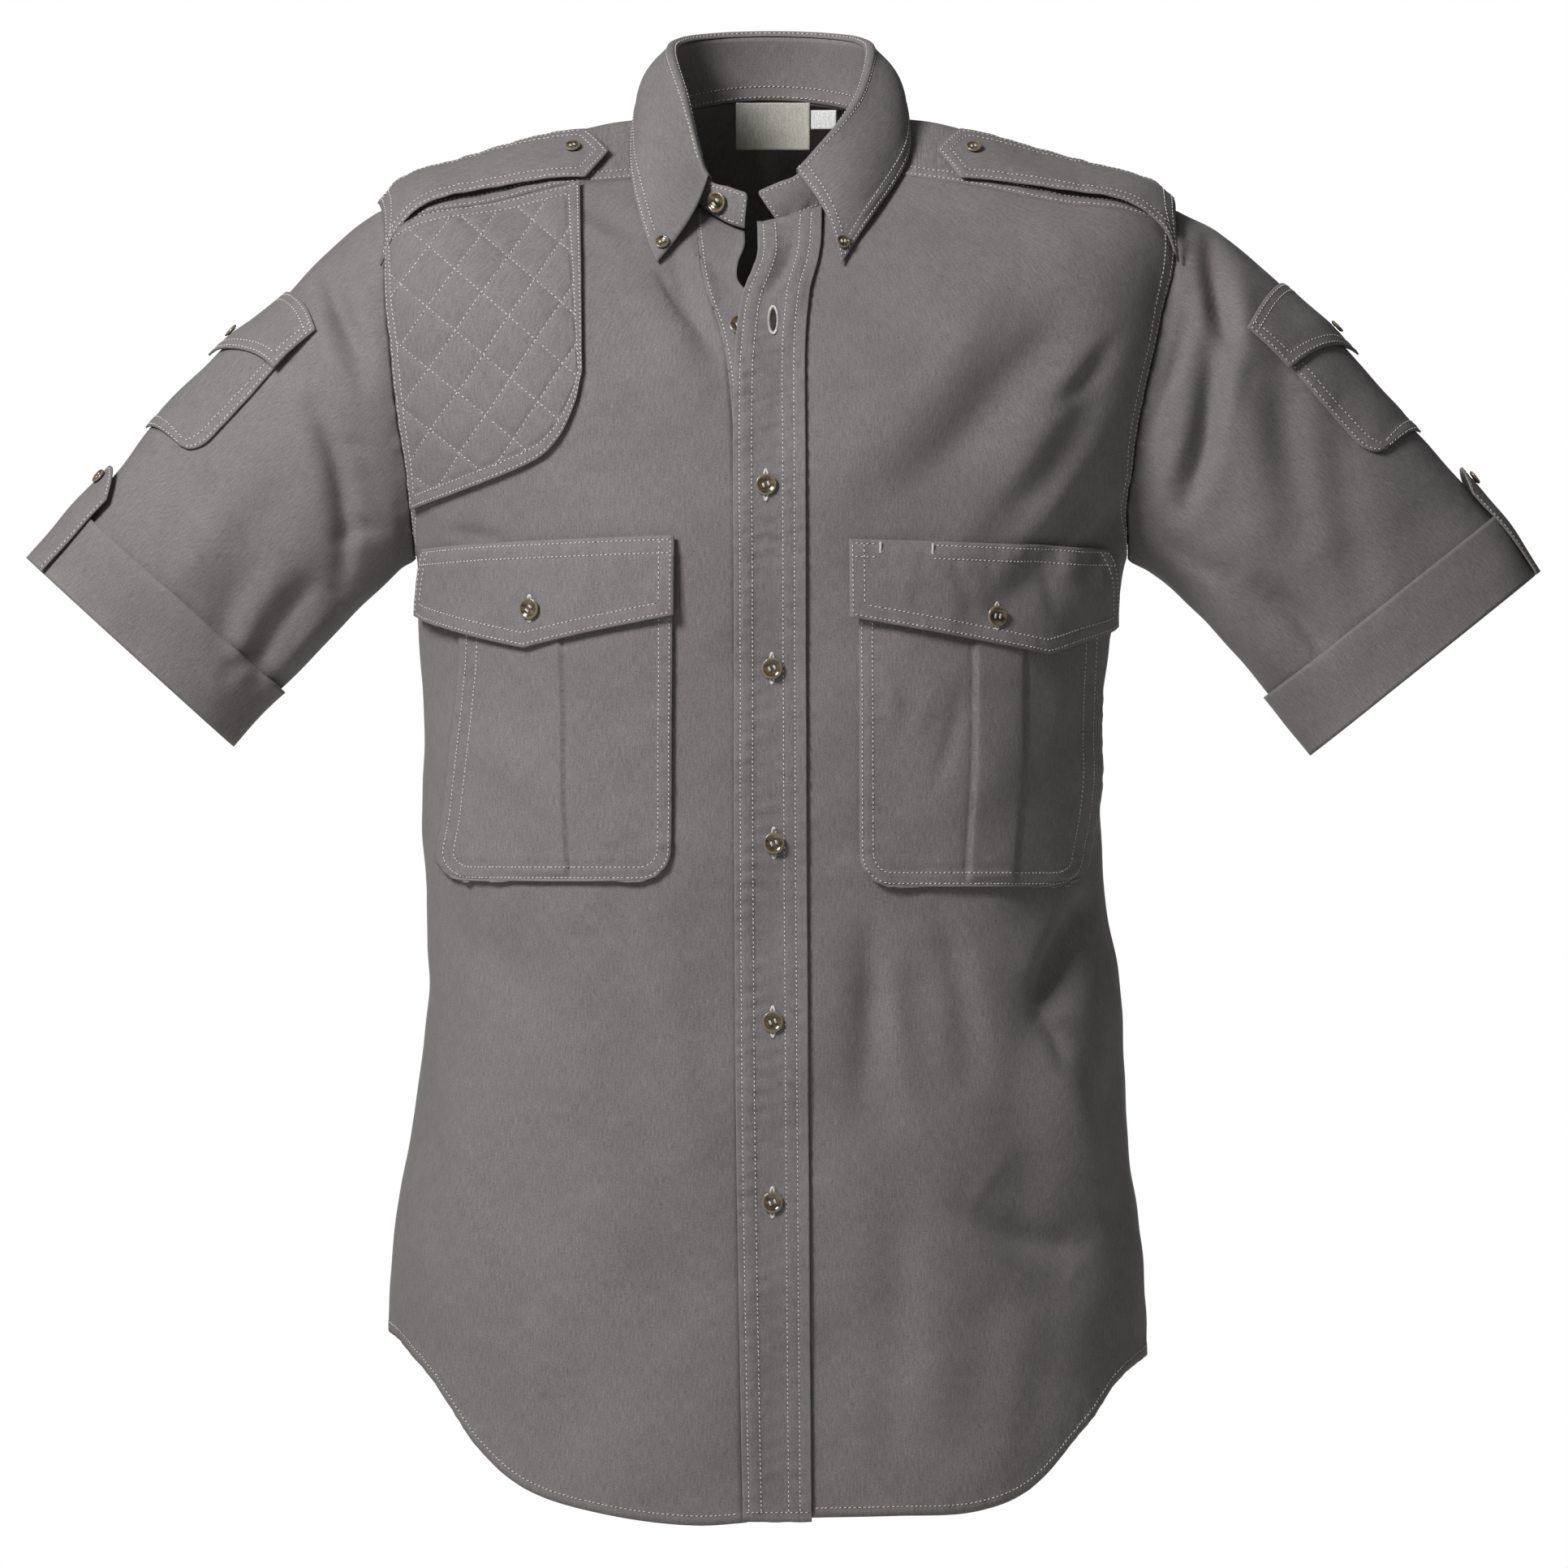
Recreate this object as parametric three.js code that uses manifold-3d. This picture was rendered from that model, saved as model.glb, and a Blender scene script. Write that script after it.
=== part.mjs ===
// Short-sleeved safari shirt in its worn shape, hollow, with nobody inside.
// Millimetres, +Z up. The front looks along -Y and +X is the wearer's left side.
// The origin is the middle of the neck base, at the height of the shoulders' high points.

import * as THREE from 'three';
import { mergeVertices } from 'three/addons/utils/BufferGeometryUtils.js';
import Module from 'manifold-3d';

const wasm = await Module();
wasm.setup();

// A table is its columns' names and then its rows.
function table(columns, ...rows) {
  return rows.map(row => Object.fromEntries(columns.map((column, i) => [column, row[i]])));
}

// Cloth and seams
const CLOTH = 1.3; // wall of one made-up layer
const SEAM = 0.35; // gap between two pieces that are sewn edge to edge
const SEAM_ANGLE = 0.09; // half of that gap at a side seam, as an angle of the torso
const LAYER = 0.8; // gap under a piece that lies on another
const BUTTON_SEAT = 0.35; // gap under a button
const STEP = 0.25; // step for the slope of a surface, in degrees and in levels

// The torso is a stack of rings. Below the armpit a ring is level, and its level is its height.
// Above it the rings tilt up to the neck: zFront, zSide and zBack are a ring's heights.
// right and left are the half widths, front and back the depths, square the corner fullness.
// dip bends the front of a ring down to its middle, and lift raises it on the placket's side.
const ARMPIT = -231;
const TORSO = table(
  ['level', 'right', 'left', 'front', 'back', 'zFront', 'zSide', 'zBack', 'square', 'dip', 'lift'],
  [0, 60, 59, 62, 57, -60, 2, 12, 2.0, 1.1, 8],
  [-12, 88, 88, 72, 70, -65, -1, 5, 2.1, 1.2, 5],
  [-28, 122, 123, 82, 82, -74, -10, -8, 2.15, 1.45, 2],
  [-50, 162, 165, 93, 94, -88, -24, -28, 2.2, 1.7, 0],
  [-75, 195, 201, 105, 103, -107, -37, -54, 2.25, 1.9, 0],
  [-105, 211, 217, 115, 109, -130, -62, -86, 2.3, 2, 0],
  [-140, 213, 216, 122, 111, -156, -104, -122, 2.35, 2, 0],
  [-185, 204, 204, 127, 110, -193, -166, -173, 2.4, 2, 0],
  [-231, 188, 188, 129, 108, -231, -231, -231, 2.45, 2, 0],
  [-280, 186, 180, 129, 105, -280, -280, -280, 2.45, 2, 0],
  [-378, 184, 174, 128, 99, -378, -378, -378, 2.45, 2, 0],
  [-456, 183, 184, 127, 98, -456, -456, -456, 2.45, 2, 0],
  [-533, 188, 190, 128, 101, -533, -533, -533, 2.4, 2, 0],
  [-610, 199, 196, 130, 107, -610, -610, -610, 2.4, 2, 0],
  [-700, 204, 202, 132, 113, -700, -700, -700, 2.4, 2, 0],
  [-770, 206, 204, 133, 117, -770, -770, -770, 2.4, 2, 0],
);

// The armhole is a loop in the torso's angle and level.
const ARMHOLE = { top: -88, bottom: ARMPIT, frontReach: 23, backReach: 27, frontSeam: 35, backSeam: 55 };
const RISE_SHARE = 0.6; // how much its points are spaced by height, and for the rest by turn
// The front yoke seam starts at this angle on the neck, and the back one dips to this level.
// seamBend and backBend are how late they turn towards the armhole; shoulderAngle is on the neck seam.
const YOKE = { neckAngle: 58, backLevel: -108, seamBend: 2.2, backBend: 3, shoulderAngle: 128 };

// Hem heights, by the angle from the front's middle
const HEM_RIGHT = table(
  ['angle', 'z'], [0, -738], [9, -741], [22, -735], [36, -722], [47, -700], [60, -665], [76, -645], [90, -640],
);
const HEM_LEFT = table(
  ['angle', 'z'], [0, -737], [14, -736], [27, -734], [38, -722], [52, -690], [64, -666], [76, -656], [90, -652],
);

// The overlap down the front: where the placket, the button stand and the left front have their edges.
// open is how far the undone placket's free edge stands off.
const OVERLAP = table(
  ['z', 'placketFrom', 'placketTo', 'standFrom', 'standTo', 'leftEdge', 'open'],
  [-55, -6.5, 27, -39, -14, -2, 3],
  [-66, -6.8, 26.5, -38, -14, -3, 3.5],
  [-75, -7.2, 25, -37, -17.4, -4, 4],
  [-84, -10.5, 22.5, -35.5, -17.4, -6.5, 4],
  [-90, -13.2, 21, -34, -12.8, -8.5, 4.2],
  [-98, -15.9, 20, -31, -10.5, -8.5, 4.2],
  [-112, -17.8, 18.6, -26.5, -5, -3.5, 4],
  [-130, -19.3, 18, -23, 2, 3.5, 3],
  [-170, -20, 18.2, -19.5, 10, 11.2, 1],
  [-250, -19.5, 18.5, -17.5, 14.5, 15.4, 0],
  [-383, -19.3, 19, -17, 15, 15.8, 0],
  [-550, -18, 20, -16, 16, 16.8, 0],
  [-745, -14.6, 21.5, -13, 17.5, 18.3, 0],
);

// Large soft folds, each from one point of the front view to another; depth is minus for a trough.
const FRONT_FOLDS = [
  { x1: -54, z1: -85, x2: -20, z2: -150, width: 8, depth: -3 },
  { x1: 180, z1: -125, x2: 105, z2: -225, width: 17, depth: 4 },
  { x1: 165, z1: -100, x2: 80, z2: -190, width: 15, depth: -3 },
  { x1: 170, z1: -425, x2: 142, z2: -472, width: 13, depth: -7 },
  { x1: 146, z1: -480, x2: 166, z2: -565, width: 15, depth: 5 },
  { x1: 112, z1: -560, x2: 168, z2: -605, width: 19, depth: -6 },
  { x1: 52, z1: -450, x2: 58, z2: -545, width: 16, depth: -3 },
  { x1: -155, z1: -425, x2: -112, z2: -480, width: 17, depth: -4 },
  { x1: -70, z1: -520, x2: -95, z2: -640, width: 22, depth: 3 },
  { x1: 95, z1: -610, x2: 80, z2: -700, width: 22, depth: 3 },
];
const BACK_FOLDS = [
  { x1: -150, z1: -170, x2: -105, z2: -330, width: 20, depth: 5 },
  { x1: 150, z1: -170, x2: 110, z2: -330, width: 20, depth: 5 },
  { x1: -40, z1: -130, x2: -62, z2: -400, width: 22, depth: -4 },
  { x1: 52, z1: -130, x2: 44, z2: -420, width: 22, depth: -4 },
  { x1: -150, z1: -470, x2: 20, z2: -520, width: 22, depth: -5 },
  { x1: 150, z1: -430, x2: 40, z2: -480, width: 20, depth: -4 },
  { x1: -90, z1: -560, x2: -110, z2: -690, width: 26, depth: 5 },
  { x1: 70, z1: -560, x2: 92, z2: -690, width: 26, depth: 5 },
];
const FOLD_FADE = 0.4; // folds of the front and back fade out over this share towards the sides

// A sleeve runs from its armhole to an oval cuff end. outer and inner are the oval's two ends.
const SLEEVES = {
  right: { sign: -1, outer: [-390, -237], inner: [-287, -330], depth: 44, middle: -8, topTurn: 0.86 },
  left: { sign: 1, outer: [404, -243], inner: [288, -335], depth: 45, middle: -8, topTurn: 0.86 },
};
const SLEEVE_START = { out: 0.72, down: 0.54 }; // the sleeve's first ring stands off its armhole
// The way a sleeve leaves its armhole: out of it at the armpit, to the front, and down
const SLEEVE_LEAVES = { armpitTurn: 0.74, front: -0.18, down: -0.55, pull: 0.95 };
const SLEEVE_FOLDS = {
  right: [
    { x1: -238, z1: -80, x2: -209, z2: -150, width: 10, depth: -5 },
    { x1: -262, z1: -120, x2: -232, z2: -225, width: 12, depth: 3 },
    { x1: -275, z1: -294, x2: -238, z2: -238, width: 10, depth: -4 },
    { x1: -300, z1: -200, x2: -262, z2: -260, width: 14, depth: 3 },
  ],
  left: [
    { x1: 229, z1: -58, x2: 242, z2: -122, width: 9, depth: -6 },
    { x1: 232, z1: -124, x2: 220, z2: -200, width: 10, depth: -5 },
    { x1: 252, z1: -130, x2: 262, z2: -235, width: 15, depth: 4 },
    { x1: 300, z1: -280, x2: 248, z2: -240, width: 11, depth: -4 },
  ],
};
const CUFF = { height: 41, flare: 1.4 };

// The collar stand from its end on the wearer's right, round the back, to its end on the left.
// neckAngle is the place on the neck seam under each station.
const STAND = table(
  ['neckAngle', 'x', 'y', 'z'],
  [-13.5, -12, -60, -39],
  [-22, -22, -57, -35.5],
  [-33, -32.5, -51, -31.5],
  [-46, -38, -43, -16],
  [-64, -44.5, -28, 12],
  [-90, -51, 0, 35],
  [-125, -46, 28, 42],
  [-153, -27, 46, 45],
  [-180, 0, 51, 46],
  [-207, 27, 46, 45],
  [-235, 46, 28, 42],
  [-270, 51, 0, 35],
  [-293, 46, -27, 14],
  [-310, 38, -42, 0],
  [-325, 27, -51, -14],
  [-338, 14, -57, -28.5],
  [-347, 4, -60, -33],
  [-356, -7.5, -61.5, -38],
);

const STAND_TOP = 0.93; // the stand ends here, just under the fold of the leaf
const STAND_BOW = 1.5; // how far it bows outwards

// The collar leaf folds over the stand. at is its place along the stand in stations,
// x with z (seen from the front) or with y (seen from above) is its free edge on the body,
// bulge is how far it stands off between fold and edge, and sway how far it bows to the wearer's left.
const LEAF = [
  { at: 1.95, x: -60, z: -76, bulge: 2, sway: 5 },
  { at: 2.3, x: -66, z: -62, bulge: 3, sway: 2 },
  { at: 3.1, x: -72, z: -40, bulge: 5, sway: 0 },
  { at: 4.0, x: -74, z: -20, bulge: 6, sway: 0 },
  { at: 5.0, x: -71, y: 2, bulge: 6, sway: 0 },
  { at: 6.0, x: -62, y: 42, bulge: 5, sway: 0 },
  { at: 7.0, x: -36, y: 66, bulge: 4, sway: 0 },
  { at: 8.0, x: 0, y: 73, bulge: 4, sway: 0 },
  { at: 9.0, x: 36, y: 66, bulge: 4, sway: 0 },
  { at: 10.0, x: 62, y: 42, bulge: 5, sway: 0 },
  { at: 11.0, x: 71, y: 2, bulge: 6, sway: 0 },
  { at: 12.0, x: 73, z: -17, bulge: 6, sway: 0 },
  { at: 13.2, x: 66, z: -34, bulge: 5, sway: 0 },
  { at: 14.3, x: 50, z: -58, bulge: 4, sway: 1 },
  { at: 15.0, x: 37, z: -78, bulge: 3.5, sway: 2 },
];
const LEAF_LIFT = 2.4; // the leaf's edge over the body
const LEAF_BULGE = { out: 0.8, up: 0.5 }; // the share of the bulge that goes outwards and upwards
const ROLL = 2.2; // radius of the fold at the collar's top

// Chest pockets: edges in the front view, at the top and the bottom
const POCKETS = {
  right: { topFrom: -158, topTo: -51.5, lowFrom: -175, lowTo: -52, top: -236, bottom: -402, corner: 17, boxed: false },
  left: { topFrom: 46, topTo: 175, lowFrom: 47, lowTo: 168, top: -238, bottom: -405, corner: 17, boxed: true },
};
const CHEST_FLAPS = {
  right: { from: -180, to: -50.5, zFrom: -226, zTo: -220, sideFrom: -262, sideTo: -262, point: -279, pointAt: 0.56 },
  left: { from: 41, to: 177.5, zFrom: -222, zTo: -227, sideFrom: -263, sideTo: -267, point: -282, pointAt: 0.55 },
};
const POCKET_FORM = { lift: 1.1, belly: 1.6, pleatHeight: 1.0 };
// A flap from its seam to its lower edge: down is the share of its height, out how far it stands off.
const FLAP_FORM = table(['down', 'out'], [0, 0.6], [0.24, 3.5], [0.5, 4.7], [0.75, 5.2], [1, 5.7]);
const FLAP_EDGE = { nearSide: 0.6, nearMiddle: 0.9 }; // share of that at its two ends

// Quilted patch at the wearer's right shoulder, in the front view
const PATCH = {
  inset: 2.2, // its margin inside the armhole and the yoke seam
  innerTop: -101, innerLow: -99, straightTo: -134, curve: [[-103, -152], [-113, -171], [-131, -184]], outerLow: -205,
  border: 7, // flat band round the quilting
  stepA: [14.2, -12.5], stepB: [-12.9, -19.4], // the two sides of one diamond
  lift: 1.8, // gap under the patch, which lies flat over the curve of the shoulder
  puff: 1.6, // height of a diamond's middle
  origin: [-150, -125], reach: 24, // one crossing of the stitch lines, and half steps each way from it
};

// Shoulder tabs, seen from above: they start in the armhole seam and end in a point near the collar.
const EPAULETTES = {
  right: { outer: -204, inner: -86, yOuter: -19, yInner: -26 },
  left: { outer: 209, inner: 88, yOuter: -19, yInner: -26 },
};
const EPAULETTE = { halfOuter: 23, halfInner: 17, point: 12, thick: 1.6, buttonIn: 19, lift: 2.3 };

// Sleeve pockets, flaps and roll-up tabs: turn is the angle round the sleeve from its top line,
// plus to the front; along is the share of the sleeve's length.
const SLEEVE_POCKET = { turn: 52, from: 0.335, to: 0.64, corner: 0.06, slant: 0.05 };
const SLEEVE_TRIM_INNER = 41; // the sleeve's own columns within this turn carry the pocket's inner columns
const SLEEVE_FLAP = { turn: 54, from: 0.27, sideFrom: 0.2, side: 0.325, point: 0.455, standOff: 1.2 };
const ROLL_TAB = { middle: { right: 11, left: -4 }, turn: 20, from: 0.79, point: 0.74, buttonRow: 0.6 };
const SLEEVE_END = 0.994; // the sleeve's own wall ends here, just inside its cuff's fold

// Buttons: flat discs with a raised rim and four holes sunk in a dish
const BUTTON = { radius: 5.7, thick: 2.4, rim: 1.1, dish: 0.7, sides: 14 };
const SMALL_BUTTON = { radius: 4.3, thick: 2.0, rim: 0.9, dish: 0.5, sides: 12 };
const PLACKET_BUTTONS = [{ x: -2.6, z: -193.5 }, { x: 0.6, z: -290 }, { x: 1.6, z: -382 }, { x: 1, z: -476 }, { x: 0.8, z: -571 }];
const HALF_HIDDEN_BUTTON = { x: -16.5, z: -109 };
const STAND_BUTTON = { row: 1, column: 2.65 }; // in the rows and columns of the stand
const FLAP_BUTTONS = { right: { x: -127, z: -258.5 }, left: { x: 119, z: -262.5 } };
const COLLAR_BUTTON = { radius: 3.9, thick: 1.9, rim: 0.8, dish: 0.5, sides: 12 };
const COLLAR_BUTTONS = { right: { x: -57.5, z: -65 }, left: { x: 37.5, z: -65.5 } };

// Tags in the neck: standOff is their place in front of the neck seam, hang how far the lower edge swings back
const LABEL = { x1: -18.5, x2: 20.6, z1: 11, z2: -14, standOff: 3.4, hang: 6, thick: 1.0 };
const SIZE_TAB = { x1: 21.2, x2: 34.5, z1: 7, z2: -3, standOff: 3.4, hang: 2, thick: 1.0 };

// Colours of the finished cloth and trim
const COLOURS = { cloth: 0x76726f, clothDark: 0x6c6866, button: 0x6b5f4c, label: 0xb9b6a6, tab: 0xdcdcdc };

// How finely each piece is divided
const GRID = {
  neck: 6, seam: 6, rise: 8, fall: 12, shoulder: 6, backAcross: 20, sleeve: 8, cuff: 2,
  stripAcross: 3, stand: 30, standUp: 2, leaf: 34, leafDown: 4,
};

const group = new THREE.Group();

// Smooth interpolation in a table, by one of its columns
function rowAt(rows, key, value) {
  const up = rows[0][key] < rows[rows.length - 1][key];
  const last = rows.length - 1;
  let i = 0;
  while (i < last - 1 && (up ? rows[i + 1][key] < value : rows[i + 1][key] > value)) i += 1;
  const [a, b] = [rows[i], rows[i + 1]];
  const before = rows[Math.max(i - 1, 0)];
  const after = rows[Math.min(i + 2, last)];
  const span = b[key] - a[key];
  const t = THREE.MathUtils.clamp((value - a[key]) / span, 0, 1);
  const out = {};
  for (const column of Object.keys(a)) {
    const slopeA = (b[column] - before[column]) / (b[key] - before[key]) * span;
    const slopeB = (after[column] - a[column]) / (after[key] - a[key]) * span;
    out[column] = (2 * t ** 3 - 3 * t ** 2 + 1) * a[column] + (t ** 3 - 2 * t ** 2 + t) * slopeA
      + (3 * t ** 2 - 2 * t ** 3) * b[column] + (t ** 3 - t ** 2) * slopeB;
  }
  out[key] = value;
  return out;
}

const power = (value, exponent) => Math.sign(value) * Math.abs(value) ** exponent;
const cosd = angle => Math.cos(THREE.MathUtils.degToRad(angle));
const sind = angle => Math.sin(THREE.MathUtils.degToRad(angle));
const mix = THREE.MathUtils.lerp;

// Height of a soft fold at a point of the front or back view
function foldHeight(folds, x, z) {
  let height = 0;
  for (const { x1, z1, x2, z2, width, depth } of folds) {
    const [dx, dz] = [x2 - x1, z2 - z1];
    const along = ((x - x1) * dx + (z - z1) * dz) / (dx * dx + dz * dz);
    const near = THREE.MathUtils.clamp(along, 0, 1);
    const off = Math.hypot(x - x1 - near * dx, z - z1 - near * dz) / width;
    const fade = Math.sqrt(Math.sin(Math.PI * THREE.MathUtils.clamp(near, 0.04, 0.96)));
    height += depth * fade * Math.exp(-off * off);
  }
  return height;
}

// Point of the torso without folds. Angle 0 is the front's middle and 90 the wearer's left side.
function torsoBase(angle, level) {
  const r = rowAt(TORSO, 'level', level);
  const [s, c] = [sind(angle), cosd(angle)];
  const k = 2 / r.square;
  const half = s < 0 ? r.right : r.left;
  const deep = c > 0 ? r.front : r.back;
  const z = c > 0
    ? mix(r.zSide, r.zFront, c ** r.dip) + r.lift * c * c * THREE.MathUtils.smoothstep(s, -0.25, 0.35)
    : mix(r.zSide, r.zBack, c * c);
  return new THREE.Vector3(half * power(s, k), -deep * power(c, k), z);
}

function normalOf(surface, u, v, step) {
  const du = surface(u + step, v).sub(surface(u - step, v));
  const dv = surface(u, v + step).sub(surface(u, v - step));
  return du.cross(dv).normalize();
}

// Point of the torso with its folds
function torsoPoint(angle, level) {
  const p = torsoBase(angle, level);
  const c = cosd(angle);
  const height = foldHeight(c > 0 ? FRONT_FOLDS : BACK_FOLDS, p.x, p.z);
  const fade = THREE.MathUtils.smoothstep(Math.abs(c), 0, FOLD_FADE);
  return p.addScaledVector(normalOf(torsoBase, angle, level, STEP), height * fade);
}

// A spot is a point with its outward direction.
const spot = (p, n) => ({ p, n });
const torso = (angle, level) => spot(torsoPoint(angle, level), normalOf(torsoPoint, angle, level, STEP));
const raised = ({ p, n }, out) => p.clone().addScaledVector(n, out);

function solve(f, low, high) {
  let [a, b] = [low, high];
  for (let i = 0; i < 40; i += 1) {
    const middle = (a + b) / 2;
    if (f(middle) > 0) a = middle;
    else b = middle;
  }
  return (a + b) / 2;
}

const [NECK_LEVEL, LOWEST_LEVEL] = [0, -770];
const levelAt = (angle, z) => solve(level => torsoBase(angle, level).z - z, NECK_LEVEL, LOWEST_LEVEL);

// Angle where one ring's front has the given x
function angleOnRing(level, x) {
  const r = rowAt(TORSO, 'level', level);
  const share = Math.min(Math.abs(x) / (x < 0 ? r.right : r.left), 1);
  return Math.sign(x) * THREE.MathUtils.radToDeg(Math.asin(share ** (r.square / 2)));
}

// Place on the torso at a point of the front view
function frontPlace(x, z) {
  const level = solve(at => torsoBase(angleOnRing(at, x), at).z - z, NECK_LEVEL, LOWEST_LEVEL);
  return { angle: angleOnRing(level, x), level };
}
const angleAt = (x, z) => frontPlace(x, z).angle;
const onFront = (x, z) => {
  const { angle, level } = frontPlace(x, z);
  return torso(angle, level);
};

// Spot on top of the shoulders or the upper back, from its place seen from above
function onTop(x, y) {
  const level = solve(at => {
    const r = rowAt(TORSO, 'level', at);
    const [half, deep] = [x < 0 ? r.right : r.left, y < 0 ? r.front : r.back];
    return Math.abs(x / half) ** r.square + Math.abs(y / deep) ** r.square - 1;
  }, NECK_LEVEL, ARMPIT);
  const r = rowAt(TORSO, 'level', level);
  const s = power(x / (x < 0 ? r.right : r.left), r.square / 2);
  const c = power(-y / (y < 0 ? r.front : r.back), r.square / 2);
  return torso(THREE.MathUtils.radToDeg(Math.atan2(s, c)), level);
}

// Meshes

function flatten(rows) {
  return rows.flat().flatMap(v => [v.x, v.y, v.z]);
}

function volumeOf(positions, index) {
  const [a, b, c] = [new THREE.Vector3(), new THREE.Vector3(), new THREE.Vector3()];
  let total = 0;
  for (let i = 0; i < index.length; i += 3) {
    a.fromArray(positions, index[i] * 3);
    b.fromArray(positions, index[i + 1] * 3);
    c.fromArray(positions, index[i + 2] * 3);
    total += a.dot(b.cross(c));
  }
  return total;
}

// A quad of a grid is split along its shorter diagonal, which is its second one where this is true.
const NEARLY = 1e-6;
const splitsOther = (a, b, c, d) => b.distanceToSquared(d) < a.distanceToSquared(c) - NEARLY;

// Closed wall between two equal grids of points; wraps joins its first and last columns.
function wallGeometry(outer, inner, wraps = false) {
  const [rows, columns] = [outer.length, outer[0].length];
  const positions = [...flatten(outer), ...flatten(inner)];
  const index = [];
  const quad = (a, b, c, d, other = false) => index.push(...(other ? [a, b, d, b, c, d] : [a, b, c, a, c, d]));
  const at = (layer, i, j) => (layer * rows + i) * columns + (j % columns);
  const lastColumn = wraps ? columns : columns - 1;
  for (let i = 0; i < rows - 1; i += 1) {
    for (let j = 0; j < lastColumn; j += 1) {
      const k = (j + 1) % columns;
      const other = splitsOther(outer[i][j], outer[i][k], outer[i + 1][k], outer[i + 1][j]);
      quad(at(0, i, j), at(0, i, k), at(0, i + 1, k), at(0, i + 1, j), other);
      quad(at(1, i, j), at(1, i + 1, j), at(1, i + 1, k), at(1, i, k), other);
    }
    if (!wraps) {
      quad(at(0, i, 0), at(0, i + 1, 0), at(1, i + 1, 0), at(1, i, 0));
      quad(at(0, i, lastColumn), at(1, i, lastColumn), at(1, i + 1, lastColumn), at(0, i + 1, lastColumn));
    }
  }
  for (let j = 0; j < lastColumn; j += 1) {
    quad(at(0, 0, j), at(1, 0, j), at(1, 0, j + 1), at(0, 0, j + 1));
    quad(at(0, rows - 1, j), at(0, rows - 1, j + 1), at(1, rows - 1, j + 1), at(1, rows - 1, j));
  }
  if (volumeOf(positions, index) < 0) index.reverse();
  const geometry = new THREE.BufferGeometry();
  geometry.setAttribute('position', new THREE.Float32BufferAttribute(positions, 3));
  geometry.setIndex(index);
  return geometry;
}

function addMesh(name, geometry, colour = COLOURS.cloth, roughness = 0.9) {
  const material = new THREE.MeshStandardMaterial({ color: colour, roughness, metalness: 0 });
  const mesh = new THREE.Mesh(geometry, material);
  mesh.name = name;
  group.add(mesh);
  return mesh;
}

// Spots on the outside of every piece of cloth, by its name
const faces = {};

// A piece of cloth through a grid of spots; outer is how far its outside stands off them.
function addCloth(name, cloth, { outer = 0, thick = CLOTH, wraps = false, colour, roughness } = {}) {
  const standOff = typeof outer === 'function' ? outer : () => outer;
  faces[name] = cloth.map((row, i) => row.map((s, j) => spot(raised(s, standOff(i, j)), s.n)));
  const out = cloth.map((row, i) => row.map((s, j) => raised(s, standOff(i, j))));
  const into = cloth.map((row, i) => row.map((s, j) => raised(s, standOff(i, j) - thick)));
  return addMesh(name, wallGeometry(out, into, wraps), colour, roughness);
}

const steps = count => Array.from({ length: count + 1 }, (_, i) => i / count);

// Spots of the panels that carry other pieces
const spots = {};

// Spot on the faces of a panel, seen along the axis that is left out of the two named ones
function onPanel(grid, keys, u, v) {
  const [ku, kv] = keys;
  let best = null;
  let least = Infinity;
  const test = (a, b, c) => {
    const [au, av] = [a.p[ku], a.p[kv]];
    const [bu, bv, cu, cv] = [b.p[ku] - au, b.p[kv] - av, c.p[ku] - au, c.p[kv] - av];
    const area = bu * cv - cu * bv;
    if (Math.abs(area) < NEARLY) return;
    const s = ((u - au) * cv - cu * (v - av)) / area;
    const t = (bu * (v - av) - (u - au) * bv) / area;
    const outside = Math.max(-s, -t, s + t - 1, 0);
    if (outside >= least) return;
    least = outside;
    const blend = key => a[key].clone().multiplyScalar(1 - s - t).addScaledVector(b[key], s).addScaledVector(c[key], t);
    best = spot(blend('p'), blend('n').normalize());
  };
  for (let i = 0; i < grid.length - 1 && least > 0; i += 1) {
    for (let j = 0; j < grid[0].length - 1; j += 1) {
      const [a, b, c, d] = [grid[i][j], grid[i][j + 1], grid[i + 1][j + 1], grid[i + 1][j]];
      const other = splitsOther(a.p, b.p, c.p, d.p);
      test(a, b, other ? d : c);
      test(other ? b : a, c, d);
    }
  }
  return best;
}

// Spot of a grid between its rows and columns
function between(grid, row, column) {
  const [i, j] = [Math.min(Math.floor(row), grid.length - 2), Math.min(Math.floor(column), grid[0].length - 2)];
  const [t, s] = [row - i, column - j];
  const blend = key => grid[i][j][key].clone().multiplyScalar((1 - s) * (1 - t))
    .addScaledVector(grid[i][j + 1][key], s * (1 - t)).addScaledVector(grid[i + 1][j][key], (1 - s) * t)
    .addScaledVector(grid[i + 1][j + 1][key], s * t);
  return spot(blend('p'), blend('n').normalize());
}

const onFrontPanel = (x, z) => onPanel(x < 0 ? spots.right : spots.left, ['x', 'z'], x, z);
const onYoke = (x, y) => onPanel(spots.yoke, ['x', 'y'], x, y);

// Body panels, each a grid in the torso's angle and level

// Place of the armhole at a turn round it: 0 is the shoulder, 90 the front, 180 the armpit.
function armholePlace(side, turn) {
  const { top, bottom, frontReach, backReach } = ARMHOLE;
  const s = sind(turn);
  const reach = s > 0 ? frontReach : backReach;
  return { angle: side * (90 - reach * s), level: (top + bottom) / 2 + (top - bottom) / 2 * cosd(turn) };
}

// Turns of the armhole from the armpit up to a seam, spaced evenly between its turn and its height
function riseTurns(seam) {
  const evenRise = t => THREE.MathUtils.radToDeg(Math.acos(mix(-1, cosd(seam), t)));
  return steps(GRID.rise).map(t => mix(mix(180, seam, t), evenRise(t), RISE_SHARE));
}

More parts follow.
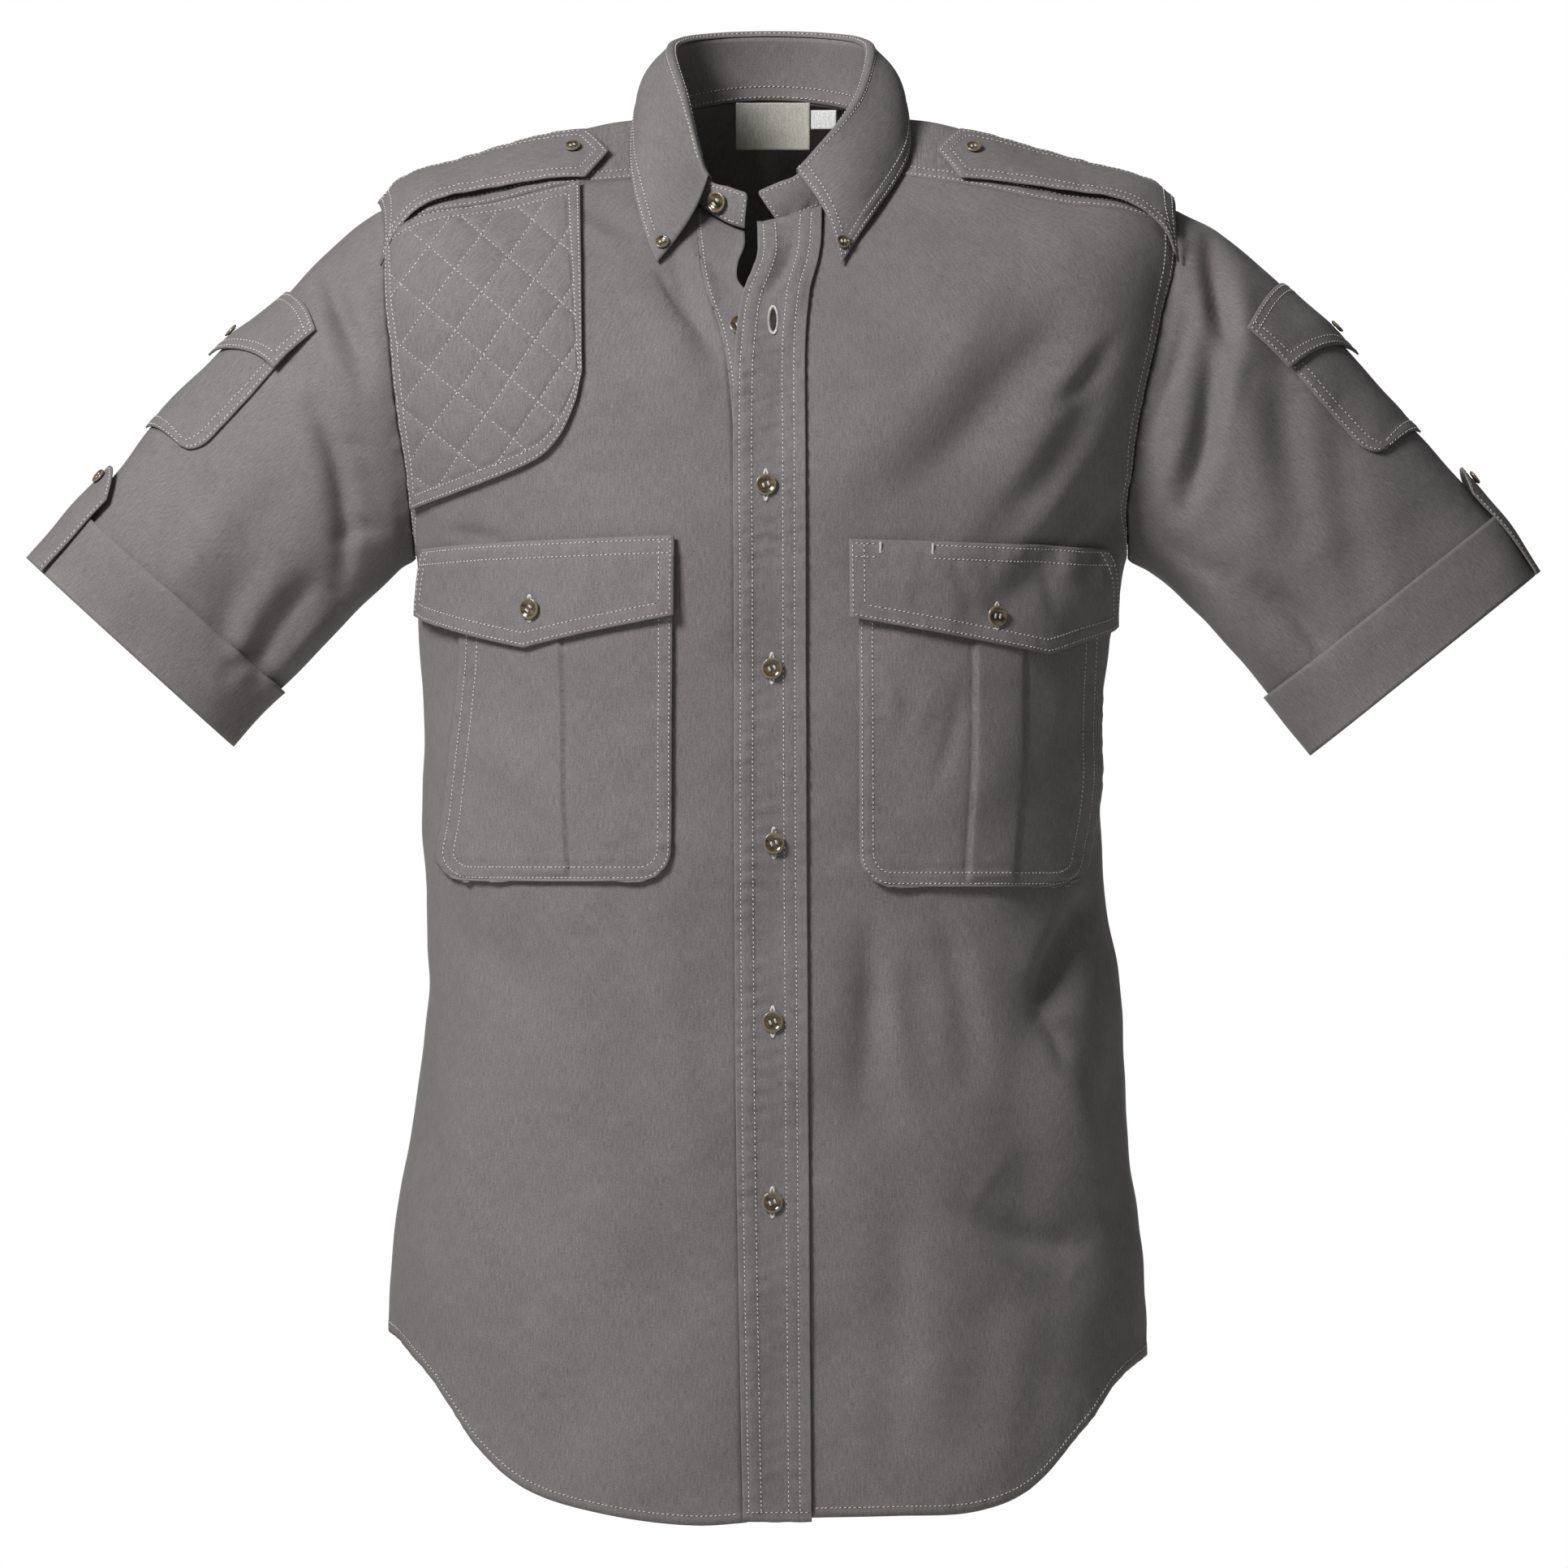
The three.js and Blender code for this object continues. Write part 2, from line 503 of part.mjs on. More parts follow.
// Place on the front yoke seam, from the neck (0) to the armhole (1)
function frontSeamPlace(side, share) {
  const end = armholePlace(side, ARMHOLE.frontSeam);
  const bent = share ** YOKE.seamBend;
  return { angle: mix(side * YOKE.neckAngle, end.angle, bent), level: mix(NECK_LEVEL, end.level, share) };
}

function hemAt(angle) {
  const fromFront = Math.abs(((angle + 540) % 360) - 180);
  const fromSide = fromFront > 90 ? 180 - fromFront : fromFront;
  return rowAt(sind(angle) < 0 ? HEM_RIGHT : HEM_LEFT, 'angle', fromSide).z;
}

// Coons patch: fills the four curves of places with a grid
function fillPatch(bottom, top, left, right, across, up) {
  return up.map((t, i) => across.map((s, j) => {
    const blend = key => (1 - t) * bottom[j][key] + t * top[j][key] + (1 - s) * left[i][key] + s * right[i][key]
      - (1 - s) * ((1 - t) * bottom[0][key] + t * top[0][key])
      - s * ((1 - t) * bottom[bottom.length - 1][key] + t * top[top.length - 1][key]);
    return { angle: blend('angle'), level: blend('level') };
  }));
}

// Angle on one ring of an edge whose x is given by height
function edgeAngle(level, edge) {
  let angle = 0;
  for (let i = 0; i < 12; i += 1) angle = angleOnRing(level, edge(torsoBase(angle, level).z));
  return angle;
}

// Front of one side, from its middle edge to the side seam; edge gives the middle edge's x by height.
function frontPlaces(side, edge) {
  const across = steps(GRID.neck + GRID.seam);
  const rise = steps(GRID.rise);
  const topLevel = NECK_LEVEL - SEAM;
  const middle = level => edgeAngle(level, edge);
  const outerAngle = side * 90;
  const start = middle(topLevel);
  const top = across.map((_, j) => {
    if (j <= GRID.neck) return { angle: mix(start, side * YOKE.neckAngle, j / GRID.neck), level: topLevel };
    const place = frontSeamPlace(side, (j - GRID.neck) / GRID.seam);
    return { angle: place.angle - side * SEAM_ANGLE, level: place.level - SEAM };
  });
  const bottomStart = middle(ARMPIT);
  const bottom = across.map(s => ({ angle: mix(bottomStart, outerAngle, s), level: ARMPIT }));
  const left = rise.map(t => {
    const level = mix(ARMPIT, topLevel, t);
    return { angle: middle(level), level };
  });
  const right = riseTurns(ARMHOLE.frontSeam).map(turn => armholePlace(side, turn));
  right[GRID.rise] = top[top.length - 1];
  left[GRID.rise] = top[0];
  const upper = fillPatch(bottom, top, left, right, across, rise);
  const lower = steps(GRID.fall).slice(0, -1).map(t => across.map(s => {
    const hem = hemAt(mix(bottomStart, outerAngle, s));
    const level = mix(hem, ARMPIT, t);
    return { angle: mix(middle(level), outerAngle, s), level };
  }));
  return [...lower, ...upper];
}

const spotsOf = places => places.map(row => row.map(({ angle, level }) => torso(angle, level)));
const overlapAt = (z, column) => rowAt(OVERLAP, 'z', z)[column];

// Moves the places of a panel's side seam in by half a seam
function openSideSeam(places, side) {
  return places.map(row => row.map(place => {
    const atSide = Math.abs(Math.abs(place.angle) - 90) < 1e-6 && place.level <= ARMPIT + 1e-6;
    return atSide ? { ...place, angle: place.angle - side * SEAM_ANGLE } : place;
  }));
}

function addFronts() {
  const rightEdge = z => overlapAt(z, 'standFrom') - SEAM;
  const leftEdge = z => overlapAt(z, 'leftEdge');
  spots.right = spotsOf(openSideSeam(frontPlaces(-1, rightEdge), -1));
  spots.left = spotsOf(openSideSeam(frontPlaces(1, leftEdge), 1));
  addCloth('front_right', spots.right);
  addCloth('front_left', spots.left);
}

function addBack() {
  const across = steps(GRID.backAcross);
  const rise = steps(GRID.rise);
  const seamEnd = armholePlace(1, -ARMHOLE.backSeam);
  const angleFor = s => mix(90, 270, s);
  const topLevel = s => mix(YOKE.backLevel, seamEnd.level, Math.abs(2 * s - 1) ** YOKE.backBend) - SEAM;
  const endAngle = seamEnd.angle;
  const top = across.map(s => ({ angle: mix(endAngle, 360 - endAngle, s), level: topLevel(s) }));
  const bottom = across.map(s => ({ angle: angleFor(s), level: ARMPIT }));
  const left = riseTurns(ARMHOLE.backSeam).map(turn => armholePlace(1, -turn));
  const right = left.map(({ angle, level }) => ({ angle: 360 - angle, level }));
  left[GRID.rise] = top[0];
  right[GRID.rise] = top[top.length - 1];
  const upper = fillPatch(bottom, top, left, right, across, rise);
  const lower = steps(GRID.fall).slice(0, -1).map(t => across.map(s => (
    { angle: angleFor(s), level: mix(hemAt(angleFor(s)), ARMPIT, t) })));
  const places = [...lower, ...upper].map(row => row.map(place => {
    const atSide = place.level <= ARMPIT + 1e-6 && (place.angle === 90 || place.angle === 270);
    return atSide ? { ...place, angle: place.angle + Math.sign(180 - place.angle) * SEAM_ANGLE } : place;
  }));
  addCloth('back', spotsOf(places));
}

// The yoke runs from one front seam over the shoulders and the back to the other.
function addYoke() {
  const outerPlaces = [];
  const innerAngles = [];
  const shoulder = steps(GRID.shoulder);
  for (const t of shoulder) {
    outerPlaces.push(armholePlace(-1, mix(ARMHOLE.frontSeam, -ARMHOLE.backSeam, t)));
    innerAngles.push(-mix(YOKE.neckAngle, YOKE.shoulderAngle, t));
  }
  const seamEnd = armholePlace(-1, -ARMHOLE.backSeam);
  for (const s of steps(GRID.backAcross).slice(1, -1)) {
    const bend = Math.abs(2 * s - 1) ** YOKE.backBend;
    outerPlaces.push({ angle: mix(seamEnd.angle, -360 - seamEnd.angle, s), level: mix(YOKE.backLevel, seamEnd.level, bend) });
    innerAngles.push(mix(-YOKE.shoulderAngle, YOKE.shoulderAngle - 360, s));
  }
  for (const t of [...shoulder].reverse()) {
    const place = armholePlace(1, mix(ARMHOLE.frontSeam, -ARMHOLE.backSeam, t));
    outerPlaces.push({ angle: place.angle - 360, level: place.level });
    innerAngles.push(mix(YOKE.neckAngle, YOKE.shoulderAngle, t) - 360);
  }
  const last = outerPlaces.length - 1;
  const places = steps(GRID.seam).map(w => outerPlaces.map((outer, j) => {
    const fromEnd = Math.min(j, last - j) / GRID.shoulder;
    const bent = w ** mix(YOKE.seamBend, 1, Math.min(fromEnd, 1));
    return { angle: mix(innerAngles[j], outer.angle, bent), level: mix(NECK_LEVEL - SEAM, outer.level, w) };
  }));
  spots.yoke = spotsOf(places);
  addCloth('yoke', spots.yoke);
}

// A strip down the front between two edges given by height, with the same rows as the fronts
function stripSpots(fromColumn, toColumn) {
  const across = steps(GRID.stripAcross);
  const topLevel = NECK_LEVEL - SEAM;
  const spotAt = (level, s) => {
    const from = edgeAngle(level, z => overlapAt(z, fromColumn));
    const to = edgeAngle(level, z => overlapAt(z, toColumn));
    return torso(mix(from, to, s), level);
  };
  const lower = steps(GRID.fall).slice(0, -1).map(t => across.map(s => {
    const hem = hemAt(edgeAngle(HEM_RIGHT[0].z, z => overlapAt(z, fromColumn)));
    return spotAt(mix(hem, ARMPIT, t), s);
  }));
  const upper = steps(GRID.rise).map(t => across.map(s => spotAt(mix(ARMPIT, topLevel, t), s)));
  return [...lower, ...upper];
}

function addPlackets() {
  addCloth('button_stand', stripSpots('standFrom', 'standTo'));
  const cloth = stripSpots('placketFrom', 'placketTo');
  const open = cloth.map(row => overlapAt(row[0].p.z, 'open'));
  const outer = (i, j) => LAYER + CLOTH + open[i] * (1 - j / GRID.stripAcross);
  addCloth('placket', cloth, { outer });
}

// Sleeves

const armhole = (side, turn) => {
  const { angle, level } = armholePlace(side, turn);
  return torso(angle, level);
};

function sleeveBase(sleeve, turn, t) {
  const { sign, outer, inner, depth, middle, topTurn } = sleeve;
  const { armpitTurn, front, down, pull } = SLEEVE_LEAVES;
  const start = armhole(sign, turn).p.add(new THREE.Vector3(sign * SLEEVE_START.out, 0, -SLEEVE_START.down));
  const centre = new THREE.Vector3((outer[0] + inner[0]) / 2, middle, (outer[1] + inner[1]) / 2);
  const tall = new THREE.Vector3(outer[0] - inner[0], 0, outer[1] - inner[1]).multiplyScalar(0.5);
  const axis = new THREE.Vector3(tall.z * sign, 0, -tall.x * sign).normalize();
  if (axis.z > 0) axis.negate();
  const end = centre.clone().addScaledVector(tall, cosd(turn)).add(new THREE.Vector3(0, -depth * sind(turn), 0));
  const reach = end.distanceTo(start);
  const first = new THREE.Vector3(sign * mix(armpitTurn, topTurn, (1 + cosd(turn)) / 2), front * sind(turn), down)
    .normalize().multiplyScalar(reach * pull);
  const last = axis.clone().multiplyScalar(reach * pull);
  return start.multiplyScalar(2 * t ** 3 - 3 * t ** 2 + 1)
    .addScaledVector(first, t ** 3 - 2 * t ** 2 + t)
    .addScaledVector(end, 3 * t ** 2 - 2 * t ** 3)
    .addScaledVector(last, t ** 3 - t ** 2);
}

function sleevePoint(key, turn, along) {
  const sleeve = SLEEVES[key];
  const p = sleeveBase(sleeve, turn, along);
  const fade = THREE.MathUtils.smoothstep(Math.abs(sind(turn)), 0, 0.5)
    * THREE.MathUtils.smoothstep(along, 0, 0.12) * THREE.MathUtils.smoothstep(1 - along, 0.1, 0.25);
  const height = foldHeight(SLEEVE_FOLDS[key], p.x, p.z) * fade * (sind(turn) > 0 ? 1 : 0.7);
  return p.add(new THREE.Vector3(0, -Math.sign(sind(turn)) * height, 0));
}

function onSleeve(key, turn, along) {
  const a = THREE.MathUtils.clamp(along, 0.002, 0.998);
  const around = sleevePoint(key, turn + 1, a).sub(sleevePoint(key, turn - 1, a));
  const down = sleevePoint(key, turn, a + 0.002).sub(sleevePoint(key, turn, a - 0.002));
  const n = around.cross(down).multiplyScalar(SLEEVES[key].sign).normalize();
  return spot(sleevePoint(key, turn, along), n);
}

// The turns where the body panels have their points, so that the seam matches on both sides
function seamTurns() {
  const front = riseTurns(ARMHOLE.frontSeam);
  const top = steps(GRID.shoulder).slice(1).map(t => mix(ARMHOLE.frontSeam, -ARMHOLE.backSeam, t));
  const back = riseTurns(ARMHOLE.backSeam).slice(1, -1).reverse().map(turn => -turn);
  return [...front, ...top, ...back];
}

function addSleeve(key) {
  const turns = seamTurns();
  const grid = steps(GRID.sleeve).map(t => turns.map(turn => onSleeve(key, turn, mix(0, SLEEVE_END, t))));
  spots[`sleeve_${key}`] = { grid, turns };
  addCloth(`sleeve_${key}`, grid, { wraps: true });
  const cuffRows = steps(GRID.cuff).map(t => turns.map(turn => {
    const start = 1 - CUFF.height / sleeveLength(key, turn);
    return onSleevePanel(key, turn, mix(start, SLEEVE_END, t));
  }));
  const outer = i => LAYER + CLOTH + CUFF.flare * (1 - i / GRID.cuff);
  addCloth(`cuff_${key}`, cuffRows, { wraps: true, outer });
}

function sleeveLength(key, turn) {
  let length = 0;
  let previous = sleevePoint(key, turn, 0);
  for (const t of steps(12).slice(1)) {
    const next = sleevePoint(key, turn, t);
    length += next.distanceTo(previous);
    previous = next;
  }
  return length;
}

// Collar

// Smooth curve through stations, by the station's number
function curveAt(points, at) {
  const i = Math.min(Math.floor(at), points.length - 2);
  const t = at - i;
  const p = k => points[THREE.MathUtils.clamp(k, 0, points.length - 1)];
  const value = key => 0.5 * (2 * p(i)[key] + (p(i + 1)[key] - p(i - 1)[key]) * t
    + (2 * p(i - 1)[key] - 5 * p(i)[key] + 4 * p(i + 1)[key] - p(i + 2)[key]) * t * t
    + (3 * p(i)[key] - p(i - 1)[key] - 3 * p(i + 1)[key] + p(i + 2)[key]) * t ** 3);
  return new THREE.Vector3(value('x'), value('y'), value('z'));
}

function standPoint(at, up) {
  const top = curveAt(STAND, at);
  const i = Math.min(Math.floor(at), STAND.length - 2);
  const neckAngle = mix(STAND[i].neckAngle, STAND[i + 1].neckAngle, at - i);
  const low = torsoPoint(neckAngle, NECK_LEVEL).add(new THREE.Vector3(0, 0, SEAM));
  const p = low.lerp(top, up);
  const away = new THREE.Vector3(p.x, p.y, 0).normalize();
  return p.addScaledVector(away, STAND_BOW * Math.sin(Math.PI * up));
}

function onStand(at, up) {
  const a = THREE.MathUtils.clamp(at, 0.02, STAND.length - 1.02);
  const around = standPoint(a + 0.02, up).sub(standPoint(a - 0.02, up));
  const rise = standPoint(a, Math.min(up + 0.02, 1)).sub(standPoint(a, Math.max(up - 0.02, 0)));
  const n = around.cross(rise).normalize();
  if (n.x * standPoint(a, up).x + n.y * standPoint(a, up).y < 0) n.negate();
  return spot(standPoint(at, up), n);
}

function leafEdge(row) {
  const s = row.z === undefined ? onTop(row.x, row.y) : onFront(row.x, row.z);
  return raised(s, LEAF_LIFT);
}

// Section of the leaf at one place: up from the stand's top, over the roll and down to the edge
function leafSection(edges, share) {
  const at = mix(LEAF[0].at, LEAF[LEAF.length - 1].at, share);
  let i = 0;
  while (i < LEAF.length - 2 && LEAF[i + 1].at < at) i += 1;
  const t = (at - LEAF[i].at) / (LEAF[i + 1].at - LEAF[i].at);
  const edge = curveAt(edges, i + t);
  const bulge = mix(LEAF[i].bulge, LEAF[i + 1].bulge, t);
  const sway = mix(LEAF[i].sway, LEAF[i + 1].sway, t);
  const under = onStand(at, 1);
  const top = raised(under, -CLOTH / 2).add(new THREE.Vector3(0, 0, SEAM));
  const away = under.n.clone().setZ(0).normalize();
  const roll = angle => top.clone().addScaledVector(away, ROLL * (1 - cosd(angle)))
    .add(new THREE.Vector3(0, 0, ROLL * sind(angle)));
  const out = new THREE.Vector3(edge.x - top.x, edge.y - top.y, 0).normalize();
  const fall = steps(GRID.leafDown).slice(1).map(w => {
    const bow = Math.sin(Math.PI * w);
    return roll(180).lerp(edge, w).addScaledVector(out, bulge * bow * LEAF_BULGE.out)
      .add(new THREE.Vector3(sway * bow, 0, bulge * bow * LEAF_BULGE.up));
  });
  return [...[0, 60, 120, 180].map(roll), ...fall];
}

// Spots of a grid of points, with directions from the neighbours
function spotsOfPoints(points) {
  const side = (i, j) => points[THREE.MathUtils.clamp(i, 0, points.length - 1)][
    THREE.MathUtils.clamp(j, 0, points[0].length - 1)];
  return points.map((row, i) => row.map((p, j) => {
    const du = side(i + 1, j).clone().sub(side(i - 1, j));
    const dv = side(i, j + 1).clone().sub(side(i, j - 1));
    return spot(p, du.cross(dv).normalize());
  }));
}

function addCollar() {
  const rows = steps(GRID.standUp).map(up => steps(GRID.stand).map(s => onStand(s * (STAND.length - 1), up * STAND_TOP)));
  addCloth('collar_stand', rows);
  const edges = LEAF.map(leafEdge);
  const sections = steps(GRID.leaf).map(share => leafSection(edges, share));
  addCloth('collar', spotsOfPoints(sections), { outer: CLOTH / 2 });
}

// Chest pockets and flaps

// Spots across the front between two x values at one height
function acrossFront(from, to, z, shares) {
  const [a, b] = [angleAt(from, z), angleAt(to, z)];
  return shares.map(s => {
    const { x } = torsoBase(mix(a, b, s), levelAt(mix(a, b, s), z));
    return onFrontPanel(x, z);
  });
}

function pocketHeights(top, bottom, corner) {
  const straight = steps(6).map(t => mix(top, bottom + corner, t));
  const round = [30, 60, 90].map(angle => bottom + corner * (1 - sind(angle)));
  return [...straight, ...round];
}

function addPocket(key) {
  const pocket = POCKETS[key];
  const shares = steps(12);
  const heights = pocketHeights(pocket.top, pocket.bottom, pocket.corner);
  const cloth = heights.map(z => {
    const t = (pocket.top - z) / (pocket.top - pocket.bottom);
    const into = Math.max(pocket.bottom + pocket.corner - z, 0) / pocket.corner;
    const inset = pocket.corner * (1 - Math.sqrt(Math.max(1 - into * into, 0)));
    const from = mix(pocket.topFrom, pocket.lowFrom, t) + inset;
    const to = mix(pocket.topTo, pocket.lowTo, t) - inset;
    return acrossFront(from, to, z, shares);
  });
  const { lift, belly, pleatHeight } = POCKET_FORM;
  const outer = (i, j) => {
    const down = i / (heights.length - 1);
    const middle = 1 - Math.abs(2 * shares[j] - 1);
    const pleat = pocket.boxed ? j >= 7 && j <= 8 : j >= 7;
    const edge = i === heights.length - 1 || j === 0 || j === shares.length - 1;
    return lift + CLOTH + belly * Math.sin(Math.PI * down) * Math.sqrt(middle) + (pleat && !edge ? pleatHeight : 0);
  };
  addCloth(`chest_pocket_${key}`, cloth, { outer });
}

function addChestFlap(key) {
  const flap = CHEST_FLAPS[key];
  const shares = [0, 0.14, 0.28, 0.42, flap.pointAt, 0.7, 0.85, 1];
  const cloth = FLAP_FORM.map(({ down }) => shares.map(s => {
    const top = mix(flap.zFrom, flap.zTo, s);
    const side = mix(flap.sideFrom, flap.sideTo, s);
    const towards = s < flap.pointAt ? s / flap.pointAt : (1 - s) / (1 - flap.pointAt);
    const low = mix(side, flap.point, towards);
    return acrossFront(flap.from, flap.to, mix(top, low, down), [s])[0];
  }));
  const ends = key === 'right' ? [FLAP_EDGE.nearSide, FLAP_EDGE.nearMiddle] : [FLAP_EDGE.nearMiddle, FLAP_EDGE.nearSide];
  const outer = (i, j) => {
    const share = j === 0 ? ends[0] : j === shares.length - 1 ? ends[1] : 1;
    return LAYER + CLOTH + FLAP_FORM[i].out * share;
  };
  addCloth(`chest_flap_${key}`, cloth, { outer });
}

// Quilted patch

function solidFrom(geometry) {
  const positions = geometry.getAttribute('position').array;
  const mesh = new wasm.Mesh({
    numProp: 3, vertProperties: new Float32Array(positions), triVerts: new Uint32Array(geometry.index.array),
  });
  return new wasm.Manifold(mesh);
}

function geometryFrom(solid) {
  const mesh = solid.getMesh();
  const geometry = new THREE.BufferGeometry();
  geometry.setAttribute('position', new THREE.Float32BufferAttribute(mesh.vertProperties, 3));
  geometry.setIndex([...mesh.triVerts]);
  return geometry;
}

// Outline in the front view, from the inner top corner along the yoke seam and round
function patchOutline() {
  const { inset, innerTop, innerLow, straightTo, curve, outerLow } = PATCH;
  const seam = steps(12).map(t => frontSeamPlace(-1, t)).map(({ angle, level }) => torsoPoint(angle, level));
  const along = seam.filter(p => p.x < innerTop).map(p => [p.x, p.z - inset * 1.4]);
  const hole = steps(10).map(t => armhole(-1, mix(ARMHOLE.frontSeam + 4, 150, t)).p)
    .filter(p => p.z > outerLow).map(p => [p.x + inset, p.z]);
  const first = seam.find(p => p.x < innerTop);
  const corner = [innerTop, first.z + (first.x - innerTop) * -0.25 - inset];
  const low = hole[hole.length - 1];
  return [corner, ...along.slice(0, -1), [hole[0][0], hole[0][1] - inset], ...hole.slice(1),
    [low[0] + 1, outerLow], ...[...curve].reverse(), [innerLow, straightTo]];
}

function insideOutline(outline, x, z, margin) {
  let inside = false;
  let nearest = Infinity;
  outline.forEach(([x1, z1], k) => {
    const [x2, z2] = outline[(k + 1) % outline.length];
    if ((z1 > z) !== (z2 > z) && x < (x2 - x1) * (z - z1) / (z2 - z1) + x1) inside = !inside;
    const t = THREE.MathUtils.clamp(((x - x1) * (x2 - x1) + (z - z1) * (z2 - z1)) / ((x2 - x1) ** 2 + (z2 - z1) ** 2), 0, 1);
    nearest = Math.min(nearest, Math.hypot(x - x1 - t * (x2 - x1), z - z1 - t * (z2 - z1)));
  });
  return inside && nearest > margin;
}

// Sheet of diamonds over the patch's area, later cut to its outline: middles of diamonds are raised.
function quiltSheet(outline) {
  const { stepA, stepB, border, puff, origin, reach } = PATCH;
  const halves = Array.from({ length: 2 * reach + 1 }, (_, i) => i - reach);
  return halves.map(i => halves.map(j => {
    const x = origin[0] + (i * stepA[0] + j * stepB[0]) / 2;
    const z = origin[1] + (i * stepA[1] + j * stepB[1]) / 2;
    const middle = i % 2 !== 0 && j % 2 !== 0;
    const high = middle && insideOutline(outline, x, z, border) ? puff : 0;
    const { p, n } = onFrontPanel(x, z);
    return { p, n, high };
  }));
}

function addPatch() {
  const outline = patchOutline();
  const sheet = quiltSheet(outline);
  const out = sheet.map(row => row.map(s => raised(s, PATCH.lift + CLOTH + s.high)));
  const into = sheet.map(row => row.map(s => raised(s, PATCH.lift)));
  const shape = new THREE.Shape(outline.map(([x, z]) => new THREE.Vector2(x, z)));
  const prism = new THREE.ExtrudeGeometry(shape, { depth: 200, bevelEnabled: false });
  prism.rotateX(Math.PI / 2);
  prism.deleteAttribute('normal');
  prism.deleteAttribute('uv');
  const cut = solidFrom(wallGeometry(out, into)).intersect(solidFrom(mergeVertices(prism)));
  addMesh('quilted_patch', geometryFrom(cut));
}

// Shoulder tabs, sleeve pockets, flaps and roll-up tabs

function addEpaulette(key) {
  const { outer, inner, yOuter, yInner } = EPAULETTES[key];
  const { halfOuter, halfInner, point, thick } = EPAULETTE;
  const side = Math.sign(outer);
  const cloth = steps(8).map(t => [-1, -0.5, 0, 0.5, 1].map(q => {
    const tip = side * point * (1 - Math.abs(q));
    const x = mix(outer, inner + side * point - tip, t);
    const y = mix(yOuter, yInner, t) + q * mix(halfOuter, halfInner, t);
    return onYoke(x, y);
  }));
  addCloth(`epaulette_${key}`, cloth, { outer: EPAULETTE.lift + thick, thick });
  const spotUnder = onPanel(faces[`epaulette_${key}`], ['x', 'y'], inner + side * EPAULETTE.buttonIn, yInner);
  addButton(`button_epaulette_${key}`, spotUnder, SMALL_BUTTON);
}

// Spot on the faces of a sleeve, between the points of its own grid
function onSleevePanel(key, turn, along) {
  const { grid, turns } = spots[`sleeve_${key}`];
  const rows = grid.length - 1;
  const row = THREE.MathUtils.clamp(along / SLEEVE_END * rows, 0, rows - 0.001);
  let j = 0;
  while (j < turns.length - 2 && turns[j + 1] > turn) j += 1;
  return between(grid, row, j + (turn - turns[j]) / (turns[j + 1] - turns[j]));
}

function addSleeveTrim(key) {
  const own = spots[`sleeve_${key}`].turns;
  const columns = half => [half, ...own.filter(turn => Math.abs(turn) < SLEEVE_TRIM_INNER), -half];
  const { turn, from, to, corner, slant } = SLEEVE_POCKET;
  const rows = [...steps(4).map(t => mix(from, to - corner, t)), to - corner * 0.4, to];
  const pocket = rows.map(along => {
    const into = Math.max(along - to + corner, 0) / corner;
    const width = turn * (1 - 0.2 * (1 - Math.sqrt(Math.max(1 - into * into, 0))));
    return columns(width).map(at => onSleevePanel(key, at, along - slant * Math.abs(at) / turn));
  });
  addCloth(`sleeve_pocket_${key}`, pocket, { outer: LAYER + CLOTH });
  const flap = SLEEVE_FLAP;
  const flapCloth = steps(3).map(t => columns(flap.turn).map(at => {
    const high = mix(flap.from, flap.sideFrom, Math.abs(at) / flap.turn);
    const low = mix(flap.point, flap.side, Math.abs(at) / flap.turn);
    return onSleevePanel(key, at, mix(high, low, t));
  }));
  const flapOut = i => mix(LAYER + CLOTH, 2 * (LAYER + CLOTH) + SLEEVE_FLAP.standOff, Math.min(i / 2, 1));
  addCloth(`sleeve_flap_${key}`, flapCloth, { outer: flapOut });
  const flapFace = faces[`sleeve_flap_${key}`];
  const spotUnder = between(flapFace, 2.2, (flapFace[0].length - 1) / 2);
  addButton(`button_sleeve_flap_${key}`, spotUnder, SMALL_BUTTON);
  addRollTab(key);
}

function addRollTab(key) {
  const { turn, from, point } = ROLL_TAB;
  const middle = ROLL_TAB.middle[key];
  const tabOut = 2 * (LAYER + CLOTH) + CUFF.flare;
  const cloth = steps(5).map(t => [-1, -0.5, 0, 0.5, 1].map(q => {
    const start = mix(point, from, q * q);
    return onSleevePanel(key, middle + q * turn, mix(start, SLEEVE_END, t));
  }));
  addCloth(`roll_tab_${key}`, cloth, { outer: tabOut });
  addButton(`button_roll_tab_${key}`, between(faces[`roll_tab_${key}`], ROLL_TAB.buttonRow, 2), SMALL_BUTTON);
}

// A small woven piece that hangs inside the back of the neck, bent as the neck is
function addTag(name, { x1, x2, z1, z2, standOff, hang, thick }, colour) {
  const ring = TORSO[0];
  const cloth = steps(2).map(t => steps(3).map(s => {
    const x = mix(x1, x2, s);
    const neck = ring.back * Math.sqrt(1 - (x / ring.right) ** 2);
    const out = new THREE.Vector3(-x / ring.right, -neck / ring.back, 0).normalize();
    return spot(new THREE.Vector3(x, neck - standOff + hang * t, mix(z1, z2, t)), out);
  }));
  addCloth(name, cloth, { thick, colour });
}

// Buttons

function buttonGeometry({ radius, thick, rim, dish, sides }) {
  const profile = [[0, 0], [radius * 0.7, 0], [radius, thick * 0.45], [radius * 0.93, thick],
    [radius - rim, thick * 0.95], [radius - rim * 1.7, thick - dish], [0, thick - dish]];
  return new THREE.LatheGeometry(profile.map(([x, y]) => new THREE.Vector2(x, y)), sides);
}

function addButton(name, place, size = BUTTON) {
  const mesh = addMesh(name, buttonGeometry(size), COLOURS.button, 0.3);
  mesh.position.copy(raised(place, BUTTON_SEAT));
  mesh.quaternion.setFromUnitVectors(new THREE.Vector3(0, 1, 0), place.n);
  return mesh;
}

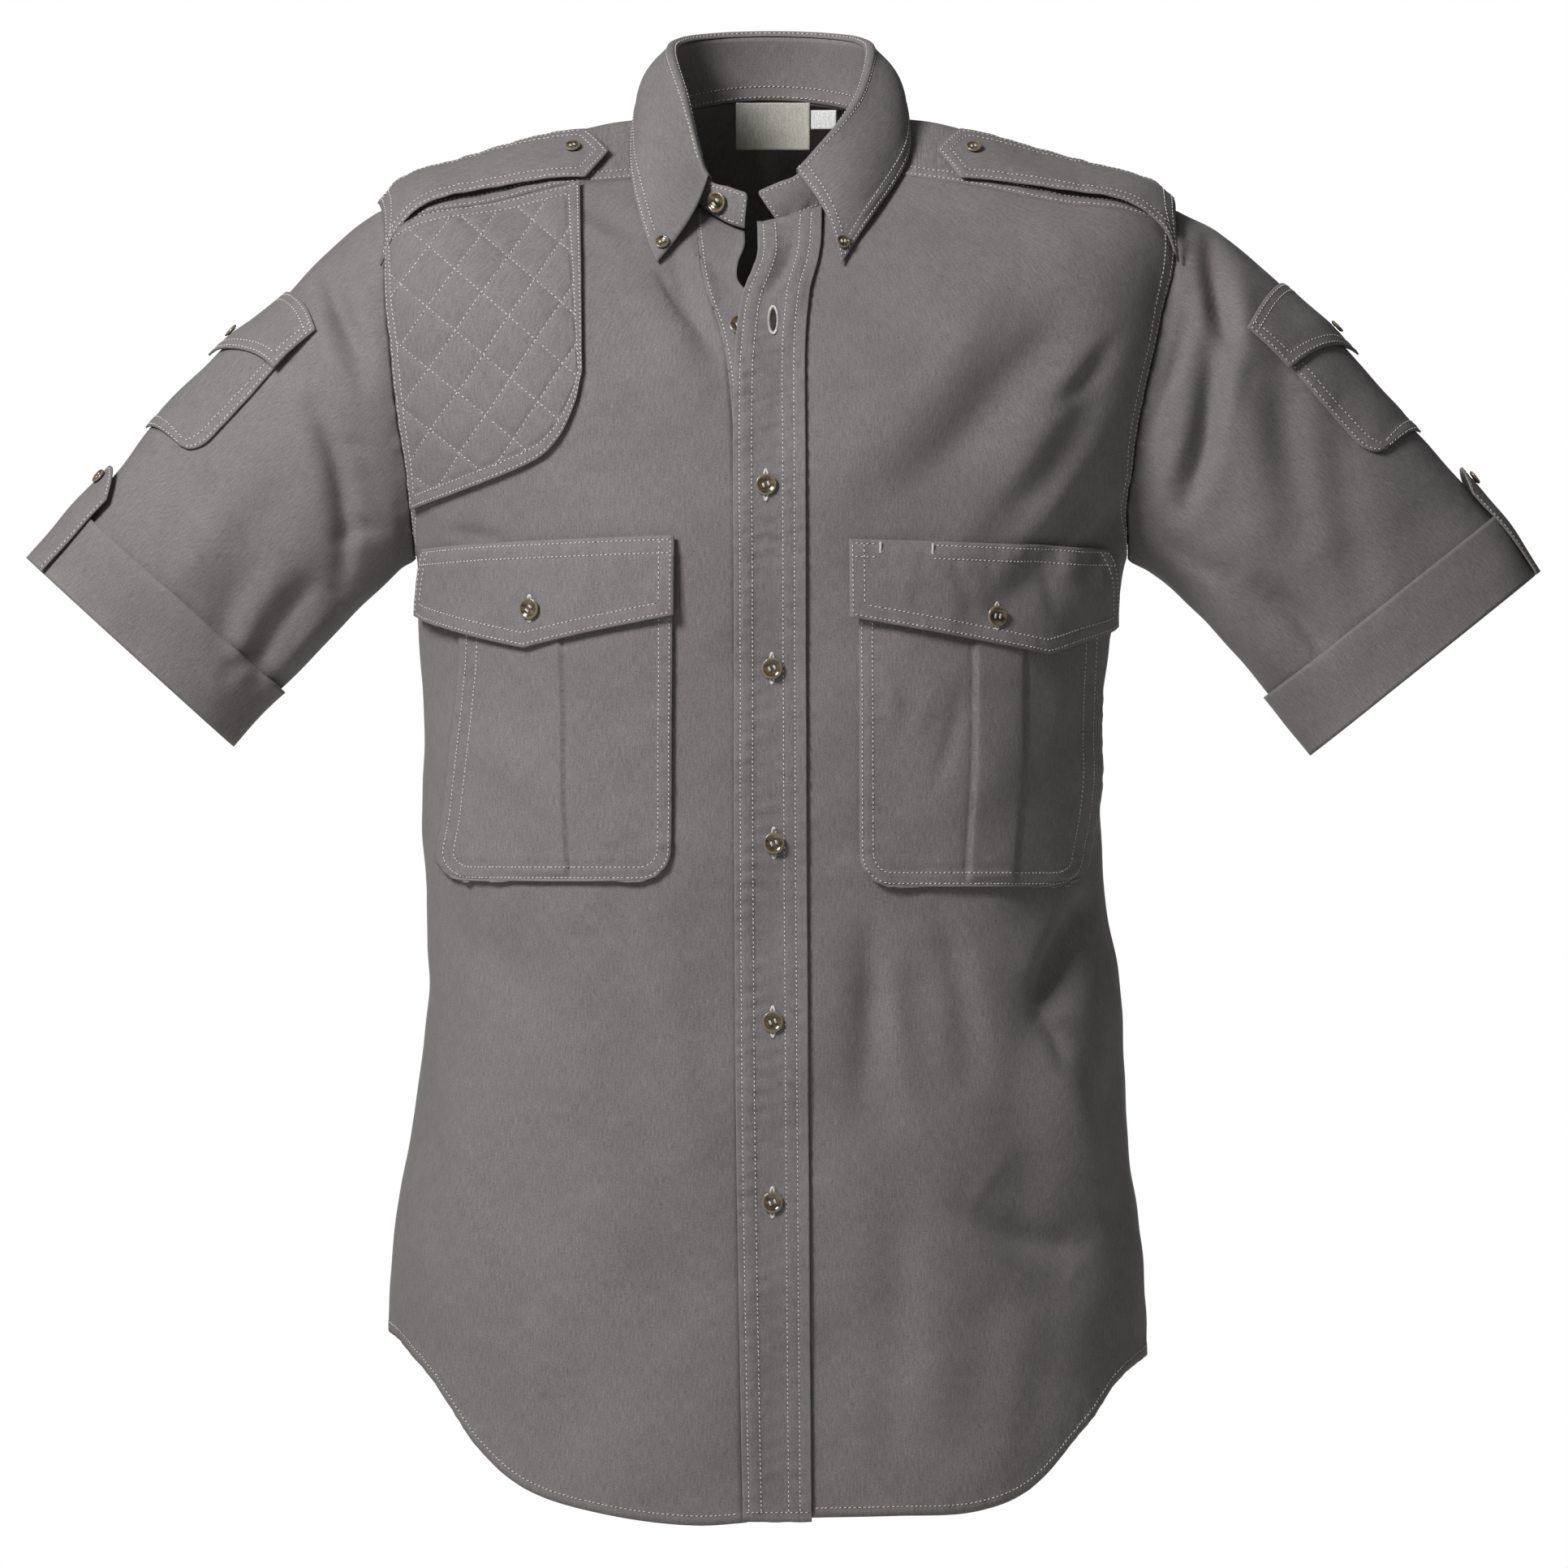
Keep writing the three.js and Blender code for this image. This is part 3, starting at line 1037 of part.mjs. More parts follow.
function addBodyButtons() {
  PLACKET_BUTTONS.forEach(({ x, z }, i) => {
    addButton(`button_placket_${i + 1}`, onPanel(faces.placket, ['x', 'z'], x, z));
  });
  const { x, z } = HALF_HIDDEN_BUTTON;
  addButton('button_half_hidden', onPanel(faces.button_stand, ['x', 'z'], x, z));
  addButton('button_stand_end', between(faces.collar_stand, STAND_BUTTON.row, STAND_BUTTON.column));
  for (const [key, place] of Object.entries(FLAP_BUTTONS)) {
    addButton(`button_chest_flap_${key}`, onPanel(faces[`chest_flap_${key}`], ['x', 'z'], place.x, place.z));
  }
  const points = { right: faces.collar.slice(0, 7), left: faces.collar.slice(-7) };
  for (const [key, place] of Object.entries(COLLAR_BUTTONS)) {
    const leaf = points[key].map(row => row.slice(-GRID.leafDown));
    addButton(`button_collar_${key}`, onPanel(leaf, ['x', 'z'], place.x, place.z), COLLAR_BUTTON);
  }
}

addFronts();
addBack();
addYoke();
addPlackets();
addCollar();
addPatch();
for (const key of ['right', 'left']) {
  addSleeve(key);
  addPocket(key);
  addChestFlap(key);
  addEpaulette(key);
  addSleeveTrim(key);
}
addBodyButtons();
addTag('neck_label', LABEL, COLOURS.label);
addTag('size_tab', SIZE_TAB, COLOURS.tab);

export default group;
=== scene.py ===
"""Short-sleeved safari shirt in its worn shape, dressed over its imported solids.

Form tables and helpers work in millimetres, in the solids' own frame, and every mesh is made in metres.
"""

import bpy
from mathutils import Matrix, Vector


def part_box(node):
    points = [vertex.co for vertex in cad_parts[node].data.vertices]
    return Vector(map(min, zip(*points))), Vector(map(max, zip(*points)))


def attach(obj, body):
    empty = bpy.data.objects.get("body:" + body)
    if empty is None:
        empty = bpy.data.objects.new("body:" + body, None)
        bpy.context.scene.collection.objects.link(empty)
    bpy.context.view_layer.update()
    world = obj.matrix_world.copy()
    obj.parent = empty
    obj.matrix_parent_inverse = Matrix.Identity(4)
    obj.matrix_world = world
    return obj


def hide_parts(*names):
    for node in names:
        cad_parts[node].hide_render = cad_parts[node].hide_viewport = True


bl_info = {
    "name": "Safari Shirt",
    "version": (1, 0, 0),
    "blender": (4, 5, 0),
    "location": "View3D > Sidebar > Shirt",
    "description": "Builds a hollow safari shirt with its pockets, buttons and stitching",
    "category": "Add Mesh",
}

import math

import bmesh
import bpy
import numpy as np
from bpy.props import FloatProperty, FloatVectorProperty, IntProperty, PointerProperty
from mathutils import Matrix, Vector, kdtree

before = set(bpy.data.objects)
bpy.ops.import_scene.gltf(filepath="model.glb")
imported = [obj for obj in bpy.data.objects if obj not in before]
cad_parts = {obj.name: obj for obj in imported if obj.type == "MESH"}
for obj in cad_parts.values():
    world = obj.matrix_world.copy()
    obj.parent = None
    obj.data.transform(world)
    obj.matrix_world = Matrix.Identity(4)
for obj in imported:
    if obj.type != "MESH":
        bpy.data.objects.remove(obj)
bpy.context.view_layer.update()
MM = 0.001

# Form tables, the same as the solids', with columns by name


def table(columns, *rows):
    """Columns of a table as arrays, by name."""
    return {name: np.array([row[i] for row in rows], float) for i, name in enumerate(columns)}


ARMPIT = -231
NECK_LEVEL, LOWEST_LEVEL = 0, -770
SEAM = 0.35
SEAM_ANGLE = 0.09
STAND_LAP = 0.12
STEP = 0.25
TORSO = table(
    ("level", "right", "left", "front", "back", "z_front", "z_side", "z_back", "square", "dip", "lift"),
    (0, 60, 59, 62, 57, -60, 2, 12, 2.0, 1.1, 8),
    (-12, 88, 88, 72, 70, -65, -1, 5, 2.1, 1.2, 5),
    (-28, 122, 123, 82, 82, -74, -10, -8, 2.15, 1.45, 2),
    (-50, 162, 165, 93, 94, -88, -24, -28, 2.2, 1.7, 0),
    (-75, 195, 201, 105, 103, -107, -37, -54, 2.25, 1.9, 0),
    (-105, 211, 217, 115, 109, -130, -62, -86, 2.3, 2, 0),
    (-140, 213, 216, 122, 111, -156, -104, -122, 2.35, 2, 0),
    (-185, 204, 204, 127, 110, -193, -166, -173, 2.4, 2, 0),
    (-231, 188, 188, 129, 108, -231, -231, -231, 2.45, 2, 0),
    (-280, 186, 180, 129, 105, -280, -280, -280, 2.45, 2, 0),
    (-378, 184, 174, 128, 99, -378, -378, -378, 2.45, 2, 0),
    (-456, 183, 184, 127, 98, -456, -456, -456, 2.45, 2, 0),
    (-533, 188, 190, 128, 101, -533, -533, -533, 2.4, 2, 0),
    (-610, 199, 196, 130, 107, -610, -610, -610, 2.4, 2, 0),
    (-700, 204, 202, 132, 113, -700, -700, -700, 2.4, 2, 0),
    (-770, 206, 204, 133, 117, -770, -770, -770, 2.4, 2, 0),
)
ARMHOLE = {"top": -88, "bottom": ARMPIT, "front_reach": 23, "back_reach": 27, "front_seam": 35, "back_seam": 55}
YOKE = {"neck_angle": 58, "back_level": -108, "seam_bend": 2.2, "back_bend": 3, "shoulder_angle": 128}
HEM_RIGHT = table(
    ("angle", "z"),
    (0, -738), (9, -741), (22, -735), (36, -722), (47, -700), (60, -665), (76, -645), (90, -640),
)
HEM_LEFT = table(
    ("angle", "z"),
    (0, -737), (14, -736), (27, -734), (38, -722), (52, -690), (64, -666), (76, -656), (90, -652),
)
OVERLAP = table(
    ("z", "placket_from", "placket_to", "stand_from", "stand_to", "left_edge", "open"),
    (-55, -6.5, 27, -39, -14, -2, 3),
    (-66, -6.8, 26.5, -38, -14, -3, 3.5),
    (-75, -7.2, 25, -37, -17.4, -4, 4),
    (-84, -10.5, 22.5, -35.5, -17.4, -6.5, 4),
    (-90, -13.2, 21, -34, -12.8, -8.5, 4.2),
    (-98, -15.9, 20, -31, -10.5, -8.5, 4.2),
    (-112, -17.8, 18.6, -26.5, -5, -3.5, 4),
    (-130, -19.3, 18, -23, 2, 3.5, 3),
    (-170, -20, 18.2, -19.5, 10, 11.2, 1),
    (-250, -19.5, 18.5, -17.5, 14.5, 15.4, 0),
    (-383, -19.3, 19, -17, 15, 15.8, 0),
    (-550, -18, 20, -16, 16, 16.8, 0),
    (-745, -14.6, 21.5, -13, 17.5, 18.3, 0),
)
FOLD_COLUMNS = ("x1", "z1", "x2", "z2", "width", "depth")
FRONT_FOLDS = table(
    FOLD_COLUMNS,
    (-54, -85, -20, -150, 8, -3),
    (180, -125, 105, -225, 17, 4),
    (165, -100, 80, -190, 15, -3),
    (170, -425, 142, -472, 13, -7),
    (146, -480, 166, -565, 15, 5),
    (112, -560, 168, -605, 19, -6),
    (52, -450, 58, -545, 16, -3),
    (-155, -425, -112, -480, 17, -4),
    (-70, -520, -95, -640, 22, 3),
    (95, -610, 80, -700, 22, 3),
)
BACK_FOLDS = table(
    FOLD_COLUMNS,
    (-150, -170, -105, -330, 20, 5),
    (150, -170, 110, -330, 20, 5),
    (-40, -130, -62, -400, 22, -4),
    (52, -130, 44, -420, 22, -4),
    (-150, -470, 20, -520, 22, -5),
    (150, -430, 40, -480, 20, -4),
    (-90, -560, -110, -690, 26, 5),
    (70, -560, 92, -690, 26, 5),
)
FOLD_FADE = 0.4
SLEEVES = {
    "right": {"sign": -1, "outer": (-390, -237), "inner": (-287, -330), "depth": 44, "middle": -8,
              "top_turn": 0.86},
    "left": {"sign": 1, "outer": (404, -243), "inner": (288, -335), "depth": 45, "middle": -8,
             "top_turn": 0.86},
}
SLEEVE_START = {"out": 0.72, "down": 0.54}
SLEEVE_LEAVES = {"armpit_turn": 0.74, "front": -0.18, "down": -0.55, "pull": 0.95}
SLEEVE_FOLDS = {
    "right": table(
        FOLD_COLUMNS,
        (-238, -80, -209, -150, 10, -5),
        (-262, -120, -232, -225, 12, 3),
        (-275, -294, -238, -238, 10, -4),
        (-300, -200, -262, -260, 14, 3),
    ),
    "left": table(
        FOLD_COLUMNS,
        (229, -58, 242, -122, 9, -6),
        (232, -124, 220, -200, 10, -5),
        (252, -130, 262, -235, 15, 4),
        (300, -280, 248, -240, 11, -4),
    ),
}
SLEEVE_END = 0.994
CUFF = {"height": 41, "flare": 1.4}
STAND = table(
    ("neck_angle", "x", "y", "z"),
    (-13.5, -12, -60, -39),
    (-22, -22, -57, -35.5),
    (-33, -32.5, -51, -31.5),
    (-46, -38, -43, -16),
    (-64, -44.5, -28, 12),
    (-90, -51, 0, 35),
    (-125, -46, 28, 42),
    (-153, -27, 46, 45),
    (-180, 0, 51, 46),
    (-207, 27, 46, 45),
    (-235, 46, 28, 42),
    (-270, 51, 0, 35),
    (-293, 46, -27, 14),
    (-310, 38, -42, 0),
    (-325, 27, -51, -14),
    (-338, 14, -57, -28.5),
    (-347, 4, -60, -33),
    (-356, -7.5, -61.5, -38),
)
STAND_BOW = 1.5
STAND_WALL = 1.25
STAND_CORNER = 2.2
LEAF = table(
    ("at", "x", "across", "above", "bulge", "sway"),
    (1.95, -60, -76, 0, 2, 5),
    (2.3, -66, -62, 0, 3, 2),
    (3.1, -72, -40, 0, 5, 0),
    (4.0, -74, -20, 0, 6, 0),
    (5.0, -71, 2, 1, 6, 0),
    (6.0, -62, 42, 1, 5, 0),
    (7.0, -36, 66, 1, 4, 0),
    (8.0, 0, 73, 1, 4, 0),
    (9.0, 36, 66, 1, 4, 0),
    (10.0, 62, 42, 1, 5, 0),
    (11.0, 71, 2, 1, 6, 0),
    (12.0, 73, -17, 0, 6, 0),
    (13.2, 66, -34, 0, 5, 0),
    (14.3, 50, -58, 0, 4, 1),
    (15.0, 37, -78, 0, 3.5, 2),
)
LEAF_LIFT = 2.4
LEAF_BULGE = {"out": 0.8, "up": 0.5}
ROLL = 2.2
CLOTH = 1.3
LAYER = 0.8
POCKETS = {
    "right": {"top_from": -158, "top_to": -51.5, "low_from": -175, "low_to": -52, "top": -236, "bottom": -402,
              "corner": 17, "pleats": ((-111, -105.4),), "boxed": False},
    "left": {"top_from": 46, "top_to": 175, "low_from": 47, "low_to": 168, "top": -238, "bottom": -405,
             "corner": 17, "pleats": ((106.6, 103), (132, 127)), "boxed": True},
}
CHEST_FLAPS = {
    "right": {"from": -180, "to": -50.5, "z_from": -226, "z_to": -220, "side_from": -262, "side_to": -262,
              "point": -279, "point_at": 0.44, "ends": (0.6, 0.9)},
    "left": {"from": 41, "to": 177.5, "z_from": -222, "z_to": -227, "side_from": -263, "side_to": -267,
             "point": -282, "point_at": 0.55, "ends": (0.9, 0.6)},
}
POCKET_FORM = {"lift": 1.6, "belly": 1.6}
# Heights and widths at a pleat's edges: a box pleat raised between two grooves, or one fold that dies away
BOX_PLEAT = {"raised": 1.5, "grooves": (0.8, 0.9), "aside": 0.9, "width": 1.3}
FOLD_PLEAT = {"raised": 1.7, "dies": 16, "groove": 1.0, "aside": 0.9, "width": 1.1}
# Where the pen's opening in the left flap's top seam starts and ends, from the flap's inner end
PEN_SLOT = (16, 44)
FLAP_FORM = table(("down", "out"), (0, 0.6), (0.24, 3.5), (0.5, 4.7), (0.75, 5.2), (1, 5.7))
PATCH = {
    "inset": 2.2, "inner_top": -101, "inner_low": -99, "straight_to": -134,
    "curve": ((-103, -152), (-113, -171), (-131, -184)), "outer_low": -205, "border": 7,
    "step_a": (14.2, -12.5), "step_b": (-12.9, -19.4), "lift": 1.8, "puff": 1.6, "origin": (-150, -125),
}
EPAULETTES = {
    "right": {"outer": -204, "inner": -86, "y_outer": -19, "y_inner": -26},
    "left": {"outer": 209, "inner": 88, "y_outer": -19, "y_inner": -26},
}
EPAULETTE = {"half_outer": 23, "half_inner": 17, "point": 12, "thick": 1.6, "button_in": 19, "lift": 2.3}
SLEEVE_POCKET = {"turn": 52, "from": 0.335, "to": 0.64, "corner": 0.06, "slant": 0.05, "belly": 0.9}
SLEEVE_FLAP = {"turn": 54, "from": 0.27, "side_from": 0.2, "side": 0.325, "point": 0.455, "stand_off": 1.2,
               "wave": 0.7}
ROLL_TAB = {"middle": {"right": 11, "left": -4}, "turn": 20, "from": 0.79, "point": 0.74}
LABEL = {"x1": -18.5, "x2": 20.6, "z1": 11, "z2": -14, "stand_off": 3.4, "hang": 6}
SIZE_TAB = {"x1": 21.2, "x2": 34.5, "z1": 7, "z2": -3, "stand_off": 3.4, "hang": 2}

# Small creases that only the cloth's look has; bow bends a crease and skew makes one of its flanks steeper
CREASE_COLUMNS = ("x1", "z1", "x2", "z2", "bow", "width", "depth", "skew")
FRONT_CREASES = table(
    CREASE_COLUMNS,
    (-60, -79, -45, -104, 0, 2.6, -1.6, 0.2),
    (-52, -74, -22, -132, -4, 5, -2.2, 0.3),
    (-42, -68, -30, -100, 2, 4, 1.2, 0),
    (-100, -46, -66, -60, -3, 6, -1.8, 0.3),
    (-98, -55, -72, -66, -3, 5, 1.1, 0),
    (-168, -219, -140, -224, 0, 4, -1.6, 0.4),
    (172, -132, 118, -212, 6, 11, -2.7, 0.5),
    (176, -172, 104, -262, 8, 11, -2.6, 0.5),
    (178, -118, 150, -150, 3, 6, -2.2, 0.4),
    (150, -100, 60, -196, 8, 14, -1.6, 0.3),
    (120, -82, 40, -182, 8, 13, 1.2, 0.2),
    (186, -196, 160, -240, 2, 7, -3, 0.5),
    (182, -150, 120, -250, 4, 10, 1.5, 0),
    (40, -62, 150, -70, -6, 9, 1.0, 0),
    (52, -90, 148, -98, -4, 12, -0.9, 0),
    (174, -404, 142, -470, -4, 8, -3.4, 0.6),
    (143, -476, 150, -500, 3, 5, -2, 0.3),
    (150, -500, 172, -560, 3, 9, 2.4, 0),
    (104, -578, 166, -596, -5, 9, -2.6, 0.5),
    (50, -418, 46, -520, 3, 8, -1.9, 0.3),
    (28, -398, 66, -404, 4, 8, 1.4, 0),
    (88, -420, 104, -500, 3, 9, -2.0, 0.3),
    (66, -440, 74, -520, -3, 8, 1.7, 0),
    (-120, -450, -64, -560, 6, 16, -2.4, 0.2),
    (-150, -560, -60, -640, 6, 18, -1.8, 0.2),
    (-60, -420, -34, -560, -3, 14, 1.8, 0),
    (-176, -500, -150, -640, 4, 12, 2.0, 0),
    (64, -560, 60, -700, 4, 12, -1.6, 0.2),
    (130, -620, 120, -710, 4, 14, 2.0, 0),
    (-100, -640, -110, -720, 2, 14, -1.6, 0),
)
BACK_CREASES = table(
    CREASE_COLUMNS,
    (-176, -160, -120, -270, 8, 9, -3.0, 0.4),
    (174, -168, 116, -262, 8, 9, -3.2, 0.4),
    (-182, -205, -140, -300, 6, 10, 2.6, 0),
    (182, -212, 132, -322, 6, 10, 2.4, 0),
    (-100, -130, -112, -260, 5, 12, 1.8, 0),
    (96, -134, 104, -280, -5, 12, 1.6, 0),
    (-20, -140, -12, -380, 6, 16, 2.0, 0),
    (20, -320, 120, -410, -8, 13, -2.6, 0.3),
    (-140, -410, -20, -452, 8, 12, -2.6, 0.4),
    (140, -470, 30, -560, 10, 15, 2.4, 0.2),
    (-160, -520, -60, -600, 6, 14, 2.4, 0),
    (-30, -520, -44, -700, 6, 15, -2.4, 0.2),
    (130, -560, 140, -690, 6, 14, -2.2, 0.2),
)
SLEEVE_CREASES = {
    "right": table(
        CREASE_COLUMNS,
        (-236, -78, -214, -128, -3, 5, -3.0, 0.5),
        (-246, -70, -222, -140, -4, 6, 1.8, 0),
        (-238, -153, -227, -246, 8, 6, -3.4, -0.5),
        (-228, -170, -214, -176, 0, 3, -1.2, 0.3),
        (-262, -200, -292, -262, -5, 12, -2.0, 0.2),
        (-284, -200, -318, -258, -4, 12, 1.7, 0),
        (-272, -296, -244, -248, 5, 6, -3.2, 0.5),
        (-262, -300, -236, -262, 3, 5, 1.8, 0),
        (-290, -290, -262, -228, 6, 9, -2.4, 0.3),
        (-232, -225, -205, -215, 3, 5, -1.6, 0.4),
        (-300, -306, -268, -280, 2, 5, -1.8, 0.4),
    ),
    "left": table(
        CREASE_COLUMNS,
        (229, -56, 243, -122, -6, 5, -4.2, 0.5),
        (219, -92, 196, -164, 4, 5, -3.4, 0.5),
        (234, -126, 222, -202, 5, 6, -4.0, -0.4),
        (247, -84, 238, -160, 4, 7, 2.4, 0),
        (222, -140, 208, -196, 3, 6, 2.0, 0),
        (268, -110, 282, -210, -6, 12, -2.2, 0.3),
        (300, -160, 316, -262, -6, 12, -1.8, 0.2),
        (286, -140, 300, -240, -5, 12, 1.6, 0),
        (296, -284, 262, -246, -4, 6, -3.0, 0.5),
        (276, -298, 238, -252, 3, 6, 2.0, 0),
        (240, -240, 206, -214, 3, 6, -2.6, 0.4),
    ),
}

# Double rows of stitches: their distances from an edge
ROWS = {
    "placket_left": (3.4, 9.9), "placket_right": (6, 12), "yoke": (1.6, 7.4), "armhole": (1.8, 8),
    "pocket": (1.8, 7.4), "flap": (1.8, 7.8), "flap_top": (2.2, 9.2), "leaf": (1.8, 6.6), "stand": (1.9,),
    "epaulette": (1.8, 7), "hem": (5,), "tab": (1.8, 6), "sleeve_pocket": (1.8, 7), "patch": (1.4, 6.4),
    "stand_inside": (1.9, 7.5), "roll_tab": (1.8,), "placket_low": (5,), "stand_edge": (1.6,),
    "stand_far_edge": (2,), "sleeve_head": (2,), "collar_seam": (2,), "collar_ends": (2,),
}
# Heights of the folded allowances along these rows, and of the puckers across them
RAISED = {
    "placket_left": 0.5, "placket_right": 0.35, "yoke": 0.35, "armhole": 0.4, "pocket": 0.35, "flap": 0.35,
    "flap_top": 0.35, "leaf": 0.35, "epaulette": 0.3, "hem": 0.3, "tab": 0.3, "sleeve_pocket": 0.3, "patch": 0.55,
    "roll_tab": 0.25, "stand_edge": 0.3,
}
PUCKERS = {
    "placket_left": 0.5, "placket_right": 0.45, "yoke": 0.22, "armhole": 0.2, "pocket": 0.3, "flap": 0.16,
    "flap_top": 0.22, "leaf": 0.12, "epaulette": 0.25, "hem": 0.35, "sleeve_pocket": 0.2, "patch": 0.12,
    "stand_edge": 0.3, "stand_far_edge": 0.25, "sleeve_head": 0.45, "collar_seam": 0.25, "collar_ends": 0.2,
}

# Places of buttons in the front view, on the collar's stand and along the sleeves
PLACKET_BUTTONS = table(("x", "z"), (-2.6, -193.5), (0.6, -290), (1.6, -382), (1, -476), (0.8, -571))
HALF_HIDDEN_BUTTON = (-16.5, -109)
FLAP_BUTTONS = {"right": (-127, -258.5), "left": (119, -262.5)}
STAND_BUTTON = (1.6, 0.5)
SLEEVE_BUTTONS = {"flap": 0.36, "tab": 0.77}
BUTTONHOLES = {"placket": 17, "flap": 15}
OPEN_BUTTONHOLE = {"x": 1.2, "z": -106.5, "length": 15.5, "gape": 3.0}
BUTTON_SIZES = {"large": (5.7, 2.4), "small": (4.3, 2.0), "collar": (3.9, 1.9)}


# Interpolation


def row_at(columns, key, value):
    """Smooth interpolation of every column of a table, by one of them."""
    keys = columns[key]
    value = np.asarray(value, float)
    sign = 1 if keys[0] < keys[-1] else -1
    last = len(keys) - 1
    i = np.clip(np.searchsorted(sign * keys, sign * value, side="left") - 1, 0, last - 1)
    before, after = np.maximum(i - 1, 0), np.minimum(i + 2, last)
    span = keys[i + 1] - keys[i]
    t = np.clip((value - keys[i]) / span, 0, 1)
    out = {}
    for name, c in columns.items():
        slope_a = (c[i + 1] - c[before]) / (keys[i + 1] - keys[before]) * span
        slope_b = (c[after] - c[i]) / (keys[after] - keys[i]) * span
        out[name] = ((2 * t**3 - 3 * t**2 + 1) * c[i] + (t**3 - 2 * t**2 + t) * slope_a
                     + (3 * t**2 - 2 * t**3) * c[i + 1] + (t**3 - t**2) * slope_b)
    out[key] = value
    return out


def cosd(angle):
    return np.cos(np.radians(angle))


def sind(angle):
    return np.sin(np.radians(angle))


def power(value, exponent):
    return np.sign(value) * np.abs(value) ** exponent


def mix(a, b, t):
    return a + (b - a) * t


def smoothstep(low, high, value):
    t = np.clip((value - low) / (high - low), 0, 1)
    return t * t * (3 - 2 * t)


def unit(v):
    return v / np.maximum(np.linalg.norm(v, axis=-1, keepdims=True), 1e-9)


def steps(count):
    return np.linspace(0, 1, count + 1)


def bell(distance, width):
    return np.exp(-((distance / width) ** 2))


def length_along(path):
    """Distance along a path at each of its points."""
    return np.concatenate([[0], np.cumsum(np.linalg.norm(np.diff(path, axis=0), axis=1))])


def tree_of(points):
    """A search tree over an array of points."""
    tree = kdtree.KDTree(len(points))
    for k, point in enumerate(points):
        tree.insert(point, k)
    tree.balance()
    return tree


def crease_height(creases, x, z):
    """Height of soft folds and creases at points of a front or back view."""
    height = np.zeros(np.broadcast(x, z).shape)
    zero = np.zeros_like(creases["x1"])
    bows, skews = creases.get("bow", zero), creases.get("skew", zero)
    for k, depth in enumerate(creases["depth"]):
        start = np.array([creases["x1"][k], creases["z1"][k]])
        along = np.array([creases["x2"][k], creases["z2"][k]]) - start
        length = np.hypot(*along)
        dx, dz = x - start[0], z - start[1]
        t = (dx * along[0] + dz * along[1]) / length**2
        near = np.clip(t, 0, 1)
        off = (dz * along[0] - dx * along[1]) / length - bows[k] * 4 * near * (1 - near)
        past = (t - near) * length
        width = creases["width"][k]
        fade = np.sqrt(np.sin(np.pi * np.clip(near, 0.04, 0.96)))
        shape = np.exp(-((off / width) ** 2) - (past / width) ** 2)
        height += depth * fade * (1 + 1.5 * skews[k] * off / width) * shape
    return height


def ripple_waves(size, seed, count=14):
    """Directions and phases of waves that add up to an uneven surface."""
    random = np.random.default_rng(seed)
    ways = unit(random.normal(size=(count, 3)))
    lengths = size * random.uniform(0.7, 1.5, count)
    return ways * (2 * math.pi / lengths)[:, None], random.uniform(0, 2 * math.pi, count)


UNEVEN = [(ripple_waves(150, 3), 1.9), (ripple_waves(70, 5), 1.15), (ripple_waves(30, 8), 0.3)]
# Share of the unevenness left at the neck seam, and how far down it takes to come back
NECK_CALM, NECK_REACH = 0.2, 60


def unevenness(points):
    """Slow waviness of hung cloth, continuous over all the pieces."""
    height = np.zeros(points.shape[:-1])
    for (ways, phases), amount in UNEVEN:
        total = np.zeros_like(height)
        for way, phase in zip(ways, phases):
            total += np.sin(points @ way + phase)
        height += amount * total / math.sqrt(len(phases))
    return height


# Torso


def torso_base(angle, level):
    """Points of the torso without folds. Angle 0 is the front's middle and 90 the wearer's left side."""
    r = row_at(TORSO, "level", level)
    s, c = sind(angle), cosd(angle)
    k = 2 / r["square"]
    half = np.where(s < 0, r["right"], r["left"])
    deep = np.where(c > 0, r["front"], r["back"])
    z_front = (mix(r["z_side"], r["z_front"], np.maximum(c, 0) ** r["dip"])
               + r["lift"] * c * c * smoothstep(-0.25, 0.35, s))
    z = np.where(c > 0, z_front, mix(r["z_side"], r["z_back"], c * c))
    return np.stack([half * power(s, k), -deep * power(c, k), z], -1)


def torso(angle, level):
    """Points of the torso with folds and creases, and outward directions without them."""
    angle, level = np.broadcast_arrays(np.asarray(angle, float), np.asarray(level, float))
    p = torso_base(angle, level)
    du = torso_base(angle + STEP, level) - torso_base(angle - STEP, level)
    dv = torso_base(angle, level + STEP) - torso_base(angle, level - STEP)
    n = unit(np.cross(du, dv))
    c = cosd(angle)
    x, z = p[..., 0], p[..., 2]
    deep = bpy.context.scene.shirt_cloth.crease_depth
    front = crease_height(FRONT_FOLDS, x, z) + deep * crease_height(FRONT_CREASES, x, z)
    back = crease_height(BACK_FOLDS, x, z) + deep * crease_height(BACK_CREASES, x, z)
    height = np.where(c > 0, front, back) * smoothstep(0, FOLD_FADE, np.abs(c))
    calm = mix(NECK_CALM, 1, smoothstep(0, NECK_REACH, -level))
    return p + n * (height + unevenness(p) * calm)[..., None], n


def solve(f, low, high, shape):
    """Values between low and high where a falling function is zero."""
    a, b = np.full(shape, float(low)), np.full(shape, float(high))
    for _ in range(34):
        middle = (a + b) / 2
        positive = f(middle) > 0
        a, b = np.where(positive, middle, a), np.where(positive, b, middle)
    return (a + b) / 2


def angle_on_ring(level, x):
    r = row_at(TORSO, "level", level)
    share = np.minimum(np.abs(x) / np.where(x < 0, r["right"], r["left"]), 1)
    return np.sign(x) * np.degrees(np.arcsin(share ** (r["square"] / 2)))


def front_place(x, z):
    """Angle and level at points of the front view."""
    x, z = np.broadcast_arrays(np.asarray(x, float), np.asarray(z, float))

    def past(at):
        return torso_base(angle_on_ring(at, x), at)[..., 2] - z

    level = solve(past, NECK_LEVEL, LOWEST_LEVEL, x.shape)
    return angle_on_ring(level, x), level


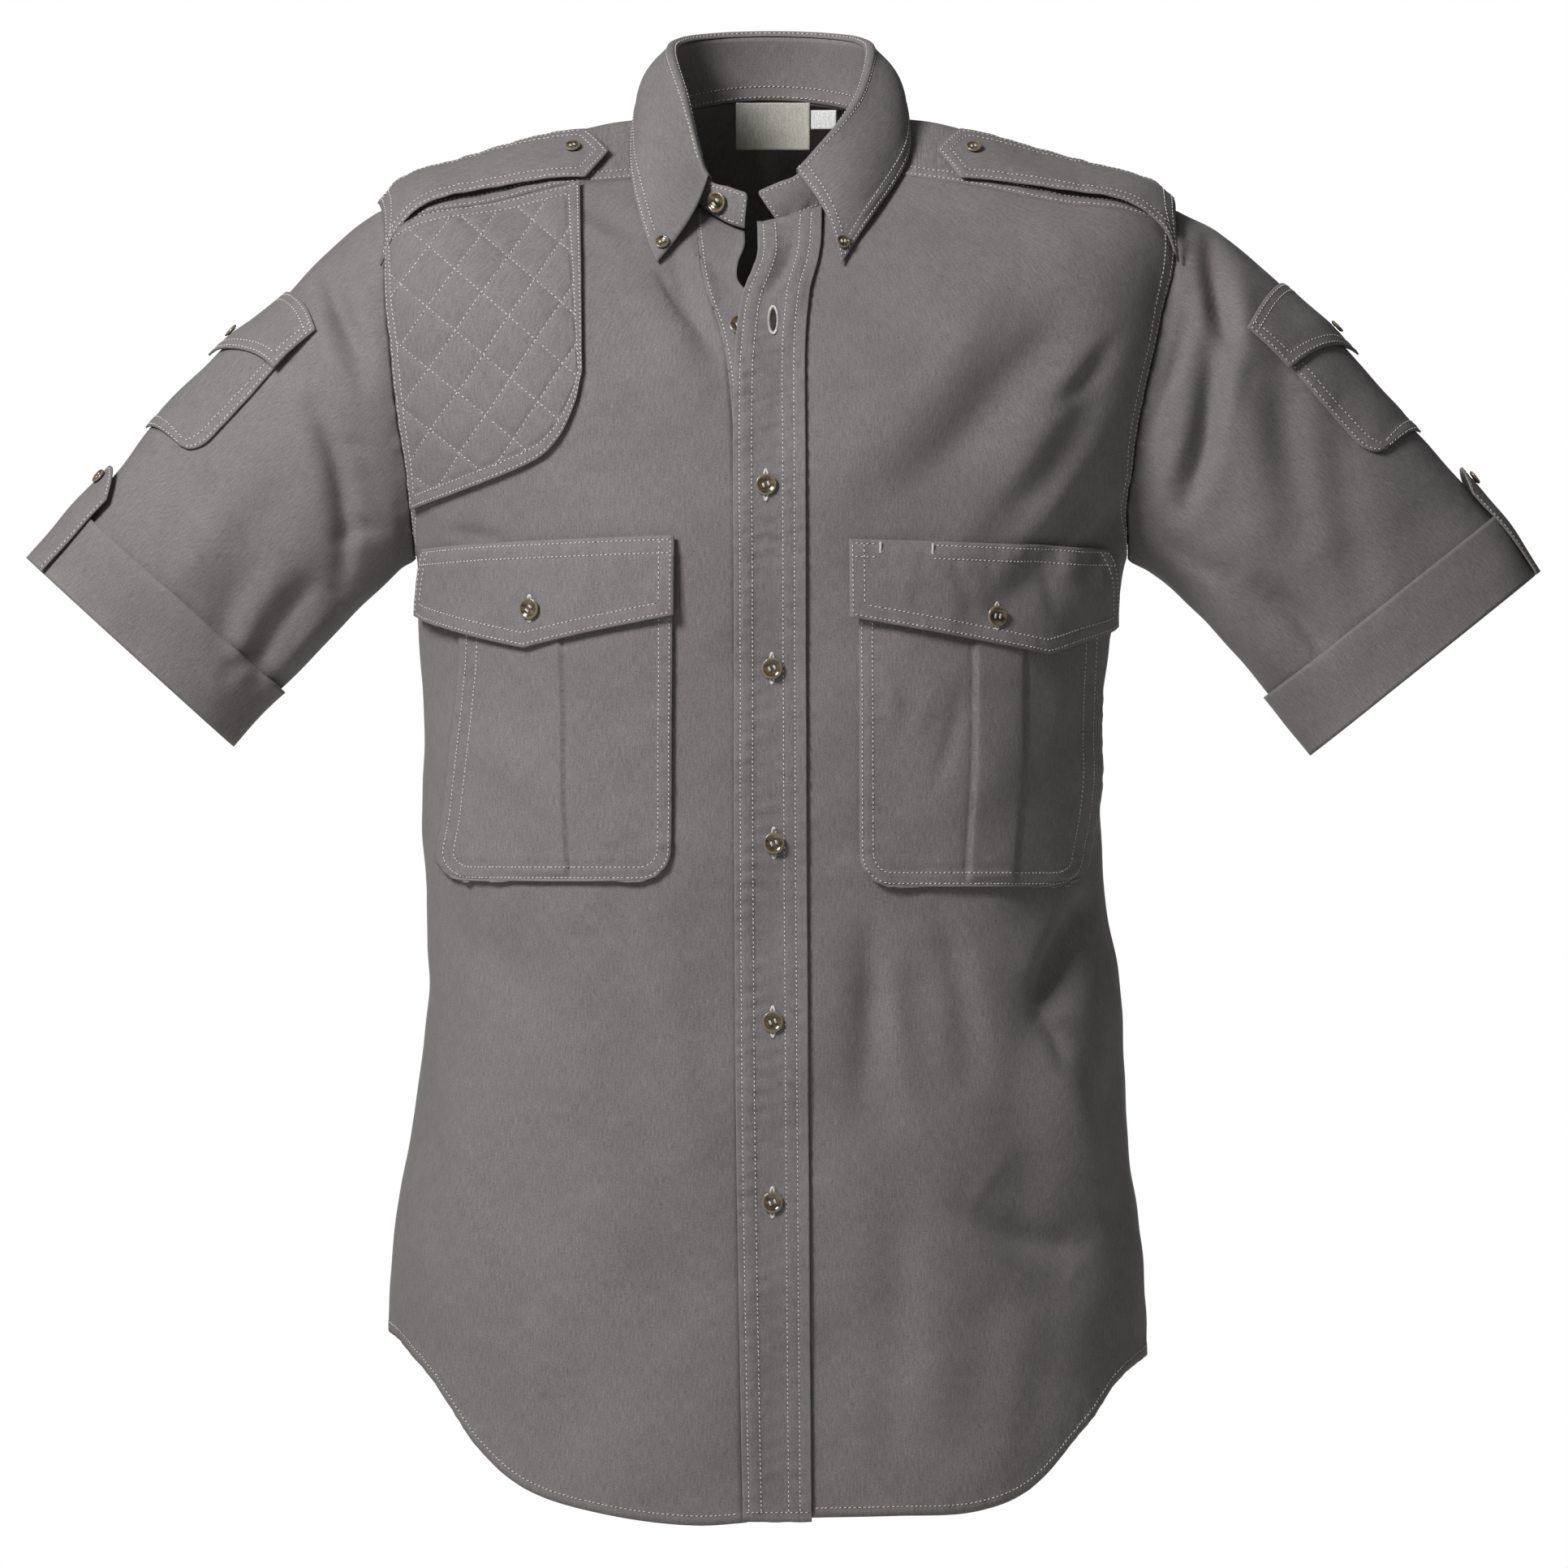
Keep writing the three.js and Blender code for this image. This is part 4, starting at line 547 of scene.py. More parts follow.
def on_front(x, z):
    return torso(*front_place(x, z))


def level_at(angle, z):
    shape = np.broadcast(angle, z).shape
    return solve(lambda at: torso_base(angle, at)[..., 2] - z, NECK_LEVEL, LOWEST_LEVEL, shape)


def on_top(x, y):
    """Points on the shoulders and the upper back, seen from above."""
    x, y = np.broadcast_arrays(np.asarray(x, float), np.asarray(y, float))

    def ring(at):
        r = row_at(TORSO, "level", at)
        return r, np.where(x < 0, r["right"], r["left"]), np.where(y < 0, r["front"], r["back"])

    def outside(at):
        r, half, deep = ring(at)
        return np.abs(x / half) ** r["square"] + np.abs(y / deep) ** r["square"] - 1

    level = solve(outside, NECK_LEVEL, ARMPIT, x.shape)
    r, half, deep = ring(level)
    s, c = power(x / half, r["square"] / 2), power(-y / deep, r["square"] / 2)
    return torso(np.degrees(np.arctan2(s, c)), level)


def armhole_place(side, turn):
    s = sind(turn)
    reach = np.where(s > 0, ARMHOLE["front_reach"], ARMHOLE["back_reach"])
    top, bottom = ARMHOLE["top"], ARMHOLE["bottom"]
    return side * (90 - reach * s), (top + bottom) / 2 + (top - bottom) / 2 * cosd(turn)


def front_seam_place(side, share):
    angle, level = armhole_place(side, ARMHOLE["front_seam"])
    bent = share ** YOKE["seam_bend"]
    return mix(side * YOKE["neck_angle"], angle, bent), mix(NECK_LEVEL, level, share)


def hem_at(angle):
    from_front = np.abs((angle + 540) % 360 - 180)
    from_side = np.where(from_front > 90, 180 - from_front, from_front)
    right, left = row_at(HEM_RIGHT, "angle", from_side)["z"], row_at(HEM_LEFT, "angle", from_side)["z"]
    return np.where(sind(angle) < 0, right, left)


def fill_patch(bottom, top, left, right, across, up):
    """Places between four curves of places; each curve is a pair of arrays."""
    s, t = across[None, :], up[:, None]
    out = []
    for k in range(2):
        b, tp, lf, rt = bottom[k], top[k], left[k], right[k]
        out.append((1 - t) * b[None] + t * tp[None] + (1 - s) * lf[:, None] + s * rt[:, None]
                   - (1 - s) * ((1 - t) * b[0] + t * tp[0]) - s * ((1 - t) * b[-1] + t * tp[-1]))
    return out


def edge_angle(level, column):
    """Angle on rings of an edge of the front overlap."""
    angle = np.zeros_like(level)
    for _ in range(14):
        x = row_at(OVERLAP, "z", torso_base(angle, level)[..., 2])[column]
        angle = angle_on_ring(level, x)
    return angle


# Sheets


class Sheet:
    """A grid of points on cloth, with outward directions; rows go along the first axis."""

    def __init__(self, points, normals):
        self.points = points
        self.normals = normals
        self.out = np.zeros(points.shape[:2])

    def lengths(self):
        """Distances along rows and along columns, from the first column and the first row."""
        across = np.linalg.norm(np.diff(self.points, axis=1), axis=-1)
        up = np.linalg.norm(np.diff(self.points, axis=0), axis=-1)
        return (np.pad(np.cumsum(across, 1), ((0, 0), (1, 0))),
                np.pad(np.cumsum(up, 0), ((1, 0), (0, 0))))

    def edges(self):
        """Distance of every point from each edge."""
        across, up = self.lengths()
        return {"first": across, "last": across[:, -1:] - across, "low": up, "high": up[-1:] - up}

    def near(self, *edges):
        """Distance of every point from the nearest of some edges, or of all."""
        gaps = self.edges()
        return np.minimum.reduce([gaps[edge] for edge in edges or gaps])

    def raised(self):
        return self.points + self.normals * self.out[..., None]

    def part(self, rows=slice(None), columns=slice(None)):
        """The same cloth over some of its rows and columns."""
        piece = Sheet(self.points[rows, columns], self.normals[rows, columns])
        piece.out = self.out[rows, columns]
        return piece

    def line(self, edge, distance, start=0.0, stop=0.0):
        """Points and directions along an edge, at a distance from it, without its ends."""
        gap = self.edges()[edge]
        high = self.raised()
        if edge in ("low", "high"):
            gap, points, normals = gap.T, high.transpose(1, 0, 2), self.normals.transpose(1, 0, 2)
        else:
            points, normals = high, self.normals
        path, ways = [], []
        for g, p, n in zip(gap, points, normals):
            if g[0] > g[-1]:
                g, p, n = g[::-1], p[::-1], n[::-1]
            path.append([np.interp(distance, g, p[:, k]) for k in range(3)])
            ways.append([np.interp(distance, g, n[:, k]) for k in range(3)])
        return trimmed(np.array(path), unit(np.array(ways)), start, stop)


def trimmed(path, ways, start, stop):
    """A line without its first and last millimetres."""
    s = length_along(path)
    keep = (s >= start) & (s <= s[-1] - stop)
    return path[keep], ways[keep]


GROOVE = {"depth": 0.34, "width": 0.75, "slope": 1.6}


def seam_relief(distance, seam):
    """Folded seam allowance under an edge, drawn in along its rows of stitches."""
    rows = ROWS[seam]
    height = RAISED[seam] * (1 - smoothstep(rows[-1], rows[-1] + GROOVE["slope"], distance))
    for row in rows:
        height = height - GROOVE["depth"] * bell(distance - row, GROOVE["width"])
    return height


def pucker(distance, along, seam, seed, lengths=(7, 19)):
    """Short waves across a seam, uneven along it."""
    rows = ROWS[seam]
    random = np.random.default_rng(seed)
    wave = np.zeros(np.broadcast(distance, along).shape)
    for _ in range(5):
        length, phase = random.uniform(*lengths), random.uniform(0, 6.3)
        lean = random.uniform(-0.5, 0.5)
        wave = wave + np.sin((along + lean * distance) * 2 * math.pi / length + phase)
    middle = (rows[0] + rows[-1]) / 2
    near = bell(distance - middle, rows[-1] + 2.5)
    return PUCKERS[seam] * near * wave / 2.2


def seam_waves(distance, along, seam, seed):
    """Relief and pucker of one seam."""
    return seam_relief(distance, seam) + pucker(distance, along, seam, seed)


# Meshes

# Every sheet that has been made, by its piece's name
made = {}


def mesh_of(bm, name):
    """A new mesh from a bmesh, which is freed."""
    mesh = bpy.data.meshes.new(name)
    bm.to_mesh(mesh)
    bm.free()
    return mesh


def new_object(name, mesh, material, replaces=()):
    old = bpy.data.objects.get(name)
    if old is not None:
        bpy.data.objects.remove(old)
    obj = bpy.data.objects.new(name, mesh)
    bpy.context.scene.collection.objects.link(obj)
    obj.data.materials.append(material_named(material))
    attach(obj, "root")
    if replaces:
        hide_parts(*replaces)
    return obj


WELD = 0.00002


def grid_mesh(name, points, uv, wear, wraps):
    """A mesh grid moved onto points in millimetres, with its UV map in metres."""
    rows, columns = points.shape[:2]
    bm = bmesh.new()
    bmesh.ops.create_grid(bm, x_segments=columns - 1, y_segments=rows - 1, size=1)
    mesh = mesh_of(bm, name)
    flat = np.empty(len(mesh.vertices) * 3)
    mesh.vertices.foreach_get("co", flat)
    flat = flat.reshape(-1, 3)
    j = np.rint((flat[:, 0] + 1) / 2 * (columns - 1)).astype(int)
    i = np.rint((flat[:, 1] + 1) / 2 * (rows - 1)).astype(int)
    mesh.vertices.foreach_set("co", (points[i, j] * MM).ravel())
    loops = np.empty(len(mesh.loops), int)
    mesh.loops.foreach_get("vertex_index", loops)
    layer = mesh.uv_layers.new(name="cloth")
    layer.uv.foreach_set("vector", (uv[i, j] * MM)[loops].ravel())
    mesh.attributes.new("wear", "FLOAT", "POINT").data.foreach_set("value", wear[i, j].ravel())
    if wraps:
        bm = bmesh.new()
        bm.from_mesh(mesh)
        bmesh.ops.remove_doubles(bm, verts=bm.verts, dist=WELD)
        bm.to_mesh(mesh)
        bm.free()
    mesh.update()
    return mesh


def face_out(mesh, way_at_middle):
    """Turns a sheet over if its middle face doesn't look outwards."""
    face = mesh.polygons[len(mesh.polygons) // 2]
    if face.normal.dot(Vector(way_at_middle)) < 0:
        mesh.flip_normals()


def grain_map(points, grain, across, up):
    """Places on the cloth in millimetres, so that threads run level and upright, or along the piece."""
    x, y, z = points[..., 0], points[..., 1], points[..., 2]
    if grain == "upright":
        return np.stack([np.degrees(np.arctan2(x * 0.68, -y)) % 360 * 3, z], -1)
    if grain == "top":
        return np.stack([x, y - z], -1)
    return np.stack([across, up], -1)


# Width of the rubbed band along an edge
WEAR_WIDTH = 5


def cloth_object(name, sheet, replaces, wraps=False, wear=None,
                 material="safari_cloth", thick=None, even=True, grain="own"):
    """A thin cloth piece on a sheet, with its wall on the inner side."""
    made[name] = sheet
    points = sheet.raised()
    finished = Sheet(points, sheet.normals)
    across, up = finished.lengths()
    uv = grain_map(points, grain, across, up)
    if wear is None:
        wear = bell(finished.near(), WEAR_WIDTH)
    mesh = grid_mesh(name, points, uv, wear, wraps)
    rows, columns = points.shape[:2]
    i, j = divmod(len(mesh.polygons) // 2, columns - 1)
    face_out(mesh, sheet.normals[min(i, rows - 1), j])
    mesh.shade_smooth()
    obj = new_object(name, mesh, material, replaces)
    wall = obj.modifiers.new("Wall", "SOLIDIFY")
    wall.thickness = thick or bpy.context.scene.shirt_cloth.wall
    wall.offset = -1
    wall.use_even_offset = even
    wall.thickness_clamp = 1.5
    return obj


# Stitching: places are gathered for each thread piece, and one small bead is repeated at them

stitch_store = {}
SLANT = 0.22
# Shares of the thread's radius: how high a bead lies and how flat it is, and the size of the dark dot painted as
# the shade in a needle hole
BEAD = {"high": 0.35, "flat": 0.8}
HOLE = {"wide": 1.15, "deep": 0.3}
TACK = {"pitch": 0.42, "length": 8.5, "width": 1.6, "slant": 0.12, "seed": 3}


def sew(group, line, pitch=None, seed=1):
    """Adds stitches along a line of points with their directions."""
    path, ways = line
    if len(path) < 2:
        return
    thread = bpy.context.scene.shirt_thread
    pitch = pitch or (thread.stitch + thread.gap) / MM
    s = length_along(path)
    count = int(s[-1] / pitch)
    if count < 1:
        return
    random = np.random.default_rng(seed)
    at = (np.arange(count) + 0.5) * s[-1] / count + random.normal(0, 0.07, count) * pitch

    def value(arrays, where):
        return np.stack([np.interp(where, s, arrays[:, k]) for k in range(3)], -1)

    middle = value(path, at)
    along = unit(value(path, at + 0.6) - value(path, at - 0.6))
    up = unit(value(ways, at))
    side = np.cross(up, along)
    along = unit(along + side * (SLANT + random.normal(0, 0.06, count))[:, None])
    add_threads(group, middle, along, up, value(path, at + pitch / 2))


def add_threads(group, middle, along, up, holes, reach=1.0):
    """Keeps beads for a thread piece; reach lengthens them."""
    stitch_store.setdefault(group, []).append((middle, along, up, holes, np.full(len(middle), reach)))


def sew_rows(group, sheet, rows, plans, step=0):
    """Rows of stitches along edges.

    A plan is an edge, its two ends, where None is the row's own distance, and a seed, which grows by a step from
    row to row.
    """
    for k, row in enumerate(rows):
        for edge, start, stop, seed in plans:
            ends = [row if end is None else end for end in (start, stop)]
            sew(group, sheet.line(edge, row, *ends), seed=seed + step * k)


def bead_reach(half):
    """How often the half length of a bead goes into a length in millimetres."""
    return half / (bpy.context.scene.shirt_thread.stitch / MM / 2)


def bead_template(maker, **form):
    """Vertices and faces of a small shape made by a bmesh operator."""
    bm = bmesh.new()
    maker(bm, radius=1, **form)
    bm.verts.ensure_lookup_table()
    co = np.array([v.co for v in bm.verts])
    faces = [[v.index for v in f.verts] for f in bm.faces]
    bm.free()
    return co, faces


def copies_mesh(name, template, places, axes):
    """One mesh of a template's copies, each at a place with its own three axes."""
    co, faces = template
    points = places[:, None, :] + np.einsum("vk,nkd->nvd", co, axes)
    size = len(co)
    mesh = bpy.data.meshes.new(name)
    index = [[n * size + v for v in face] for n in range(len(places)) for face in faces]
    mesh.from_pydata((points.reshape(-1, 3) * MM).tolist(), [], index)
    mesh.shade_smooth()
    mesh.update()
    return mesh


def make_stitches(group):
    """Thread beads of one group, and near-black dots painted as the shade in their needle holes, as two pieces.
    """
    parts = stitch_store.get(group, [])
    if not parts:
        raise RuntimeError(f"no stitches were sewn for {group}")
    middle, along, up, holes, reach = (np.concatenate([part[k] for part in parts]) for k in range(5))
    thread = bpy.context.scene.shirt_thread
    side = unit(np.cross(up, along))
    up = np.cross(along, side)
    length, radius = thread.stitch / MM / 2, thread.radius / MM
    bead = bead_template(bmesh.ops.create_icosphere, subdivisions=1)
    axes = np.stack([along * (length * reach)[:, None], side * radius, up * radius * BEAD["flat"]], 1)
    mesh = copies_mesh(f"stitches_{group}", bead, middle + up * radius * BEAD["high"], axes)
    new_object(f"stitches_{group}", mesh, "stitch_thread")
    # Near-black dots painted as the shade in the needle holes, laid just above the cloth
    dot = bead_template(bmesh.ops.create_uvsphere, u_segments=4, v_segments=2)
    axes = np.stack([along * radius, side * radius * HOLE["wide"], up * radius * HOLE["deep"]], 1)
    mesh = copies_mesh(f"needle_holes_{group}", dot, holes + up * 0.02, axes)
    new_object(f"needle_holes_{group}", mesh, "needle_hole")


def bar_tack(group, centre, along, up):
    """A dense bar of thread across a stress point."""
    length = TACK["length"]
    count = int(length / TACK["pitch"])
    at = np.linspace(-length / 2, length / 2, count)
    random = np.random.default_rng(TACK["seed"])
    side = unit(np.cross(up, along))
    middle = centre + along * at[:, None] + side * random.normal(0, 0.08, count)[:, None]
    ways = unit(side + along * TACK["slant"] * np.where(np.arange(count) % 2, 1, -1)[:, None])
    add_threads(group, middle, ways, np.tile(up, (count, 1)), middle - up * 0.3, bead_reach(TACK["width"] / 2))


def buttonhole(group, sheet, x, z, length, gape=0.8):
    """Close thread all round a slit, laid on a sheet at a place of the front view."""
    turns = np.linspace(0, 2 * math.pi, 60, endpoint=False)
    half, wide = length / 2 - 0.6, gape / 2 + 0.9
    ring, ups = view_line(sheet, np.stack([x + wide * np.sin(turns), z + half * np.cos(turns)], -1))
    outward = np.stack([np.sin(turns), np.zeros_like(turns), np.cos(turns) * 0.5], -1)
    ways = unit(outward - ups * (outward * ups).sum(-1)[:, None])
    ring = ring + ups * 0.25
    add_threads(group, ring, ways, ups, ring - ups * 0.4, bead_reach(0.9))
    return half


# Materials


def material_named(name):
    """A material of the scene, painted the first time that it is asked for."""
    material = bpy.data.materials.get(name)
    if material is None:
        material = bpy.data.materials.new(name)
        material.use_nodes = True
        tree = material.node_tree
        PAINTERS[name](tree, tree.nodes["Principled BSDF"])
    return material


def link(tree, a, b):
    tree.links.new(a, b)


def set_inputs(node, **values):
    """Sets a node's sockets; an underscore in a key stands for a space in a socket's name."""
    for key, value in values.items():
        node.inputs[key.replace("_", " ")].default_value = value


def object_place(tree):
    return tree.nodes.new("ShaderNodeTexCoord").outputs["Object"]


def noise_node(tree, vector, scale, detail=2.0, rough=0.5):
    node = tree.nodes.new("ShaderNodeTexNoise")
    set_inputs(node, Scale=scale, Detail=detail, Roughness=rough)
    link(tree, vector, node.inputs["Vector"])
    return node.outputs["Fac"]


def math_node(tree, operation, a, b):
    node = tree.nodes.new("ShaderNodeMath")
    node.operation = operation
    for socket, value in zip(node.inputs, (a, b)):
        if isinstance(value, (int, float)):
            socket.default_value = value
        else:
            link(tree, value, socket)
    return node.outputs[0]


def scaled_vector(tree, vector, scale):
    node = tree.nodes.new("ShaderNodeMapping")
    node.inputs["Scale"].default_value = scale
    link(tree, vector, node.inputs["Vector"])
    return node.outputs["Vector"]


def node_group(name, outputs, wire):
    """A node group with a place as its input, wired the first time that it is asked for."""
    tree = bpy.data.node_groups.get(name)
    if tree is None:
        tree = bpy.data.node_groups.new(name, "ShaderNodeTree")
        tree.interface.new_socket("Place", in_out="INPUT", socket_type="NodeSocketVector")
        for output in outputs:
            tree.interface.new_socket(output, in_out="OUTPUT", socket_type="NodeSocketFloat")
        wire(tree, tree.nodes.new("NodeGroupInput").outputs["Place"], tree.nodes.new("NodeGroupOutput"))
    return tree


def wire_weave(tree, inside, outside):
    """Threads of a fine twill: a height and a light and dark mask, from a map in metres."""
    warp = noise_node(tree, scaled_vector(tree, inside, (2300, 800, 1)), 1, 2.0)
    weft = noise_node(tree, scaled_vector(tree, inside, (750, 2100, 1)), 1, 2.0)
    slub = noise_node(tree, scaled_vector(tree, inside, (1300, 160, 1)), 1, 1.0)
    grain = noise_node(tree, scaled_vector(tree, inside, (1500, 1500, 1)), 1, 1.0)
    twill = tree.nodes.new("ShaderNodeTexWave")
    twill.bands_direction = "DIAGONAL"
    set_inputs(twill, Scale=0.5, Distortion=1.2)
    link(tree, scaled_vector(tree, inside, (1500, 1100, 1)), twill.inputs["Vector"])
    threads = math_node(tree, "ADD", warp, weft)
    height = math_node(tree, "MULTIPLY_ADD", twill.outputs["Fac"], 0.25)
    link(tree, threads, height.node.inputs[2])
    link(tree, height, outside.inputs["Height"])
    total = math_node(tree, "ADD", math_node(tree, "ADD", threads, slub), grain)
    shade = math_node(tree, "MULTIPLY", total, 0.25)
    link(tree, shade, outside.inputs["Shade"])


def wire_fade(tree, inside, outside):
    """Uneven fading of dyed cotton, as a light and dark mask over a place in metres."""
    broad = noise_node(tree, inside, 9, 3.0)
    small = noise_node(tree, inside, 85, 3.0, 0.65)
    total = math_node(tree, "MULTIPLY", math_node(tree, "ADD", broad, small), 0.5)
    link(tree, total, outside.inputs["Shade"])


def group_node(tree, group, vector):
    node = tree.nodes.new("ShaderNodeGroup")
    node.node_tree = group
    link(tree, vector, node.inputs["Place"])
    return node


def colour_mix(tree, factor, a, b, blend="MIX"):
    node = tree.nodes.new("ShaderNodeMix")
    node.data_type = "RGBA"
    node.blend_type = blend
    for socket, value in ((node.inputs[0], factor), (node.inputs[6], a), (node.inputs[7], b)):
        if isinstance(value, (int, float)):
            socket.default_value = value
        elif isinstance(value, (tuple, list)):
            socket.default_value = (*value[:3], 1)
        else:
            link(tree, value, socket)
    return node.outputs[2]


def paint_cloth(tree, shader, base):
    """Washed cotton twill in a base colour, for the shirt and for its tags."""
    uv = tree.nodes.new("ShaderNodeUVMap")
    uv.uv_map = "cloth"
    place = object_place(tree)
    weave = group_node(tree, node_group("fine_twill", ("Height", "Shade"), wire_weave), uv.outputs["UV"])
    fade = group_node(tree, node_group("washed_fade", ("Shade",), wire_fade), place)
    contrast = math_node(tree, "MULTIPLY_ADD", weave.outputs["Shade"], 4.0)
    contrast.node.inputs[2].default_value = -1.5
    colour = colour_mix(tree, contrast, shaded(base, 0.70), shaded(base, 1.30))
    faded = math_node(tree, "MULTIPLY_ADD", fade.outputs["Shade"], 0.5)
    faded.node.inputs[2].default_value = 0.75
    tone = tree.nodes.new("ShaderNodeCombineColor")
    for socket in tone.inputs[:3]:
        link(tree, faded, socket)
    colour = colour_mix(tree, 1.0, colour, tone.outputs[0], "MULTIPLY")
    wear = tree.nodes.new("ShaderNodeAttribute")
    wear.attribute_name = "wear"
    patchy = math_node(tree, "MULTIPLY", wear.outputs["Fac"], noise_node(tree, place, 240, 2.0))
    rubbed = math_node(tree, "MULTIPLY", patchy, 0.35)
    colour = colour_mix(tree, rubbed, colour, shaded(base, 1.5))
    link(tree, colour, shader.inputs["Base Color"])
    set_inputs(shader, Roughness=0.88, Specular_IOR_Level=0.25, Sheen_Weight=0.08, Sheen_Roughness=0.5)
    bump, soft = (tree.nodes.new("ShaderNodeBump") for _ in range(2))
    set_inputs(bump, Strength=0.35, Distance=0.00025)
    set_inputs(soft, Strength=0.25, Distance=0.0012)
    link(tree, weave.outputs["Height"], bump.inputs["Height"])
    link(tree, noise_node(tree, place, 150, 3.0, 0.6), soft.inputs["Height"])
    link(tree, bump.outputs["Normal"], soft.inputs["Normal"])
    link(tree, soft.outputs["Normal"], shader.inputs["Normal"])


def shaded(colour, share):
    return tuple(min(v * share, 1) for v in colour)


def paint_plain(tree, shader, dark, light, spots, detail, rough):
    """A colour that wanders between two others, in spots as many to the metre as given."""
    colour = colour_mix(tree, noise_node(tree, object_place(tree), spots, detail), dark, light)
    link(tree, colour, shader.inputs["Base Color"])
    set_inputs(shader, Roughness=rough)


def paint_thread(tree, shader):
    base = bpy.context.scene.shirt_thread.colour
    paint_plain(tree, shader, shaded(base, 0.6), shaded(base, 1.3), 700, 2.0, 0.6)


def paint_horn(tree, shader):
    settings = bpy.context.scene.shirt_buttons
    cloud = noise_node(tree, scaled_vector(tree, object_place(tree), (1, 1, 2.2)), 160, 3.0, 0.6)
    spread = tree.nodes.new("ShaderNodeMapRange")
    set_inputs(spread, From_Min=0.36, From_Max=0.66)
    link(tree, cloud, spread.inputs["Value"])
    colour = colour_mix(tree, spread.outputs["Result"], tuple(settings.dark), tuple(settings.light))
    pale = tree.nodes.new("ShaderNodeAttribute")
    pale.attribute_name = "wear"
    colour = colour_mix(tree, pale.outputs["Fac"], colour, tuple(settings.rim))
    link(tree, colour, shader.inputs["Base Color"])
    set_inputs(shader, Roughness=0.16, Coat_Weight=0.6, Coat_Roughness=0.06)


PAINTERS = {
    "safari_cloth": lambda tree, shader: paint_cloth(tree, shader, bpy.context.scene.shirt_cloth.colour),
    "label_weave": lambda tree, shader: paint_cloth(tree, shader, bpy.context.scene.shirt_cloth.label_colour),
    "tab_weave": lambda tree, shader: paint_cloth(tree, shader, bpy.context.scene.shirt_cloth.tab_colour),
    "stitch_thread": paint_thread,
    # Painted shade: near-black dots and discs that stand for the shade in needle holes, button holes and the open
    # buttonhole
    "needle_hole": lambda tree, shader: paint_plain(tree, shader, PAINTED_HOLE_SHADE_DARK, PAINTED_HOLE_SHADE_LIGHT, 500, 1.0, 0.95),
    "glossy_horn": paint_horn,
    "pale_floor": lambda tree, shader: paint_plain(tree, shader, FLOOR_DARK, FLOOR_LIGHT, 3, 2.0, 0.8),
}
# Near-black colours of the painted hole shade
PAINTED_HOLE_SHADE_DARK, PAINTED_HOLE_SHADE_LIGHT = (0.012, 0.011, 0.010), (0.05, 0.046, 0.043)
FLOOR_DARK, FLOOR_LIGHT = (0.78, 0.78, 0.77), (0.84, 0.84, 0.83)


# Body panels


def front_sheet(side, column, lap):
    """Front of one side, from its middle edge, moved by an angle, to the side seam, from the hem up."""
    size = bpy.context.scene.shirt_cloth
    across, rise, fall = steps(size.front_columns), steps(size.rise_rows), steps(size.fall_rows)[:-1]
    top_level = NECK_LEVEL - SEAM

    def middle(level):
        return edge_angle(level, column) + lap

    start = middle(np.array([top_level]))[0]
    on_neck = across <= 0.5
    share = np.clip((across - 0.5) * 2, 0, 1)
    seam_angle, seam_level = front_seam_place(side, share)
    top = (np.where(on_neck, mix(start, side * YOKE["neck_angle"], across * 2), seam_angle - side * SEAM_ANGLE),
           np.where(on_neck, top_level, seam_level - SEAM))
    bottom_start = middle(np.array([float(ARMPIT)]))[0]
    side_angle = side * 90
    bottom = (mix(bottom_start, side_angle, across), np.full_like(across, ARMPIT))
    levels = mix(ARMPIT, top_level, rise)
    left = (middle(levels), levels)
    turns = rise_turns(ARMHOLE["front_seam"], rise)
    right = armhole_place(side, turns)
    right = tuple(np.append(r[:-1], t[-1]) for r, t in zip(right, top))
    angle, level = fill_patch(bottom, top, left, right, across, rise)
    hem = hem_at(mix(bottom_start, side_angle, across))
    low_level = mix(hem[None, :], ARMPIT, fall[:, None])
    low_angle = mix(middle(low_level), side_angle, across[None, :])
    angle, level = np.concatenate([low_angle, angle]), np.concatenate([low_level, level])
    at_side = (np.abs(np.abs(angle) - 90) < 1e-6) & (level <= ARMPIT + 1e-6)
    angle = np.where(at_side, angle - side * SEAM_ANGLE, angle)
    return Sheet(*torso(angle, level)), len(fall)


RISE_SHARE = 0.6


def rise_turns(seam, share):
    even = np.degrees(np.arccos(mix(-1, cosd(seam), share)))
    return mix(mix(180, seam, share), even, RISE_SHARE)


def armhole_rows(sheet, armpit_row, edge):
    """Distance from the armhole, which is an edge only above the armpit."""
    gap = sheet.edges()[edge]
    up = sheet.edges()["low"]
    below = up[armpit_row:armpit_row + 1] - up
    return np.where(below > 0, np.hypot(gap, below * 1.5) + below, gap)


def build_fronts():
    for side, key, column in ((-1, "right", "stand_from"), (1, "left", "left_edge")):
        sheet, armpit_row = front_sheet(side, column, STAND_LAP if side < 0 else 0)
        gaps = sheet.edges()
        seam_gap = armhole_rows(sheet, armpit_row, "last")
        sheet.out += seam_waves(seam_gap, gaps["low"], "armhole", 11)
        sheet.out += seam_waves(gaps["low"], gaps["first"], "hem", 12)
        sheet.out *= smoothstep(0, 3, gaps["first"])
        wear = np.maximum(bell(seam_gap, 6), bell(gaps["low"], 4))
        cloth_object(f"cloth_front_{key}", sheet, [f"front_{key}"], wear=wear, grain="upright")
        upper = sheet.part(rows=slice(armpit_row, None))
        for row in ROWS["armhole"]:
            sew(f"front_{key}", upper.line("last", row, 2, 1), seed=int(row * 10))
        sew_rows(f"front_{key}", sheet, ROWS["hem"], [("low", 4, 1, 21)])


